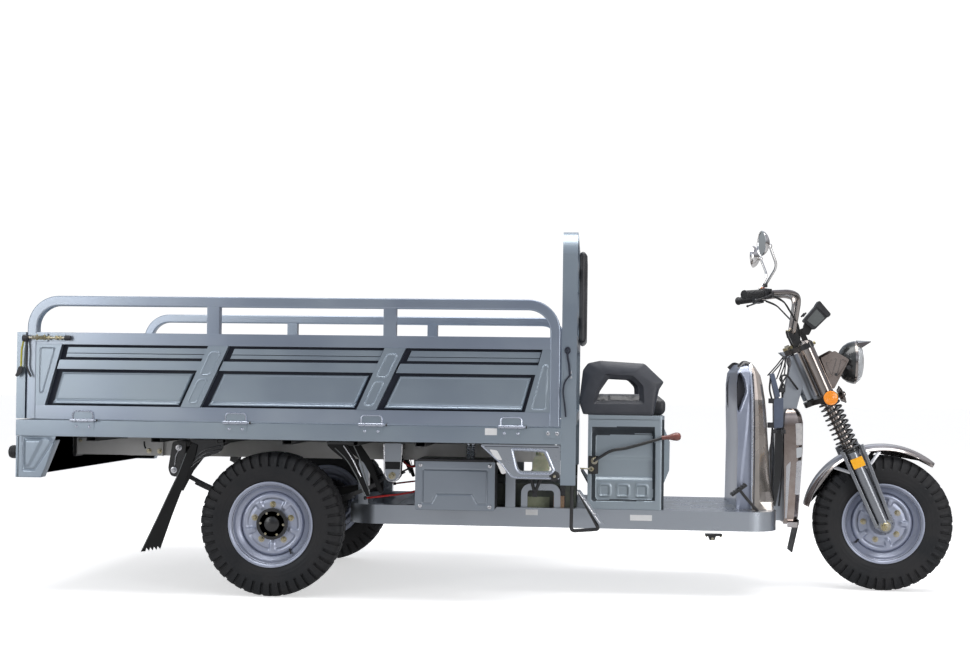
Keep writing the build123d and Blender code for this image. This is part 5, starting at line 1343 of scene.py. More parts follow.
def add_clamp(shape, low, thickness):
    """A clamp plate square to the fork, with its edges rounded later."""
    outline = smooth_corners(clamp_outline(), 10, 4)
    count = len(outline)
    points = [fork(level, ahead, across) for level in (low, low + thickness) for ahead, across in outline]
    faces = ring_faces(2, count)
    return shape.add(points, faces)


clamps, lamps = Shape(), Shape()
for low in (566, 800):
    add_clamp(clamps, low, 22)
add_rod(clamps, fork(566, -66), fork(832, -66), 15, 32)
add_lathe(clamps, [(24, 822), (24, 834), (20, 836), (12, 836), (11, 842), (0.5, 842)], fork(0, -66),
          UP_FORK, 6, look=1)
for y in (-70, 70):
    riser = [fork(level, ahead, y + across) for level in (822, 868) for ahead, across in
             ((-44, -17), (-8, -17), (-8, 17), (-44, 17))]
    clamps.add(riser, ring_faces(2, 4))
    cap = [fork(level, ahead, y + across) for level, near,
           far in ((868, -46, -6), (896, -42, -10)) for ahead, across in
           ((near, -18), (far, -18), (far, 18), (near, 18))]
    clamps.add(cap, ring_faces(2, 4))
    for ahead in (-40, -12):
        for across in (-10, 10):
            add_hex(clamps, fork(896, ahead + (4 if ahead < -20 else -4), y + across), UP_FORK, 4.5, 4, 1)
for y in (-128, 128):
    for low in (566, 800):
        add_rod(clamps, fork(low + 11, 33, y - math.copysign(22, y)),
                fork(low + 11, 42, y - math.copysign(22, y)), 7,
                12, 1)
for side in (-1, 1):
    face = np.array((0.0, side, 0.0))
    root = fork(577, 4, side * 139)
    add_lathe(lamps, [(9, 0), (9, 10), (22, 13), (29, 16), (31, 22), (31, 26), (28, 27)], root, face, 40,
              look=1)
    lens = [(29, 24), (29.5, 28), (29, 33), (26, 34.5), (25, 33.2), (21, 34.6), (19, 33.2), (15, 34.8),
            (13, 33.4),
            (8, 34.9), (6, 33.6), (0.4, 34.6)]
    add_lathe(lamps, lens, root, face, 40, look=0)
    pad = smooth_corners([(264, -25), (264, 26), (306, 26), (306, -25)], 4, 3)
    points = [fork(up, ahead + 1, side * (LEG_Y + depth)) for depth in (24, 30) for up, ahead in pad]
    lamps.add(points, ring_faces(2, len(pad)), 2)
finish_piece("fork_clamps", park(clamps), [black_steel, zinc], "steering", bevel=2.2,
             replaces=["steering_stem"])
finish_piece("side_lamps", park(lamps), [amber, black_plastic, reflector], "steering", bevel=0.6,
             replaces=["turn_signals"])
print("clamps and lamps ready")

# %% [markdown]
# ## Headlight and horn
#
# The headlight is a deep bowl with a chromed rim, a clear front with a facetted mirror behind it,
# and a small pointed visor.  Two folded ears, pressed with a triangle, carry it from the fork
# tubes.  The horn is a chromed pan with a ribbed middle.

# %% Headlight bowl, mirror, lens and visor
LAMP = fork(667.6, 157.1)
TO_FRONT = np.array((1.0, 0.0, 0.0))
bowl, glass = Shape(), Shape()
shell = [(0.5, -61), (34, -60), (52, -53), (70, -40), (83, -22), (89, -4), (90.5, 4), (88, 6), (80, 2),
         (60, -20), (0.5, -30)]
add_lathe(bowl, shell, LAMP, TO_FRONT, 64, 0)
add_lathe(bowl, [(86, 2), (91, 4), (91, 12), (87, 15), (84, 12)], LAMP, TO_FRONT, 64, 1)
add_lathe(bowl, [(85, 7), (62, -4), (38, -14), (0.5, -20)], LAMP, TO_FRONT, 10, 2, closed=False)
add_lathe(bowl, [(12, -16), (13, 2), (9, 8), (0.5, 9)], LAMP, TO_FRONT, 20, 3)
visor = [LAMP + np.array((ahead, across, up + lift)) for lift in (0, 3.5) for ahead, up, across in
         ((16, 80, -50), (30, 62, -54), (74, 87, 0), (30, 62, 54), (16, 80, 50), (14, 90, 0))]
bowl.add(visor, [(0, 1, 2), (2, 3, 4), (0, 2, 5), (5, 2, 4), (8, 7, 6), (10, 9, 8), (11, 8, 6), (10, 8, 11),
                 (0, 6, 7, 1), (1, 7, 8, 2), (2, 8, 9, 3), (3, 9, 10, 4), (4, 10, 11, 5), (5, 11, 6, 0)], 1)
for side in (-1, 1):
    stud = LAMP + np.array((-26.0, side * 60.0, -20.0))
    add_rod(bowl, stud, stud + np.array((0, side * 44.0, 0)), 9, 20, 3)
    near = side * LEG_Y
    corners = [fork(604, 30, near), fork(604, 38, near), fork(690, 140, near), fork(748, 100, near),
               fork(742, 36, near)]
    ear = [(p[0], p[2]) for p in corners]
    add_plate(bowl, smooth_corners(ear, 6, 3), (near - 2, near + 2), look=4)
    for mark in ([(716, 48), (716, 96), (652, 46)], [(706, 112), (684, 128), (640, 62)]):
        ridge = [fork(up, ahead, near + side * 2.5) for up, ahead in mark]
        add_sweep(bowl, curve_points(ridge, 8, 4, closed=True), section_circle(2.2, 6), up=(0, 1, 0),
                  closed=True,
                  look=1)
    add_rod(bowl, fork(655, 66, near - side * 3), fork(655, 66, near + side * 5), 6, 16, 3)
horn_axis = AHEAD_FORK
horn_at = fork(560, 62)
add_rod(bowl, fork(572, 30), fork(560, 64), 8, 16, 3)
horn = [(6, -14), (26, -12), (34, -2), (38, 0), (40, 3), (38, 6), (30, 6), (27, 9), (24, 6), (21, 9),
        (18, 6), (15, 9),
        (12, 6), (10, 14), (7, 17), (0.5, 18)]
add_lathe(bowl, horn, horn_at, horn_axis, 40, 1)
lens = [(85, 12), (84, 18), (74, 30), (58, 38), (38, 42), (18, 43.5), (0.5, 44)]
add_lathe(glass, lens + [(0.5, 40), (38, 38), (58, 34), (80, 15), (82, 10)], LAMP, TO_FRONT, 56, 0)
finish_piece("headlight_bowl", park(bowl), [lamp_shell, tube_chrome, gloss_silver, black_plastic,
                                            warm_chrome], "steering",
             bevel=0.7, replaces=["headlight"], crease=30)
finish_piece("headlight_glass", park(glass), [clear_lens], "steering", replaces=["headlight_lens"],
             crease=25)
print("headlight ready")

# %% [markdown]
# ## Front mudguard
#
# A chromed steel strip, rolled to a crown with a bead along each edge, runs round the top of the
# wheel.  Its section is carried round the axle on a grid, and the front end narrows to a rounded
# tip.

# %% Crowned chrome mudguard with stays
def guard_point(angle, across, lift):
    """A point of the mudguard, by its angle round the axle and its place across."""
    radius = 333 + lift
    return FRONT_AXLE + radius * np.array((math.cos(angle), 0, math.sin(angle))) + np.array((0, across, 0))


guard = Shape()
angles = np.radians(np.linspace(50.4, 167.6, 60))
shares = np.linspace(-1, 1, 25)
grid = np.zeros((len(angles), len(shares), 3))
for i, angle in enumerate(angles):
    narrow = min(1.0, 0.42 + 0.58 * ((math.degrees(angle) - 50.4) / 14) ** 0.6)
    for j, share in enumerate(shares):
        drop = -20 * abs(share) ** 2.6 + 3.0 * max(0, 1 - ((abs(share) - 0.93) / 0.06) ** 2) - 1.0
        grid[i, j] = guard_point(angle, 75 * share * narrow, drop)
add_grid(guard, grid, (0, 0, -2.5))
for side in (-1, 1):
    for angle, up in ((math.radians(92), 236), (math.radians(132), 236)):
        start = guard_point(angle, side * 62, -16)
        end = fork(up, 20 if angle < 2 else -20, side * 78)
        add_sweep(guard, [start, (start + end) / 2 + np.array((0, side * 4, 0)), end],
                  section_box(14, 3, 1),
                  up=(0, 1, 0), look=1)
finish_piece("mudguard_chromed", park(guard), [gloss_silver, bright_steel], "steering",
             replaces=["front_fender"],
             crease=40)
print("mudguard ready")
# %% [markdown]
# ## Handlebar and grips
#
# The bar is one bent tube, rising from the clamps and sweeping back to the grips.  Grips are
# ribbed rubber sleeves; beside each sits a switch box with a brake lever in front of it.

# %% Bar, grips, switch boxes and levers
bar_low = fork(879, -26)
bar_run = [(21, 118, 154), (-17, 200, 172), (-102, 300, 165), (-213, 430, 152)]


def bar_point(number, side):
    """One of the corners of the bar on a side."""
    ahead, out, up = bar_run[number]
    return np.array((bar_low[0] + ahead, side * out, bar_low[2] + up))


half = [np.array((bar_low[0], 92.0, bar_low[2]))] + [bar_point(n, 1) for n in range(4)]
mirror_y = np.array((1.0, -1.0, 1.0))
corners = [point * mirror_y for point in reversed(half)] + half
bar = Shape()
add_sweep(bar, curve_points(corners, [0, 120, 60, 40, 36, 36, 40, 60, 120, 0], 10), section_circle(11, 20))
finish_piece("bar_chromed", park(bar), [tube_chrome], "steering", replaces=["handlebar"],
             crease=40)

grips = Shape()
for side in (-1, 1):
    start, end = bar_point(2, side), bar_point(3, side)
    run = end - start
    length = np.linalg.norm(run)
    along = run / length
    sleeve = [(12, 0.37 * length)]
    for ring in range(16):
        at = (0.38 + 0.61 * ring / 16) * length
        sleeve += [(16.5, at), (16.8, at + 2), (15.2, at + 3.2), (15.2, at + 5)]
    sleeve += [(18, 0.995 * length), (19, 1.0 * length), (18, 1.02 * length), (6, 1.03 * length)]
    add_lathe(grips, sleeve, start, along, 32, 0)
    add_lathe(grips, [(19, 0.33 * length), (21, 0.34 * length), (21, 0.37 * length), (17, 0.38 * length)],
              start,
              along, 32, 1)
    across = np.array((along[1], -along[0], 0.0)) * -side
    rise = np.cross(along, across) * side
    rise = rise if rise[2] > 0 else -rise
    ahead = np.cross(rise, along)
    ahead = ahead if ahead[0] > 0 else -ahead
    box = [(0.13, -19, -20), (0.13, 17, -22), (0.13, 20, 16), (0.13, -16, 20),
           (0.34, -20, -22), (0.34, 18, -24), (0.34, 21, 18), (0.34, -18, 21)]
    grips.add([start + along * length * s + ahead * a + rise * r for s, a, r in box], ring_faces(2, 4), 1)
    for spot, a in ((0.19, -14), (0.27, -14)):
        base = start + along * length * spot + ahead * a + rise * 19
        add_rod(grips, base, base + rise * 5, 5, 14, 3 if spot < 0.2 else 4)
    pivot = start + along * length * 0.18 + ahead * 26 - rise * 4
    add_rod(grips, pivot - rise * 9, pivot + rise * 9, 8, 16, 1)
    tip = start + along * length * 0.93 + ahead * 44 - rise * 24
    path = curve_points([pivot, pivot + along * 40 + ahead * 16 - rise * 6, tip - along * 30 + rise * 4,
                         tip], 26, 6)
    add_sweep(grips, path, section_box(9, 6, 2), up=tuple(rise), look=2)
    add_lathe(grips, [(0.5, -6), (4.5, -4.5), (6.2, 0), (4.5, 4.5), (0.5, 6)], tip, along, 14, 2)
    start_cable = pivot - along * 4 - rise * 6
    cable = curve_points([start_cable, start_cable - along * 70 - rise * 26, fork(900, 10, side * 60),
                          fork(800, -34, side * 46)], 60, 8)
    add_sweep(grips, cable, section_circle(3.6, 8), look=0)
    second = [point + np.array((6.0, -side * 9.0, -6.0)) for point in cable]
    add_sweep(grips, second, section_circle(3.0, 8), look=0)
finish_piece("bar_grips", park(grips), [soft_rubber, black_plastic, black_steel, red_lens, amber],
             "steering",
             bevel=1.2, replaces=["hand_grips"])
print("grips ready")

# %% [markdown]
# ## Mirrors
#
# Each mirror is a chromed bowl on a thin bent stem that screws into the switch box.  The glass
# looks back past the driver's shoulder, so from the right one sees the bowl in profile with a
# sliver of the glass.

# %% Mirror bowls, glass and stems
mirrors = Shape()
for side in (-1, 1):
    foot = bar_point(2, side) + (bar_point(3, side) - bar_point(2, side)) * 0.24
    base = foot + np.array((0.0, 0.0, 23.5))
    knee = base + np.array((42.0, side * 60.0, 82.0))
    top = base + np.array((12.0, side * 78.0, 160.0))
    head = top + np.array((-24.0, side * 12.0, 10.0))
    add_lathe(mirrors, [(9, 0), (10, 2), (10, 12), (7, 16), (5, 16)], base, (0, 0, 1), 6, 2)
    stem = curve_points([base + np.array((0.0, 0.0, 8.0)), knee, top], 24, 8)
    add_sweep(mirrors, stem, section_circle(5.2, 12), look=0)
    add_lathe(mirrors, [(0.5, -10), (7, -8), (9.5, 0), (7, 8), (0.5, 10)], top, (0, 0, 1), 18, 0)
    add_sweep(mirrors, [top, head], section_circle(5.0, 10), look=0)
    face = np.array((-0.94, side * 0.34, 0.0)) / math.hypot(0.94, 0.34)
    shell = [(0.5, -20), (12, -19), (24, -15), (35, -8), (42, 0), (45.5, 7), (46, 10), (44, 11.5),
             (42.5, 8)]
    start = len(mirrors.points)
    add_lathe(mirrors, shell, head, face, 44, 0, closed=False)
    add_lathe(mirrors, [(43, 8.4), (0.5, 8.6), (0.5, 7.5), (43, 7.5)], head, face, 44, 1)
    bent = np.array(mirrors.points[start:]) - head
    bent[:, 2] *= 1.0 + 0.10 * np.clip(np.abs(bent[:, 2]) / 46, 0, 1)
    mirrors.points[start:] = [tuple(point) for point in bent + head]
finish_piece("mirror_bowls", park(mirrors), [chrome, mirror_glass, black_steel], "steering",
             replaces=["mirrors"],
             crease=36)
print("mirrors ready")

# %% [markdown]
# ## Instrument
#
# A boxy display leans over the clamp.  From the side it is a black wedge with a grey panel let
# into its flank and a raised hood round the face.

# %% Instrument box
meter = Shape()


def add_fork_plate(shape, outline, y, rounding, look=0):
    """A plate with its outline given along and ahead of the fork."""
    flat = [fork(up, ahead) for up, ahead in outline]
    points = smooth_corners([(p[0], p[2]) for p in flat], rounding, 4)
    return add_plate(shape, points, y, look=look)


add_fork_plate(meter, [(912, 36), (956, 122), (890, 142), (858, 62)], (-54, 54), 8)
add_fork_plate(meter, [(950, 108), (964, 130), (890, 150), (884, 134)], (-58, 58), 4)
add_fork_plate(meter, [(955, 129), (960, 133), (894, 152), (892, 147)], (-50, 50), 1.5, look=3)
for side in (-1, 1):
    add_fork_plate(meter, [(908, 50), (936, 106), (888, 122), (868, 72)], sorted((side * 53, side * 56)),
                   5, look=1)
    add_fork_plate(meter, [(932, 40), (942, 60), (936, 62), (926, 44)], sorted((side * 40, side * 57)), 2)
add_fork_plate(meter, [(901, 40), (872, 66), (846, 36), (862, 10)], (-22, 22), 6, look=2)
add_fork_plate(meter, [(822, 4), (822, 26), (884, 26), (884, 4)], (-14, 14), 3, look=2)
finish_piece("instrument_box", park(meter), [black_plastic, meter_grey, black_steel, gloss_black],
             "steering",
             bevel=2.0, replaces=["instrument"])
print("instrument ready")
# %% [markdown]
# ## Seat box
#
# The driver sits on a pressed steel box.  Each side has a deep recess with a shelf across it and
# three small raised frames below the shelf.  Drawing that as separate boxes would lose the soft
# shoulders, so the whole wall is one sheet: it runs along the side, round the front corner and
# across the front, and every point is pushed in or out by the pressing.

# %% Heights of the pressed side wall
SEAT_HALF = 350.0
SEAT_LOW, SEAT_HIGH = 349.0, 711.0
SEAT_REAR, SEAT_FRONT = 1237.0, 1545.0
RECESS = smooth_corners([(1252, 377), (1512, 382), (1508, 685), (1250, 681)], 10, 4)
RECESS_FLOOR = smooth_corners([(1272, 386), (1500, 389), (1497, 648), (1270, 644)], 8, 4)
FRAMES = [smooth_corners([(low, 399), (high, 399), (high, 445), (low, 445)], 10, 4)
          for low, high in ((1284, 1328), (1355, 1403), (1432, 1478))]


def seat_relief(reach, z):
    """How far the side wall is pressed in or out at a reach and height."""
    past_edge = np.clip(-distance_to(RECESS, reach, z), 0, None)
    to_floor = np.clip(distance_to(RECESS_FLOOR, reach, z), 0, None)
    share = past_edge / (past_edge + to_floor + 1e-6)
    share = share * share * (3 - 2 * share)
    depth = -26 * share
    lower = np.clip((563 - z) / 18, 0, 1)
    shelf = np.clip((480 - z) / 20, 0, 1)
    depth = depth - share * (7 * lower * lower * (3 - 2 * lower))
    depth = depth + share * 12 * shelf * shelf * (3 - 2 * shelf)
    for frame_line in FRAMES:
        distance = distance_to(frame_line, reach, z)
        depth = depth + 4.5 * bead(distance, 7) - 3.0 * step_in(distance + 3, 5)
    return depth


def wall_plan(spacing=3.2):
    """Points and outward directions along the box's outline, from one rear corner to the other."""
    turn = 18.0
    sides = []
    for reach in np.arange(SEAT_REAR, SEAT_FRONT - turn, spacing):
        sides.append((reach, -SEAT_HALF, 0.0, -1.0))
    for step in range(9):
        angle = math.radians(-90 + 90 * step / 8)
        sides.append((SEAT_FRONT - turn + turn * math.cos(angle),
                      -SEAT_HALF + turn + turn * math.sin(angle),
                      math.cos(angle), math.sin(angle)))
    front = [(SEAT_FRONT, y, 1.0, 0.0) for y in np.linspace(-SEAT_HALF + turn + 8, 0, 24)]
    half = sides + front
    return half + [(reach, -y, ahead, -out) for reach, y, ahead, out in reversed(half[:-1])]


plan = wall_plan()
levels = np.linspace(SEAT_LOW, SEAT_HIGH, 116)
wall = np.zeros((len(levels), len(plan), 3))
reach, z = np.meshgrid([spot[0] for spot in plan], levels)
relief = seat_relief(reach, z) * np.array([abs(spot[3]) > 0.999 for spot in plan])
for column, (ahead, y, out_x, out_side) in enumerate(plan):
    wall[:, column, 0] = station(ahead) + out_x * relief[:, column]
    wall[:, column, 1] = y + out_side * relief[:, column]
    wall[:, column, 2] = levels
seat = Shape()
rows, columns = wall.shape[:2]
seat.add(wall.reshape(-1, 3), [(r * columns + c, r * columns + c + 1, (r + 1) * columns + c + 1,
                                (r + 1) * columns + c)
                               for r in range(rows - 1) for c in range(columns - 1)], 0)
spots = face_centres(seat)
ahead, y, z = spots[:, 0] - AXLE_X, np.abs(spots[:, 1]), spots[:, 2]
slopes = (y > 300) & (distance_to(RECESS, ahead, z) < -1.5)
slopes &= distance_to(RECESS_FLOOR, ahead, z) > np.where(z > 650, 6.0, 1.5)
corner = (ahead > 1533) & (y > 333)
seat.looks = [int(dark) for dark in slopes | corner]
finish_piece("seat_box_walls", seat, [seat_paint, seat_shadow], "chassis", replaces=["seat_box"],
             crease=60, flip=True)

# %% Rim, foot and the bulge between the driver's heels
trim = Shape()


def rounded_plan(grow):
    """The box's outline seen from above, with round front corners."""
    half = SEAT_HALF + grow
    corners = [(station(SEAT_REAR), -half), (station(SEAT_FRONT + grow), -half),
               (station(SEAT_FRONT + grow), half),
               (station(SEAT_REAR), half)]
    path = [corners[0]]
    for centre_y, start in ((-half + 20, -90), (half - 20, 0)):
        for step in range(7):
            angle = math.radians(start + 15 * step)
            path.append((station(SEAT_FRONT + grow) - 20 + 20 * math.cos(angle),
                         centre_y + 20 * math.sin(angle)))
    return path + [corners[3]]


add_plate(trim, rounded_plan(0.0), (709, 727), across="z")
add_plate(trim, rounded_plan(-1.0), (347, 356), across="z")
add_box(trim, (station(SEAT_REAR), station(SEAT_REAR) + 3), (-348, 348), (350, 710))
bulge_line = [(1544, 425), (1562, 470), (1574, 500), (1575, 618), (1566, 640), (1544, 688)]
for inset, half in ((0, 200), (4, 150)):
    line = [(station(ahead + (inset if 1550 < ahead else 0) * 0.25), z) for ahead, z in bulge_line]
    add_plate(trim, line, (-half, half))
finish_piece("seat_box_trim", trim, [seat_paint], "chassis", bevel=3.5, segments=3)
print("seat box ready")

# %% [markdown]
# ## Armrests
#
# Each armrest is a moulded handle with a flat upper facet and a chamfered opening.  It is built in
# layers: the middle layer carries the full outline, and the outer layers are smaller, which gives
# the chamfers without any bevel tool.

# %% Layered handles
def add_layers(shape, layers, look=0):
    """A plate in layers along Y; each layer gives its place, its outline and its hole."""
    counts = [len(layers[0][1]), len(layers[0][2])]
    flat = sum(counts)
    points = [(station(a), place, b) for place, outline, hole in layers for a, b in [*outline, *hole]]
    faces = []
    for last, (place, outline, hole) in ((0, layers[0]), (len(layers) - 1, layers[-1])):
        loops = [[Vector((a, b, 0)) for a, b in loop] for loop in (outline, hole)]
        faces += [tuple(last * flat + i for i in t) for t in geometry.tessellate_polygon(loops)]
    for layer in range(len(layers) - 1):
        start = layer * flat
        for size in counts:
            faces += [(start + i, start + (i + 1) % size, start + flat + (i + 1) % size, start + flat + i)
                      for i in range(size)] if size else []
            start += size
        start = 0
    return shape.add(points, faces, look)


full = [(1216, 729), (1199, 779), (1213, 909), (1233, 937), (1282, 948), (1462, 938), (1541, 864),
        (1522, 834),
        (1500, 729)]
mid_ring = [(1218, 731), (1203, 781), (1238, 896), (1262, 922), (1298, 930), (1446, 920), (1512, 862),
            (1510, 832),
            (1497, 731)]
face_line = [(1226, 741), (1214, 784), (1252, 882), (1279, 908), (1311, 914), (1424, 903), (1486, 862),
             (1498, 834),
             (1488, 741)]
hole_mid = [(1271, 785), (1282, 822), (1319, 877), (1411, 873), (1441, 842), (1444, 787)]
hole_face = [(1256, 772), (1266, 824), (1308, 893), (1416, 888), (1457, 848), (1462, 774)]
handles = Shape()
for side in (-1, 1):
    depths = [(350, face_line, hole_face), (345, mid_ring, hole_face), (331, full, hole_mid),
              (302, full, hole_mid),
              (290, mid_ring, hole_face), (286, face_line, hole_face)]
    add_layers(handles, [(side * depth, smooth_corners(line, 7, 4), smooth_corners(hole, 9, 4))
                         for depth, line, hole in depths])
    add_box(handles, (station(1236), station(1496)), sorted((side * 292, side * 344)), (726, 732), 0)
finish_piece("armrest_handles", handles, [grey_plastic], "chassis", bevel=1.2, replaces=["armrests"],
             crease=24)
print("armrests ready")

# %% [markdown]
# ## Cushion and backrest
#
# Foam under a tight cover bulges between its seams.  Modelled by hand that always looks like a
# loaf of bread; instead a cloth simulation inflates a copy of the pad for a few frames, and the
# result is capped so that no point moves further than the foam could push it.

# %% Inflate a pad
def pad_blank(name, low, high, rounding):
    """A rounded block as a starting shape for a pad."""
    shape = Shape()
    add_box(shape, (low[0], high[0]), (low[1], high[1]), (low[2], high[2]))
    mesh = bpy.data.meshes.new(name)
    mesh.from_pydata([tuple(c * METRE for c in point) for point in shape.points], [], shape.faces)
    piece = bpy.data.objects.new(name, mesh)
    scene.collection.objects.link(piece)
    edge = piece.modifiers.new("edge", "BEVEL")
    edge.width, edge.segments = rounding * METRE, 5
    bake_modifiers(piece)
    return piece


def inflate(piece, voxel=9.0, pressure=4.0, most=14.0):
    """Push a pad outwards with cloth pressure, and let no point move further than a limit."""
    remesh = piece.modifiers.new("voxels", "REMESH")
    remesh.mode, remesh.voxel_size = "VOXEL", voxel * METRE
    bake_modifiers(piece)
    start = np.empty(len(piece.data.vertices) * 3)
    piece.data.vertices.foreach_get("co", start)
    start = start.reshape(-1, 3)
    cloth = piece.modifiers.new("cover", "CLOTH")
    cloth.settings.use_pressure = True
    cloth.settings.uniform_pressure_force = pressure
    cloth.settings.effector_weights.gravity = 0.0
    cloth.settings.tension_stiffness = cloth.settings.compression_stiffness = 12.0
    cloth.point_cache.frame_start, cloth.point_cache.frame_end = 1, 14
    for step in range(1, 15):
        scene.frame_set(step)
    bake_modifiers(piece)
    scene.frame_set(1)
    moved = np.empty(len(piece.data.vertices) * 3)
    piece.data.vertices.foreach_get("co", moved)
    moved = moved.reshape(-1, 3)
    shift = moved - start
    length = np.linalg.norm(shift, axis=1, keepdims=True)
    shift *= np.minimum(1.0, most * METRE / np.maximum(length, 1e-9))
    piece.data.vertices.foreach_set("co", (start + shift).ravel())
    return start


def dress_pad(piece, node, look, seams, low, high):
    """Hold a pad inside its room, press its seams in and give it its cover."""
    points = np.empty(len(piece.data.vertices) * 3)
    piece.data.vertices.foreach_get("co", points)
    points = points.reshape(-1, 3) / METRE
    points = seams(points)
    points = np.clip(points, low, high) * METRE
    piece.data.vertices.foreach_set("co", points.ravel())
    piece.data.materials.clear()
    piece.data.materials.append(look)
    soft = piece.modifiers.new("soft", "SUBSURF")
    soft.levels = soft.render_levels = 1
    bake_modifiers(piece)
    for face in piece.data.polygons:
        face.use_smooth = True
    piece.data.update()
    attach(piece, "chassis")
    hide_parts(node)


seat_low, seat_high = node_box("seat_cushion")


def cushion_seams(points):
    """Crown the cushion and press two seams across it."""
    share_x = (points[:, 0] - seat_low[0]) / (seat_high[0] - seat_low[0])
    share_y = np.abs(points[:, 1]) / seat_high[1]
    top = np.clip((points[:, 2] - seat_low[2] - 30) / 45, 0, 1)
    crown = 10 * (1 - np.clip(share_y, 0, 1) ** 4) * np.sin(np.pi * np.clip(share_x, 0, 1)) ** 0.5
    for seam in (0.24, 0.72):
        crown = crown - 7 * bead(share_x - seam, 0.022)
    points[:, 2] += top * (crown - 8)
    return points


cushion = pad_blank("seat_cushion_pad", seat_low + (5, 5, 4), seat_high - (5, 5, 12), 20)
inflate(cushion)
dress_pad(cushion, "seat_cushion", vinyl, cushion_seams, seat_low + (0.5, 0.5, 0.5),
          seat_high - (0.5, 0.5, 0.5))

back_low, back_high = node_box("backrest_pad")


def backrest_seams(points):
    """Press a panel outline into the front of the backrest and swell its middle."""
    across = points[:, 1] / back_high[1]
    up = (points[:, 2] - back_low[2]) / (back_high[2] - back_low[2]) * 2 - 1
    ahead = np.clip((points[:, 0] - back_low[0] - 14) / 14, 0, 1)
    ring = np.abs(np.maximum(np.abs(across), np.abs(up)) - 0.72)
    points[:, 0] -= ahead * 6 * bead(ring, 0.035)
    points[:, 0] += ahead * 4 * (1 - np.clip(across ** 2 + up ** 2, 0, 1))
    return points


backrest = pad_blank("backrest_pad_cover", back_low + (1, 5, 5), back_high - (6, 5, 5), 14)
inflate(backrest, 8.0, 3.0, 8.0)
dress_pad(backrest, "backrest_pad", vinyl, backrest_seams, back_low + (0.5, 0.5, 0.5),
          back_high - (0.3, 0.5, 0.5))
print("pads", len(cushion.data.polygons), len(backrest.data.polygons))

# %% [markdown]
# ## Hand brake
#
# The brake is a flat black plate on the side of the seat box, two bolts, a bent round lever and a
# pear-shaped knob.  A thin plated rod runs back from it under the bed.

# %% Plate, bolts, lever, knob and rod
brake = Shape()
BRAKE_Y = -SEAT_HALF


def at(reach, y, z):
    """A point given by its reach ahead of the rear axle."""
    return np.array((station(reach), y, z))


plate = smooth_corners([(1240, 489), (1280, 489), (1280, 562), (1240, 562)], 4, 3)
add_plate(brake, [(station(a), b) for a, b in plate], (BRAKE_Y - 8, BRAKE_Y + 0.5), look=0)
for reach, z, radius in ((1264, 542, 11), (1252, 509, 7)):
    add_rod(brake, at(reach, BRAKE_Y - 8, z), at(reach, BRAKE_Y - 11, z), radius + 3, 24, 1)
    add_hex(brake, at(reach, BRAKE_Y - 11, z), np.array((0.0, -1.0, 0.0)), radius, 6, 1)
    add_rod(brake, at(reach, BRAKE_Y - 17, z), at(reach, BRAKE_Y - 21, z), radius * 0.45, 14, 0)
lever_line = [at(1264, BRAKE_Y - 22, 544), at(1330, BRAKE_Y - 22, 586), at(1397, BRAKE_Y - 22, 597),
              at(1546, BRAKE_Y - 22, 642)]
add_sweep(brake, curve_points(lever_line, 22, 6), section_circle(6.5, 14), look=0)
knob_axis = np.array((0.96, 0.0, 0.10))
pear = [(0.5, -4), (8, -4), (9, 6), (8.4, 16), (10.5, 28), (14.5, 42), (17, 54), (16, 64), (11, 71),
        (0.5, 74)]
add_lathe(brake, pear, at(1536, BRAKE_Y - 22, 640), knob_axis, 28, 2)
add_sweep(brake, [at(1252, BRAKE_Y - 12, 509), at(1206, BRAKE_Y - 12, 511)], section_circle(3.2, 10),
          look=1)
finish_piece("hand_brake", brake, [black_steel, zinc, knob_brown], "chassis", bevel=0.8)

pedal = Shape()
add_sweep(pedal, curve_points([at(1926, -294, 346), at(1884, -294, 392), at(1845, -294, 440)], 30, 5),
          section_box(12, 9, 2), up=(0, 1, 0), look=0)
pad_line = [(1816, 413), (1821, 406), (1880, 450), (1875, 458)]
add_plate(pedal, [(station(a), b) for a, b in pad_line], (-330, -262), look=1)
for step in range(6):
    share = (step + 0.5) / 6
    a, b = 1816 + 59 * share, 413 + 45 * share
    add_box(pedal, (station(a) - 2.5, station(a) + 1), (-326, -266), (b, b + 3.5), 1)
bracket = [(1732, 230), (1802, 230), (1802, 224), (1776, 222), (1770, 205), (1750, 205), (1744, 222),
           (1732, 224)]
add_plate(pedal, [(station(a), b) for a, b in bracket], (-120, -80), look=0)
add_rod(pedal, at(1761, -124, 212), at(1761, -76, 212), 6, 16, 2)
for reach in (1738, 1797):
    add_hex(pedal, at(reach, -100, 224), np.array((0.0, 0.0, -1.0)), 6, 5, 2)
finish_piece("foot_pedal", pedal, [black_steel, soft_rubber, zinc], "chassis", bevel=1.0,
             replaces=["brake_controls"])
print("brakes ready")
# %% [markdown]
# ## Leg shields
#
# A plastic shell in two halves stands in front of the driver's knees.  The rear half is satin
# blue-grey with a leaf-shaped pocket at the top of each side; the front half is glossy and
# facetted, and spreads to a flare at its foot.  Both are drawn as horizontal sections that change
# with height, because that is how such shells are designed: a stack of plans.

# %% Stacked plans
def add_stack(shape, sections, look=0, caps=True):
    """Horizontal rings of equal size, one above the other."""
    count = len(sections[0])
    points = [point for ring in sections for point in ring]
    return shape.add(points, ring_faces(len(sections), count, closed_ends=caps), look)


def between_rows(rows, z):
    """Values of a table of heights, blended smoothly at a height."""
    levels = [row[0] for row in rows]
    return [float(np.interp(z, levels, [row[i] for row in rows])) for i in range(1, len(rows[0]))]


# Height, rear edge, seam and half width of the rear half.
inner_rows = [(347, 1834, 1905, 236), (420, 1836, 1905, 240), (631, 1839, 1905, 240),
              (760, 1835, 1904, 236),
              (860, 1833, 1902, 226), (910, 1838, 1898, 212), (934, 1852, 1893, 196), (946, 1866, 1888,
                      176)]
POCKET = smooth_corners([(1851, 742), (1868, 790), (1882, 830), (1874, 880), (1860, 906), (1850, 900),
                         (1843, 850),
                         (1845, 780)], 10, 5)


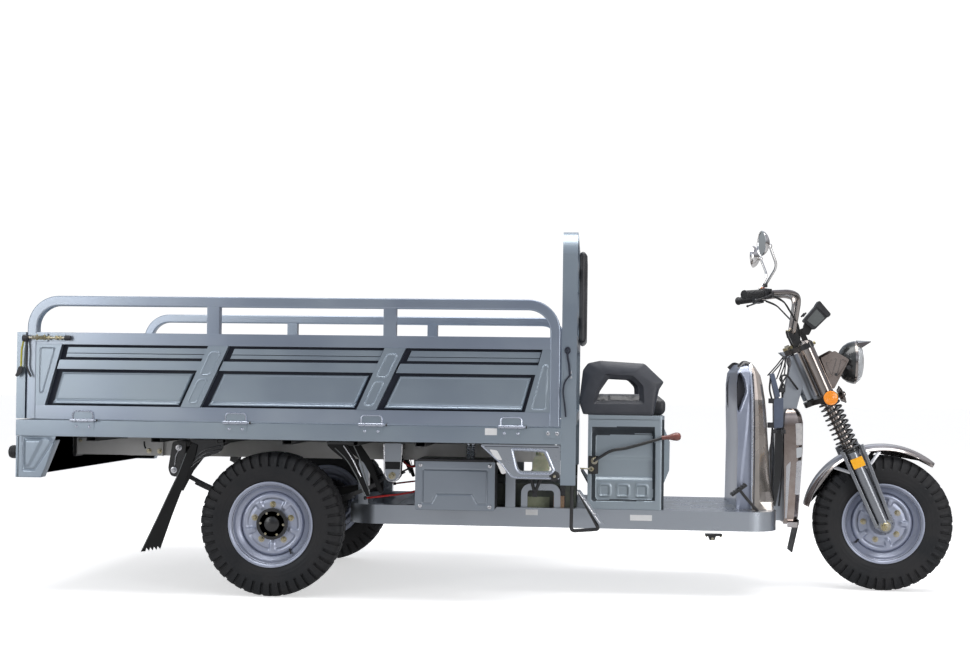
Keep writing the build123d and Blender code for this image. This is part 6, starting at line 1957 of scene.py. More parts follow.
def inner_plan(z, sides=40):
    """One plan of the rear half: flat sides, a rounded rear and a straight seam."""
    rear, seam, half = between_rows(inner_rows, z)
    points = []
    for side in (-1, 1):
        reach = np.linspace(seam, rear + 10, sides)
        pocket = distance_to(POCKET, reach, np.full(sides, float(z)))
        crease = np.clip((reach - (1846 + (z - 347) * 0.10)) / 12, 0, 1)
        into = 26 * step_in(pocket, 9) - 2.5 * bead(pocket, 9) + 2.0 * crease
        run = [(station(a), side * (half - b), z) for a, b in zip(reach, into)]
        for step in range(1, 9):
            angle = math.pi / 2 * step / 9
            run.append((station(rear + 10 + 18 * step / 9 - 10 * math.sin(angle)),
                        side * (half - 70 + 70 * math.cos(angle)), z))
        points += run if side < 0 else list(reversed(run))
    return points


inner = Shape()
levels = [347, 350, 356] + list(np.linspace(366, 730, 28)) + list(np.linspace(736, 924, 54)) + [930, 936,
        941, 944, 946]
add_stack(inner, [inner_plan(z) for z in levels])
spots = face_centres(inner)
# Faces inside each pocket take the near-black finish: painted shade in the recess.
hollow = distance_to(POCKET, spots[:, 0] - AXLE_X, spots[:, 2]) < -2
inner.looks = [2 if dark else 0 for dark in hollow & (np.abs(spots[:, 1]) > 150)]
for side in (-1, 1):
    clip = [at(1852, side * 196, 930), at(1874, side * 190, 952), at(1896, side * 186, 944)]
    add_sweep(inner, curve_points(clip, 14, 5), section_box(16, 9, 3), up=(0, 1, 0), look=1)
finish_piece("leg_shield_rear", inner, [shield_satin, gloss_black, pocket_painted_shade], "chassis",
             replaces=["leg_shield_inner"],
             crease=42)

# Height, seam, front edge, half width at the seam, half width of the front face.
outer_rows = [(347, 1908, 2001, 250, 205), (380, 1908, 2002, 250, 190), (420, 1908, 1998, 252, 150),
              (470, 1908, 1994, 252, 128), (593, 1908, 1988, 251, 120), (720, 1908, 1981, 249, 114),
              (797, 1907, 1974, 244, 108), (860, 1906, 1964, 232, 100), (899, 1905, 1955, 216, 94),
              (930, 1903, 1934, 200, 90), (948, 1902, 1918, 182, 84), (951, 1902, 1914, 176, 80)]


def outer_plan(z):
    """One facetted plan of the front half."""
    seam, front, wide, narrow = between_rows(outer_rows, z)
    foot = float(np.clip((430 - z) / 70, 0, 1))
    facet_a = (seam + 0.32 * (front - seam), wide - 1)
    facet_b = (seam + 0.62 * (front - seam), wide - (26 + 6 * math.sin(z / 60)) * (1 - foot))
    facet_c = (seam + 0.86 * (front - seam), narrow + (wide - narrow) * (0.42 + 0.45 * foot))
    facet_d = (front, narrow)
    bow = (front + 0, narrow * 0.5)
    half = [(seam, wide), facet_a, facet_b, facet_c, facet_d, bow]
    return ([(station(a), -b, z) for a, b in half] + [(station(a), b, z) for a, b in reversed(half)])


outer = Shape()
add_stack(outer, [outer_plan(z) for z in [347, 352, 380, 420, 470, 530, 593, 660, 720, 760, 797, 830, 860,
                                          899, 930,
                                          942, 948, 951]])
spots = face_centres(outer)
# The upper front facets take the pale copy of the finish: a painted highlight.
lit = (spots[:, 2] > 800) & (spots[:, 2] < 935) & (spots[:, 0] - AXLE_X < 1950)
outer.looks = [3 if light else 0 for light in lit]
for side in (-1, 1):
    lip = [at(1906, side * 246, 350), at(1906, side * 250, 500), at(1906, side * 249, 700),
           at(1904, side * 240, 830),
           at(1902, side * 214, 905), at(1900, side * 186, 940)]
    add_sweep(outer, curve_points(lip, 60, 6), section_box(9, 7, 2), up=(0, 1, 0), look=1)
    # A near-black strip just ahead of the lip: painted shade beside the seam.
    dark = [at(1915, side * 249, 350), at(1915, side * 251, 500), at(1915, side * 250, 700),
            at(1912, side * 242, 830),
            at(1909, side * 216, 905)]
    add_sweep(outer, curve_points(dark, 60, 6), section_box(4, 6, 1), up=(0, 1, 0), look=2)
finish_piece("leg_shield_front", outer, [warm_gloss, hinge_steel, dark_navy_and_painted_shade, facet_painted_highlight], "chassis",
             bevel=1.6,
             replaces=["leg_shield_outer"], crease=16)
print("shields ready")

# %% [markdown]
# ## Front panel
#
# In front of the frame's column hangs a chromed brown panel with a lighter window down its side
# and a small clear marker near the top.  Below it a thin rubber flap leans back.

# %% Panel with its window, marker, foot cap and flap
fairing = Shape()
panel_rows = [(279, 2060, 2122, 62), (300, 2062, 2126, 80), (430, 2060, 2133, 84), (591, 2058, 2142, 85),
              (700, 2058, 2142, 84), (740, 2062, 2134, 78), (760, 2074, 2120, 60)]


def panel_plan(z):
    """One plan of the front panel."""
    rear, front, half = between_rows(panel_rows, z)
    outline = [(rear, half), (rear + 14, half + 1), (front - 24, half), (front - 8, half - 14),
               (front, half - 40)]
    return ([(station(a), -b, z) for a, b in outline] + [(station(a), b, z) for a, b in reversed(outline)])


add_stack(fairing, [panel_plan(z) for z in np.linspace(279, 760, 34)])
for side in (-1, 1):
    for shape_line, look, depth in (
            ([(2104, 700), (2130, 700), (2133, 610), (2108, 606)], 1,
             3), ([(2108, 596), (2132, 600), (2131, 560), (2110, 552)], 2, 3),
            ([(2110, 540), (2131, 545), (2124, 400), (2104, 400)], 3,
             2), ([(2068, 520), (2086, 540), (2072, 300), (2064, 300)], 3, 2)):
        y = sorted((side * (78 if shape_line[0][0] > 2100 else 84), side * (84 + depth)))
        add_plate(fairing, [(station(a), b) for a, b in smooth_corners(shape_line, 5, 3)], y, look=look)
    add_box(fairing, (station(2078), station(2118)), sorted((side * 50, side * 80)), (262, 284), 4)
flap_line = [(2121, 292), (2127, 292), (2126, 276), (2100, 154), (2095, 156), (2120, 278)]
add_plate(fairing, [(station(a), b) for a, b in flap_line], (-60, 60), look=5)
for low in (320, 500):
    add_box(fairing, (station(2062), station(2064) + 4), (-20, 20), (low, low + 24), 4)
finish_piece("front_panel", fairing, [warm_chrome, clear_marker, mirror_glass, bright_steel, gloss_silver,
                                      soft_rubber],
             "chassis", bevel=1.4, replaces=["front_fairing"], crease=30)
print("front panel ready")

# %% [markdown]
# ## Neck and wiring behind the shields
#
# The frame's column is painted silver.  Around it sit a relay box, connectors and a bundle of
# wires, all of which show in the gap between the shields and the front panel.

# %% Gussets, boxes and wires
neck = Shape()
for side in (-1, 1):
    y = sorted((side * 31, side * 36))
    add_plate(neck, [(station(a), b) for a, b in [(2043, 998), (2112, 1003), (2072, 972)]], y, look=0)
    for root, tip in (((2071, 985), (2003, 899)), ((2071, 985), (2041, 884)), ((2075, 975), (2075, 905))):
        add_sweep(neck, [at(root[0], side * 38, root[1]),
                         at((root[0] + tip[0]) / 2 + 3, side * 44, (root[1] + tip[1]) / 2),
                         at(tip[0], side * 46, tip[1])], section_circle(3.0, 8), look=1)
box_a = [(1996, 905), (2014, 908), (2040, 812), (2020, 800)]
add_plate(neck, [(station(a), b) for a, b in box_a], (-88, -52), look=2)
add_plate(neck, [(station(a), b) for a, b in smooth_corners([(2012, 800), (2052, 806), (2052, 682),
                                                             (2014, 676)], 6, 3)],
          (-96, -50), look=2)
add_plate(neck, [(station(a), b) for a, b in [(2020, 668), (2050, 672), (2054, 610), (2046, 470),
                                              (2024, 350), (2016, 352)]],
          (-90, -60), look=3)
for reach, z, size in ((2006, 792, 13), (2048, 838, 12), (2004, 690, 14), (2052, 664, 11), (2018, 664, 10)):
    add_box(neck, (station(reach) - size, station(reach) + size), (-94, -66),
            (z - size * 0.8, z + size * 0.8), 4)
for start, middle_point, end in (((2003, 899), (1994, 840), (2006, 800)),
                                 ((2041, 884), (2060, 850), (2050, 820)),
                                 ((2075, 905), (2040, 860), (2030, 800)), ((2012, 680), (2002, 560),
                                         (2014, 360)),
                                 ((2044, 676), (2056, 540), (2040, 350))):
    path = curve_points([at(start[0], -60, start[1]), at(middle_point[0], -84, middle_point[1]),
                         at(end[0], -78, end[1])],
                        60, 7)
    add_sweep(neck, path, section_circle(4.2, 8), look=4)
loop = [at(2052, -64, 806), at(2046, -70, 900), at(2070, -66, 902), at(2104, -58, 858), at(2118, -46, 842)]
add_sweep(neck, curve_points(loop, 18, 6), section_circle(4.6, 8), look=4)
finish_piece("neck_wiring", neck, [silver_paint, black_plastic, column_blue, gloss_black, black_plastic],
             "chassis",
             bevel=1.2)
print("neck ready")
# %% [markdown]
# ## Bed rails and the rear corners
#
# The bed's outer rails are folded channels in the same paint as the gates, while the members under
# the floor are a plain dull grey and mostly in shadow.  The rear panel folds round each corner into
# a wing, with a raised four-sided pad and a bead that follows its slanted edge.

# %% Rails, cross members and corner wings
RAIL_LOW, RAIL_HIGH = 620.0, 683.0
BED_REAR, BED_FRONT = -1002.0, 1135.0
CROSS_LOW = node_box("bed_frame")[0][2]
CROSS_WIDTH, CROSS_GAPS = 40.0, 8
rails = Shape()
for side in (-1, 1):
    outer, inner = side * HALF_BED, side * (HALF_BED - 60)
    add_box(rails, (station(BED_REAR), station(BED_FRONT)), sorted((outer, inner)), (RAIL_LOW, RAIL_HIGH),
            0)
for reach in (BED_REAR, BED_FRONT - 40):
    add_box(rails, (station(reach), station(reach + 40)), (-640, 640), (RAIL_LOW, RAIL_HIGH), 0)
pitch = (BED_FRONT - BED_REAR - CROSS_WIDTH) / CROSS_GAPS
for number in range(1, CROSS_GAPS):
    x = station(BED_REAR) + number * pitch
    for low, high in ((0, 3), (37, 40)):
        add_box(rails, (x + low, x + high), (-640, 640), (CROSS_LOW + 2, RAIL_HIGH - 5), 1)
    add_box(rails, (x, x + 40), (-640, 640), (CROSS_LOW, CROSS_LOW + 3), 1)
finish_piece("bed_rails", rails, [bed_paint, dark_steel], "chassis", bevel=1.6, replaces=["bed_frame"])

wings = Shape()
PAD = smooth_corners([(-965, 602), (-897, 602), (-948, 503), (-964, 503)], 9, 4)
FOLD = [(-972, 614), (-969, 488), (-928, 487), (-856, 600), (-868, 611)]


def wing_relief(x, z):
    """Height of the wing's pressing."""
    reach = x - AXLE_X
    return 6.0 * step_in(distance_to(PAD, reach, z), 9) - 4.5 * bead(distance_to(FOLD, reach, z), 5.5)


for side in (-1, 1):
    add_pressed(wings, [(station(-1002), side * 694, 457), (station(-900), side * 694, 457),
                        (station(-842), side * 694, 619), (station(-1002), side * 694, 619)], (54, 54),
                wing_relief, 4, (0, side, 0), 0)
    lip = [at(-1002, side * 672, 459), at(-900, side * 672, 459), at(-843, side * 672, 604)]
    add_sweep(wings, lip, section_box(3, 44, 1), up=(0, 1, 0), look=0)
    # A near-black lining inside the wing: painted shade.
    lining = [(-996, 458), (-902, 458), (-846, 602), (-846, 618), (-996, 618)]
    add_plate(wings, [(station(a), b) for a, b in lining], sorted((side * 686, side * 689)), look=1)
# A near-black plate behind the rear panel: painted shade.
add_box(wings, (station(-994), station(-991)), (-690, 690), (458, 618), 1)
REAR_PADS = [smooth_corners([(low, 478), (high, 478), (high, 600), (low, 600)], 16, 5)
             for low, high in ((-380, -30), (30, 380))]


def rear_relief(y, z):
    """Height of the rear panel's pressing."""
    depth = 0.0 * y
    for pad in REAR_PADS:
        depth = depth + 4.0 * step_in(distance_to(pad, y, z), 9)
    return depth - 4.0


add_pressed(wings, [(station(-998), -694, 457), (station(-998), 694, 457), (station(-998), 694, 619),
                    (station(-998), -694, 619)], (150, 26), rear_relief, 3, (-1, 0, 0), 0)
finish_piece("rear_panel", wings, [bed_paint, underside_painted_shade], "chassis", replaces=["rear_bumper"],
             crease=40)

# %% Buffers and lamps on the rear panel
tail = Shape()
for side in (-1, 1):
    root = at(-1002, side * 600, 551)
    stud = [(18, 0), (18, 10), (24, 14), (26, 22), (26, 56), (23, 63), (16, 66.5), (0.5, 67)]
    add_lathe(tail, stud, root, (-1, 0, 0), 36, 0)
    for ring in (28, 38, 48):
        add_lathe(tail, [(26.0, ring - 2), (26.8, ring - 1), (26.8, ring + 1), (26.0, ring + 2)], root,
                  (-1, 0, 0), 36, 0,
                  closed=False)
    y = sorted((side * 400, side * 550))
    add_box(tail, (station(-1012), station(-1002)), y, (520, 600), 1)
    third = (y[1] - y[0] - 12) / 3
    for part in range(3):
        low = y[0] + 4 + part * (third + 2)
        add_box(tail, (station(-1026), station(-1010)), (low, low + third), (526, 594), (2, 3, 2)[part])
        for rib in range(7):
            z = 532 + rib * 9
            add_box(tail, (station(-1027.2), station(-1025)), (low + 3, low + third - 3), (z, z + 4),
                    (2, 3, 2)[part])
finish_piece("buffers_and_lamps", tail, [soft_rubber, black_plastic, red_lens, amber], "chassis", bevel=1.2,
             replaces=["buffers", "tail_lamps"])
print("rear end ready")

# %% [markdown]
# ## Main beams, shackles and hangers
#
# Under the bed run two beams of beige-grey box section.  Behind the axle a plate is bolted to each
# beam; in front of it a U-shaped hanger holds the spring's eye.

# %% Bolted plates and spring hangers
gear = Shape()
for side in (-1, 1):
    face = side * 350.0
    y = sorted((face, face + side * 4))
    add_box(gear, (station(-674), station(-521)), y, (531, 606), 0)
    add_box(gear, (station(-523), station(-519)), sorted((face, face + side * 16)), (531, 606), 0)
    for reach, z, radius in ((-581, 550, 8), (-537, 551, 8)):
        add_lathe(gear, [(radius + 3, 0), (radius + 3, 2), (radius, 3)], at(reach, face + side * 4, z),
                  (0, side, 0), 20, 1)
        add_hex(gear, at(reach, face + side * 7, z), np.array((0.0, side, 0.0)), radius - 1, 5, 1)
    add_hex(gear, at(-878, face, 590), np.array((0.0, side, 0.0)), 7, 5, 1)
    # A near-black slot line on the bolted plate: painted shade in the slot.
    slot_line = [at(-603, face + side * 4.4, 590), at(-602, face + side * 4.4, 572),
                 at(-596, face + side * 4.4, 560)]
    add_sweep(gear, curve_points(slot_line, 10, 5), section_box(7, 2, 0.8), up=(0, 1, 0), look=2)
    add_box(gear, (station(-905), station(-892)), sorted((face - side * 66, face + side * 8)), (524, 612),
            3)
    add_box(gear, (station(-872), station(-858)), sorted((face, face + side * 14)), (606, 616), 3)
    hanger = smooth_corners([(418, 604), (498, 604), (492, 474), (476, 450), (438, 450), (424, 474)], 16, 5)
    near = side * 462.0
    add_plate(gear, [(station(a), b) for a, b in hanger], sorted((near, near + side * 3)), look=4)
    rim = [at(a, near + side * 4, b) for a, b in [(421, 600), (426, 476), (440, 453), (474, 453),
                                                  (489, 476), (495, 600)]]
    add_sweep(gear, curve_points(rim, 16, 5), section_circle(3.2, 8), up=None, look=5)
    # A near-black band across the hanger: painted shade.
    add_box(gear, (station(425), station(491)), sorted((near + side * 2.6, near + side * 4.2)), (500, 530),
            2)
    add_lathe(gear, [(15, 0), (15, 3), (10, 4)], at(456, near + side * 3, 474), (0, side, 0), 24, 1)
    add_hex(gear, at(456, near + side * 7, 474), np.array((0.0, side, 0.0)), 9, 6, 1)
    shackle = smooth_corners([(-446, 598), (-390, 598), (-402, 500), (-424, 452), (-452, 456),
                              (-464, 486)], 12, 4)
    add_plate(gear, [(station(a), b) for a, b in shackle], sorted((near, near + side * 3)), look=3)
    for reach, z in ((-420, 572), (-439, 480)):
        add_lathe(gear, [(13, 0), (13, 3), (9, 4)], at(reach, near + side * 3, z), (0, side, 0), 22, 5)
        add_hex(gear, at(reach, near + side * 7, z), np.array((0.0, side, 0.0)), 8.5, 6, 5)
    link = [at(-421, near + side * 5, 560), at(-432, near + side * 5, 540), at(-436, near + side * 5, 500)]
    add_sweep(gear, curve_points(link, 10, 4), section_circle(2.4, 8), look=5)
    for reach in (766, 784):
        pipe = [(8, 0)] + [(9 if n % 2 else 7.4, 4 * n) for n in range(1, 17)] + [(8, 68)]
        add_lathe(gear, pipe, at(reach, side * 500, 541), (0, 0, 1), 18, 4)
finish_piece("chassis_fittings", gear, [beam_paint, zinc, cavity_painted_shade, black_steel, silver_paint,
                                        bright_steel],
             "chassis", bevel=0.8)
print("beams ready")

# %% [markdown]
# ## Mudflaps
#
# Behind each rear wheel a long rubber strap hangs from a triangular black bracket and ends in a
# row of teeth.  In front, a curved flap follows the tyre.

# %% Straps, brackets and front flaps
flaps = Shape()
for side in (-1, 1):
    outer = side * 640.0
    strap = [(-312, 600), (-334, 560), (-364, 478), (-392, 420), (-440, 315), (-509, 169)]
    back = [(-292, 592), (-300, 548), (-326, 478), (-352, 412), (-388, 315), (-434, 181)]
    teeth = []
    for tooth in range(5):
        share = (tooth + 0.5) / 5
        teeth.append((-509 + 75 * share - 3, 168 + 12 * share + 14))
        teeth.append((-509 + 75 * (tooth + 1) / 5, 168 + 12 * (tooth + 1) / 5))
    line = strap + teeth[:-1] + list(reversed(back))
    add_plate(flaps, [(station(a), b) for a, b in line], sorted((outer - side * 5, outer)), look=0)
    # A grey bead along the strap's front edge: a painted highlight.
    front_edge = [at(a - 1, outer, b) for a, b in strap[1:]]
    add_sweep(flaps, curve_points(front_edge, 30, 5), section_circle(2.0, 6), look=1)
    bracket = smooth_corners([(-312, 612), (-188, 612), (-190, 578), (-210, 560), (-262, 545), (-300, 520),
                              (-322, 500)],
                             10, 4)
    add_plate(flaps, [(station(a), b) for a, b in bracket], sorted((outer - side * 14, outer - side * 8)),
              look=2)
    for run in ([(-300, 545), (-262, 575), (-200, 590)], [(-306, 525), (-262, 560), (-196, 576)],
                [(-326, 508), (-280, 545), (-240, 552)]):
        path = [at(a, outer - side * 6, b) for a, b in run]
        add_sweep(flaps, curve_points(path, 24, 6), section_circle(3.4, 8), look=2)
    add_box(flaps, (station(-320), station(-190)), sorted((side * 480, outer - side * 6)), (604, 614), 2)
    wedge = [(-300, 545), (-186, 604), (-320, 604), (-360, 500), (-400, 402), (-392, 398), (-350, 480)]
    add_plate(flaps, [(station(a), b) for a, b in wedge], sorted((side * 486, side * 490)), look=0)
    front = [(222, 604), (300, 604), (345, 540), (372, 470), (398, 408), (384, 402), (352, 466),
             (318, 525), (272, 560),
             (240, 585)]
    add_plate(flaps, [(station(a), b) for a, b in smooth_corners(front, 8, 4)],
              sorted((outer - side * 6, outer)), look=0)
    inner_front = [(a + 26, b) for a, b in front]
    add_plate(flaps, [(station(a), b) for a, b in smooth_corners(inner_front, 8, 4)],
              sorted((side * 482, side * 487)), look=0)
    # Raised ribs on the front flap; their grey and steel colours are a painted highlight.
    for run, shine in (([(256, 590), (302, 548), (344, 480), (376, 410)], 1),
                       ([(330, 600), (360, 540), (396, 412)], 1),
                       ([(290, 600), (326, 548), (360, 480)], 3)):
        path = [at(a, outer + side * 0.5, b) for a, b in run]
        add_sweep(flaps, curve_points(path, 26, 6), section_circle(2.2, 6), look=shine)
    add_box(flaps, (station(225), station(330)), sorted((side * 480, outer)), (604, 614), 2)
finish_piece("mudflap_straps", flaps, [flap_black, meter_grey, gloss_black, bright_steel], "chassis",
             bevel=0.6,
             replaces=["mudflaps"])
print("mudflaps ready")

# %% [markdown]
# ## Side boxes, guards and what hangs between them
#
# A flat cover with a stepped outline closes each side box.  In front of it a cast guard has two
# pale windows and one six-sided opening, through which the brake fluid bottle shows.

# %% Box covers
covers = Shape()
COVER = [(593, 508), (845, 508), (845, 376), (808, 376), (787, 412), (646, 412), (628, 376), (593, 376)]


def cover_relief(x, z):
    """Height of the cover's pressed outline."""
    line = distance_to(COVER, x - AXLE_X, z)
    return 2.2 * step_in(line, 5) - 3.4 * bead(line, 4.5)


for side in (-1, 1):
    face = side * 560.0
    add_pressed(covers, [(station(562), face, 350), (station(876), face, 350), (station(876), face, 540),
                         (station(562), face, 540)], (118, 72), cover_relief, 3.5, (0, side, 0), 0)
    # A near-black block inside the side box, behind its cover: painted shade.
    add_box(covers, (station(566), station(872)), sorted((side * 352, face - side * 4)), (349, 536), 1)
    add_box(covers, (station(570), station(868)), sorted((side * 352, face + side * 3)), (540.5, 548), 2)
    for reach in (582, 856):
        for z in (365, 525):
            add_lathe(covers, [(8, 0), (8, 1.6), (6, 3.4), (0.5, 4.2)], at(reach, face, z), (0, side, 0),
                      18, 3)
            add_box(covers, (station(reach) - 5, station(reach) + 5),
                    sorted((face + side * 4, face + side * 4.6)),
                    (z - 0.8, z + 0.8), 2)
finish_piece("side_box_covers", covers, [cover_paint, cavity_painted_shade, black_plastic, bright_steel], "chassis",
             replaces=["side_boxes"], crease=40)

# %% Guards, hoses, bottle, battery labels and cable
guards = Shape()
HOLE = smooth_corners([(956, 594), (1070, 590), (1102, 524), (1094, 518), (984, 518), (974, 528)], 9, 4)
OUTLINE = smooth_corners([(829, 617), (1134, 617), (1134, 487), (964, 487), (946, 492), (906, 546)], 8, 4)


for side in (-1, 1):
    face = side * 700.0
    y = sorted((face - side * 24, face - side * 1))
    add_plate(guards, [(station(a), b) for a, b in OUTLINE], y, [[(station(a), b) for a, b in HOLE]],
              look=0)
    ring = [at(a, face - side * 1.5, b) for a, b in smooth_corners([(948, 601), (1078, 597), (1112, 520),
                                                                    (1100, 508),
                                                                    (980, 508), (966, 524)], 10, 4)]
    add_sweep(guards, ring, section_circle(4.6, 8), closed=True, look=1)
    edge = [at(833, face - side * 1.5, 612), at(908, face - side * 1.5, 546),
            at(948, face - side * 1.5, 497),
            at(966, face - side * 1.5, 492), at(1130, face - side * 1.5, 491)]
    add_sweep(guards, curve_points(edge, 16, 5), section_circle(3.2, 8), look=1)
    top_line = [at(846, face - side * 1, 609), at(1128, face - side * 1, 609)]
    add_sweep(guards, top_line, section_box(2, 4, 0.8), up=(0, 1, 0), look=5)
    for window in ([(864, 598), (894, 594), (914, 557), (888, 560)],
                   [(891, 549), (916, 546), (930, 508), (912, 504)]):
        add_plate(guards, [(station(a), b) for a, b in smooth_corners(window, 5, 3)],
                  sorted((face - side * 3, face + side * 0.6)), look=2)
    add_lathe(guards, [(20, -4), (21, 0), (20, 5), (15, 8), (7, 9), (6.5, 12), (0.5, 12.5)],
              at(1113, face - side * 6, 500),
              (0, side, 0), 28, 3)
    add_lathe(guards, [(6, 0), (5.6, 2.4), (0.4, 3)], at(1113, face + side * 6, 500), (0, side, 0), 16, 4)
    for start, end in ((1019, 1035), (1059, 1035)):
        hose = [at(start, side * 612, 488), at(start + (end - start) * 0.6, side * 606, 452),
                at(end, side * 600, 424)]
        add_sweep(guards, curve_points(hose, 26, 6), section_circle(7.0, 10), look=3)
    add_box(guards, (station(1026), station(1044)), sorted((side * 592, side * 610)), (412, 430), 3)
finish_piece("guard_castings", guards, [silver_paint, hinge_steel, blank_label, soft_rubber, zinc,
                                        dark_navy_and_painted_shade],
             "chassis", bevel=2.4, segments=3, replaces=["side_guards"])

loose = Shape()
bottle = smooth_corners([(1020, 506), (1088, 506), (1078, 566), (1036, 570), (1024, 556)], 8, 4)
add_plate(loose, [(station(a), b) for a, b in bottle], (-510, -440), look=0)
cap_ribs = [(19, 0), (20, 2), (20, 14), (17, 18), (0.5, 19)]
add_lathe(loose, cap_ribs, at(1052, -475, 568), (0, 0, 1), 24, 0)
for z in (520, 533, 546):
    add_box(loose, (station(1025), station(1086)), (-511.5, -509), (z, z + 2), 0)
add_box(loose, (station(1012), station(1072)), (-510, -350), (501, 505), 1)
add_box(loose, (station(1012), station(1072)), (-354, -350), (505, 600), 1)
finish_piece("bottle_moulded", loose, [cream_plastic, beam_paint], "chassis", bevel=2.6, segments=3,
             replaces=["fluid_bottle"])

labels = Shape()
for low, high, y, z in ((846, 892, 700, (652, 678)), (988, 1038, 355, (317, 340)),
                        (1410, 1498, 355, (304, 327))):
    for side in (-1, 1):
        add_box(labels, (station(low), station(high)), sorted((side * (y - 0.5), side * (y + 0.7))), z, 0)
for side in (-1, 1):
    add_box(labels, (station(966), station(1082)), sorted((side * 279, side * 281)), (346, 386), 1)
    add_box(labels, (station(1098), station(1143)), sorted((side * 280, side * 300)), (347, 392), 2)
    cable = [at(338, side * 402, 377), at(420, side * 412, 388), at(500, side * 404, 398),
             at(562, side * 390, 414)]
    add_sweep(labels, curve_points(cable, 40, 6), section_circle(4.2, 10), look=3)
    short = [at(488, side * 400, 532), at(506, side * 404, 516), at(530, side * 396, 505),
             at(560, side * 384, 520)]
    add_sweep(labels, curve_points(short, 14, 5), section_circle(4.6, 10), look=3)
    for reach, z in ((338, 377), (562, 414), (488, 532)):
        add_lathe(labels, [(7, -6), (8, 0), (7, 6)], at(reach, side * 400, z), (1, 0, 0.2), 14, 4)
    strap = [at(1135, side * 282, 440), at(1135, side * 284, 300)]
    add_sweep(labels, strap, section_box(24, 3, 1), up=(0, 1, 0), look=4)
finish_piece("labels_and_cables", labels, [blank_label, battery_label, wood_brown, red_cable, gloss_black],
             "chassis",
             bevel=0.3)
print("sides ready")

# %% [markdown]
# ## Steps
#
# A bent black rod hangs below the headboard as a step, with a silver wedge plate over its front
# leg.

# %% Step loops and wedge plates
steps = Shape()
for side in (-1, 1):
    y = side * 670.0
    loop = [at(1180, y, 466), at(1178, y, 291), at(1284, y, 300), at(1206, y, 440)]
    add_sweep(steps, curve_points(loop, [0, 16, 14, 0], 7), section_circle(7.0, 14), look=0)
    wedge_line = [(1199, 447), (1211, 447), (1305, 320), (1290, 316), (1280, 322)]
    add_plate(steps, [(station(a), b) for a, b in wedge_line], sorted((y - side * 18, y + side * 18)),
              look=1)
    fold = [at(1205, y + side * 18.5, 440), at(1288, y + side * 18.5, 324)]
    add_sweep(steps, fold, section_circle(1.8, 6), look=2)
    for reach, z in ((1226, 414), (1266, 358)):
        add_hex(steps, at(reach, y + side * 18, z), np.array((0.0, side, 0.0)), 5, 4, 2)
finish_piece("step_loops", steps, [black_steel, silver_paint, bright_steel], "chassis", bevel=0.8,
             replaces=["steps"])
print("steps ready")
# %% [markdown]
# ## Latches and bolted plates
#
# At the rear corner of each side gate a plated rod passes through a painted block and a black
# bushing, and two levers hang from it: a yellow one and a black one with a flared tip.  At the
# front corner the gate is held by a strap latch on the headboard.

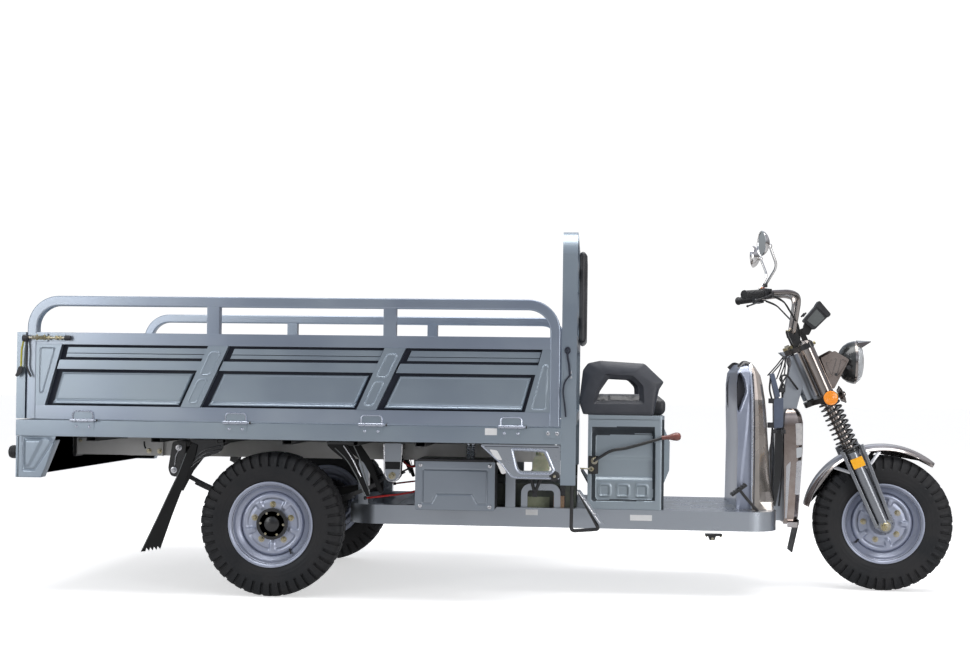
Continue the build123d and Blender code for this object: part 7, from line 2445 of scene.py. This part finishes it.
# %% Rear latches
for side, body, number in ((-1, "side_gate_right", "right"), (1, "side_gate_left", "left")):
    latch = Shape()
    face = side * HALF_BED

    def out(reach, depth, z):
        """A point on the gate, so far out from its face."""
        return at(reach, face + side * depth, z)

    add_box(latch, (station(-930), station(-876)), sorted((face, face + side * 9)), (991, 1021), 0)
    add_box(latch, (station(-858), station(-806)), sorted((face, face + side * 3)), (993, 1020), 0)
    rod_line = [out(-962, 12, 1005), out(-800, 12, 1005)]
    add_sweep(latch, rod_line, section_circle(4.4, 12), look=1)
    coil = [out(-938 + 0.5 * n, 12, 1005) + np.array((0, 7.5 * math.sin(n * 0.9), 7.5 * math.cos(n * 0.9)))
            for n in range(124)]
    add_sweep(latch, coil, section_circle(1.3, 6), look=1)
    for reach in (-872, -842, -826):
        add_hex(latch, out(reach, 12, 1005), np.array((1.0, 0.0, 0.0)), 9.5, 8, 1)
    add_lathe(latch, [(6, 0), (10, 2), (10, 22), (7, 25)], out(-806, 12, 1005), (1, 0, 0), 20, 3)
    add_lathe(latch, [(9, 0), (14, 2), (14, 20), (10, 23)], out(-974, 12, 1002), (1, 0, 0), 24, 3)
    yellow = [out(-968, 14, 1000), out(-976, 16, 960), out(-978, 15, 885)]
    add_sweep(latch, curve_points(yellow, 12, 5), section_box(5, 9, 1.5), up=(0, 1, 0), look=2)
    tip = [(-986, 892), (-970, 892), (-974, 866), (-992, 850), (-1000, 856), (-994, 866)]
    add_plate(latch, [(station(a), b) for a, b in smooth_corners(tip, 4, 3)],
              sorted((face + side * 13, face + side * 20)), look=3)
    black = [out(-958, 14, 994), out(-954, 16, 950), out(-956, 15, 890), out(-938, 14, 852)]
    add_sweep(latch, curve_points(black, 14, 5), section_box(6, 9, 1.5), up=(0, 1, 0), look=3)
    for reach, z in ((-918, 998), (-888, 998), (-918, 1014), (-888, 1014)):
        add_lathe(latch, [(4, 0), (3.4, 2), (0.4, 2.6)], out(reach, 9, z), (0, side, 0), 12, 1)
    finish_piece("gate_latch_" + number, latch, [bed_paint, zinc, latch_yellow, black_plastic], body,
                 bevel=0.8)
print("latches ready")

# %% Headboard plates and strap latches
front = Shape()
for side in (-1, 1):
    face = side * HALF_BED

    def out(reach, depth, z):
        """A point outside the bed's side face."""
        return at(reach, face + side * depth, z)

    base = smooth_corners([(1074, 645), (1136, 645), (1136, 673), (1074, 673)], 4, 3)
    add_plate(front, [(station(a), b) for a, b in base], sorted((face, face + side * 4)), look=0)
    for reach in (1087, 1121):
        add_lathe(front, [(8, 0), (8, 2), (6, 4.4), (0.5, 5)], out(reach, 4, 661), (0, side, 0), 18, 1)
    strap_line = [out(1157, 5, 992), out(1156, 5, 960), out(1163, 6, 925), out(1167, 7, 882)]
    add_sweep(front, curve_points(strap_line, 12, 5), section_circle(4.0, 10), look=2)
    eye = [out(1157 + 9 * math.cos(a), 5, 978 + 12 * math.sin(a)) for a in np.linspace(0, 2 * math.pi,
            17)[:-1]]
    add_sweep(front, eye, section_circle(2.8, 8), closed=True, look=2)
    lever_line = [out(1168, 7, 886), out(1146, 8, 858), out(1141, 8, 820), out(1150, 7, 760),
                  out(1153, 6, 726)]
    add_sweep(front, curve_points(lever_line, 16, 6), section_box(6, 12, 2), up=(0, 1, 0), look=2)
    add_box(front, (station(1144), station(1176)), sorted((face, face + side * 4)), (868, 902), 0)
    for z in (876, 894):
        add_lathe(front, [(5, 0), (4.4, 2.4), (0.4, 3)], out(1171, 4, z), (0, side, 0), 12, 1)
finish_piece("headboard_latches", front, [bed_paint, bright_steel, dark_navy_and_painted_shade], "chassis", bevel=0.8)
print("headboard fittings ready")
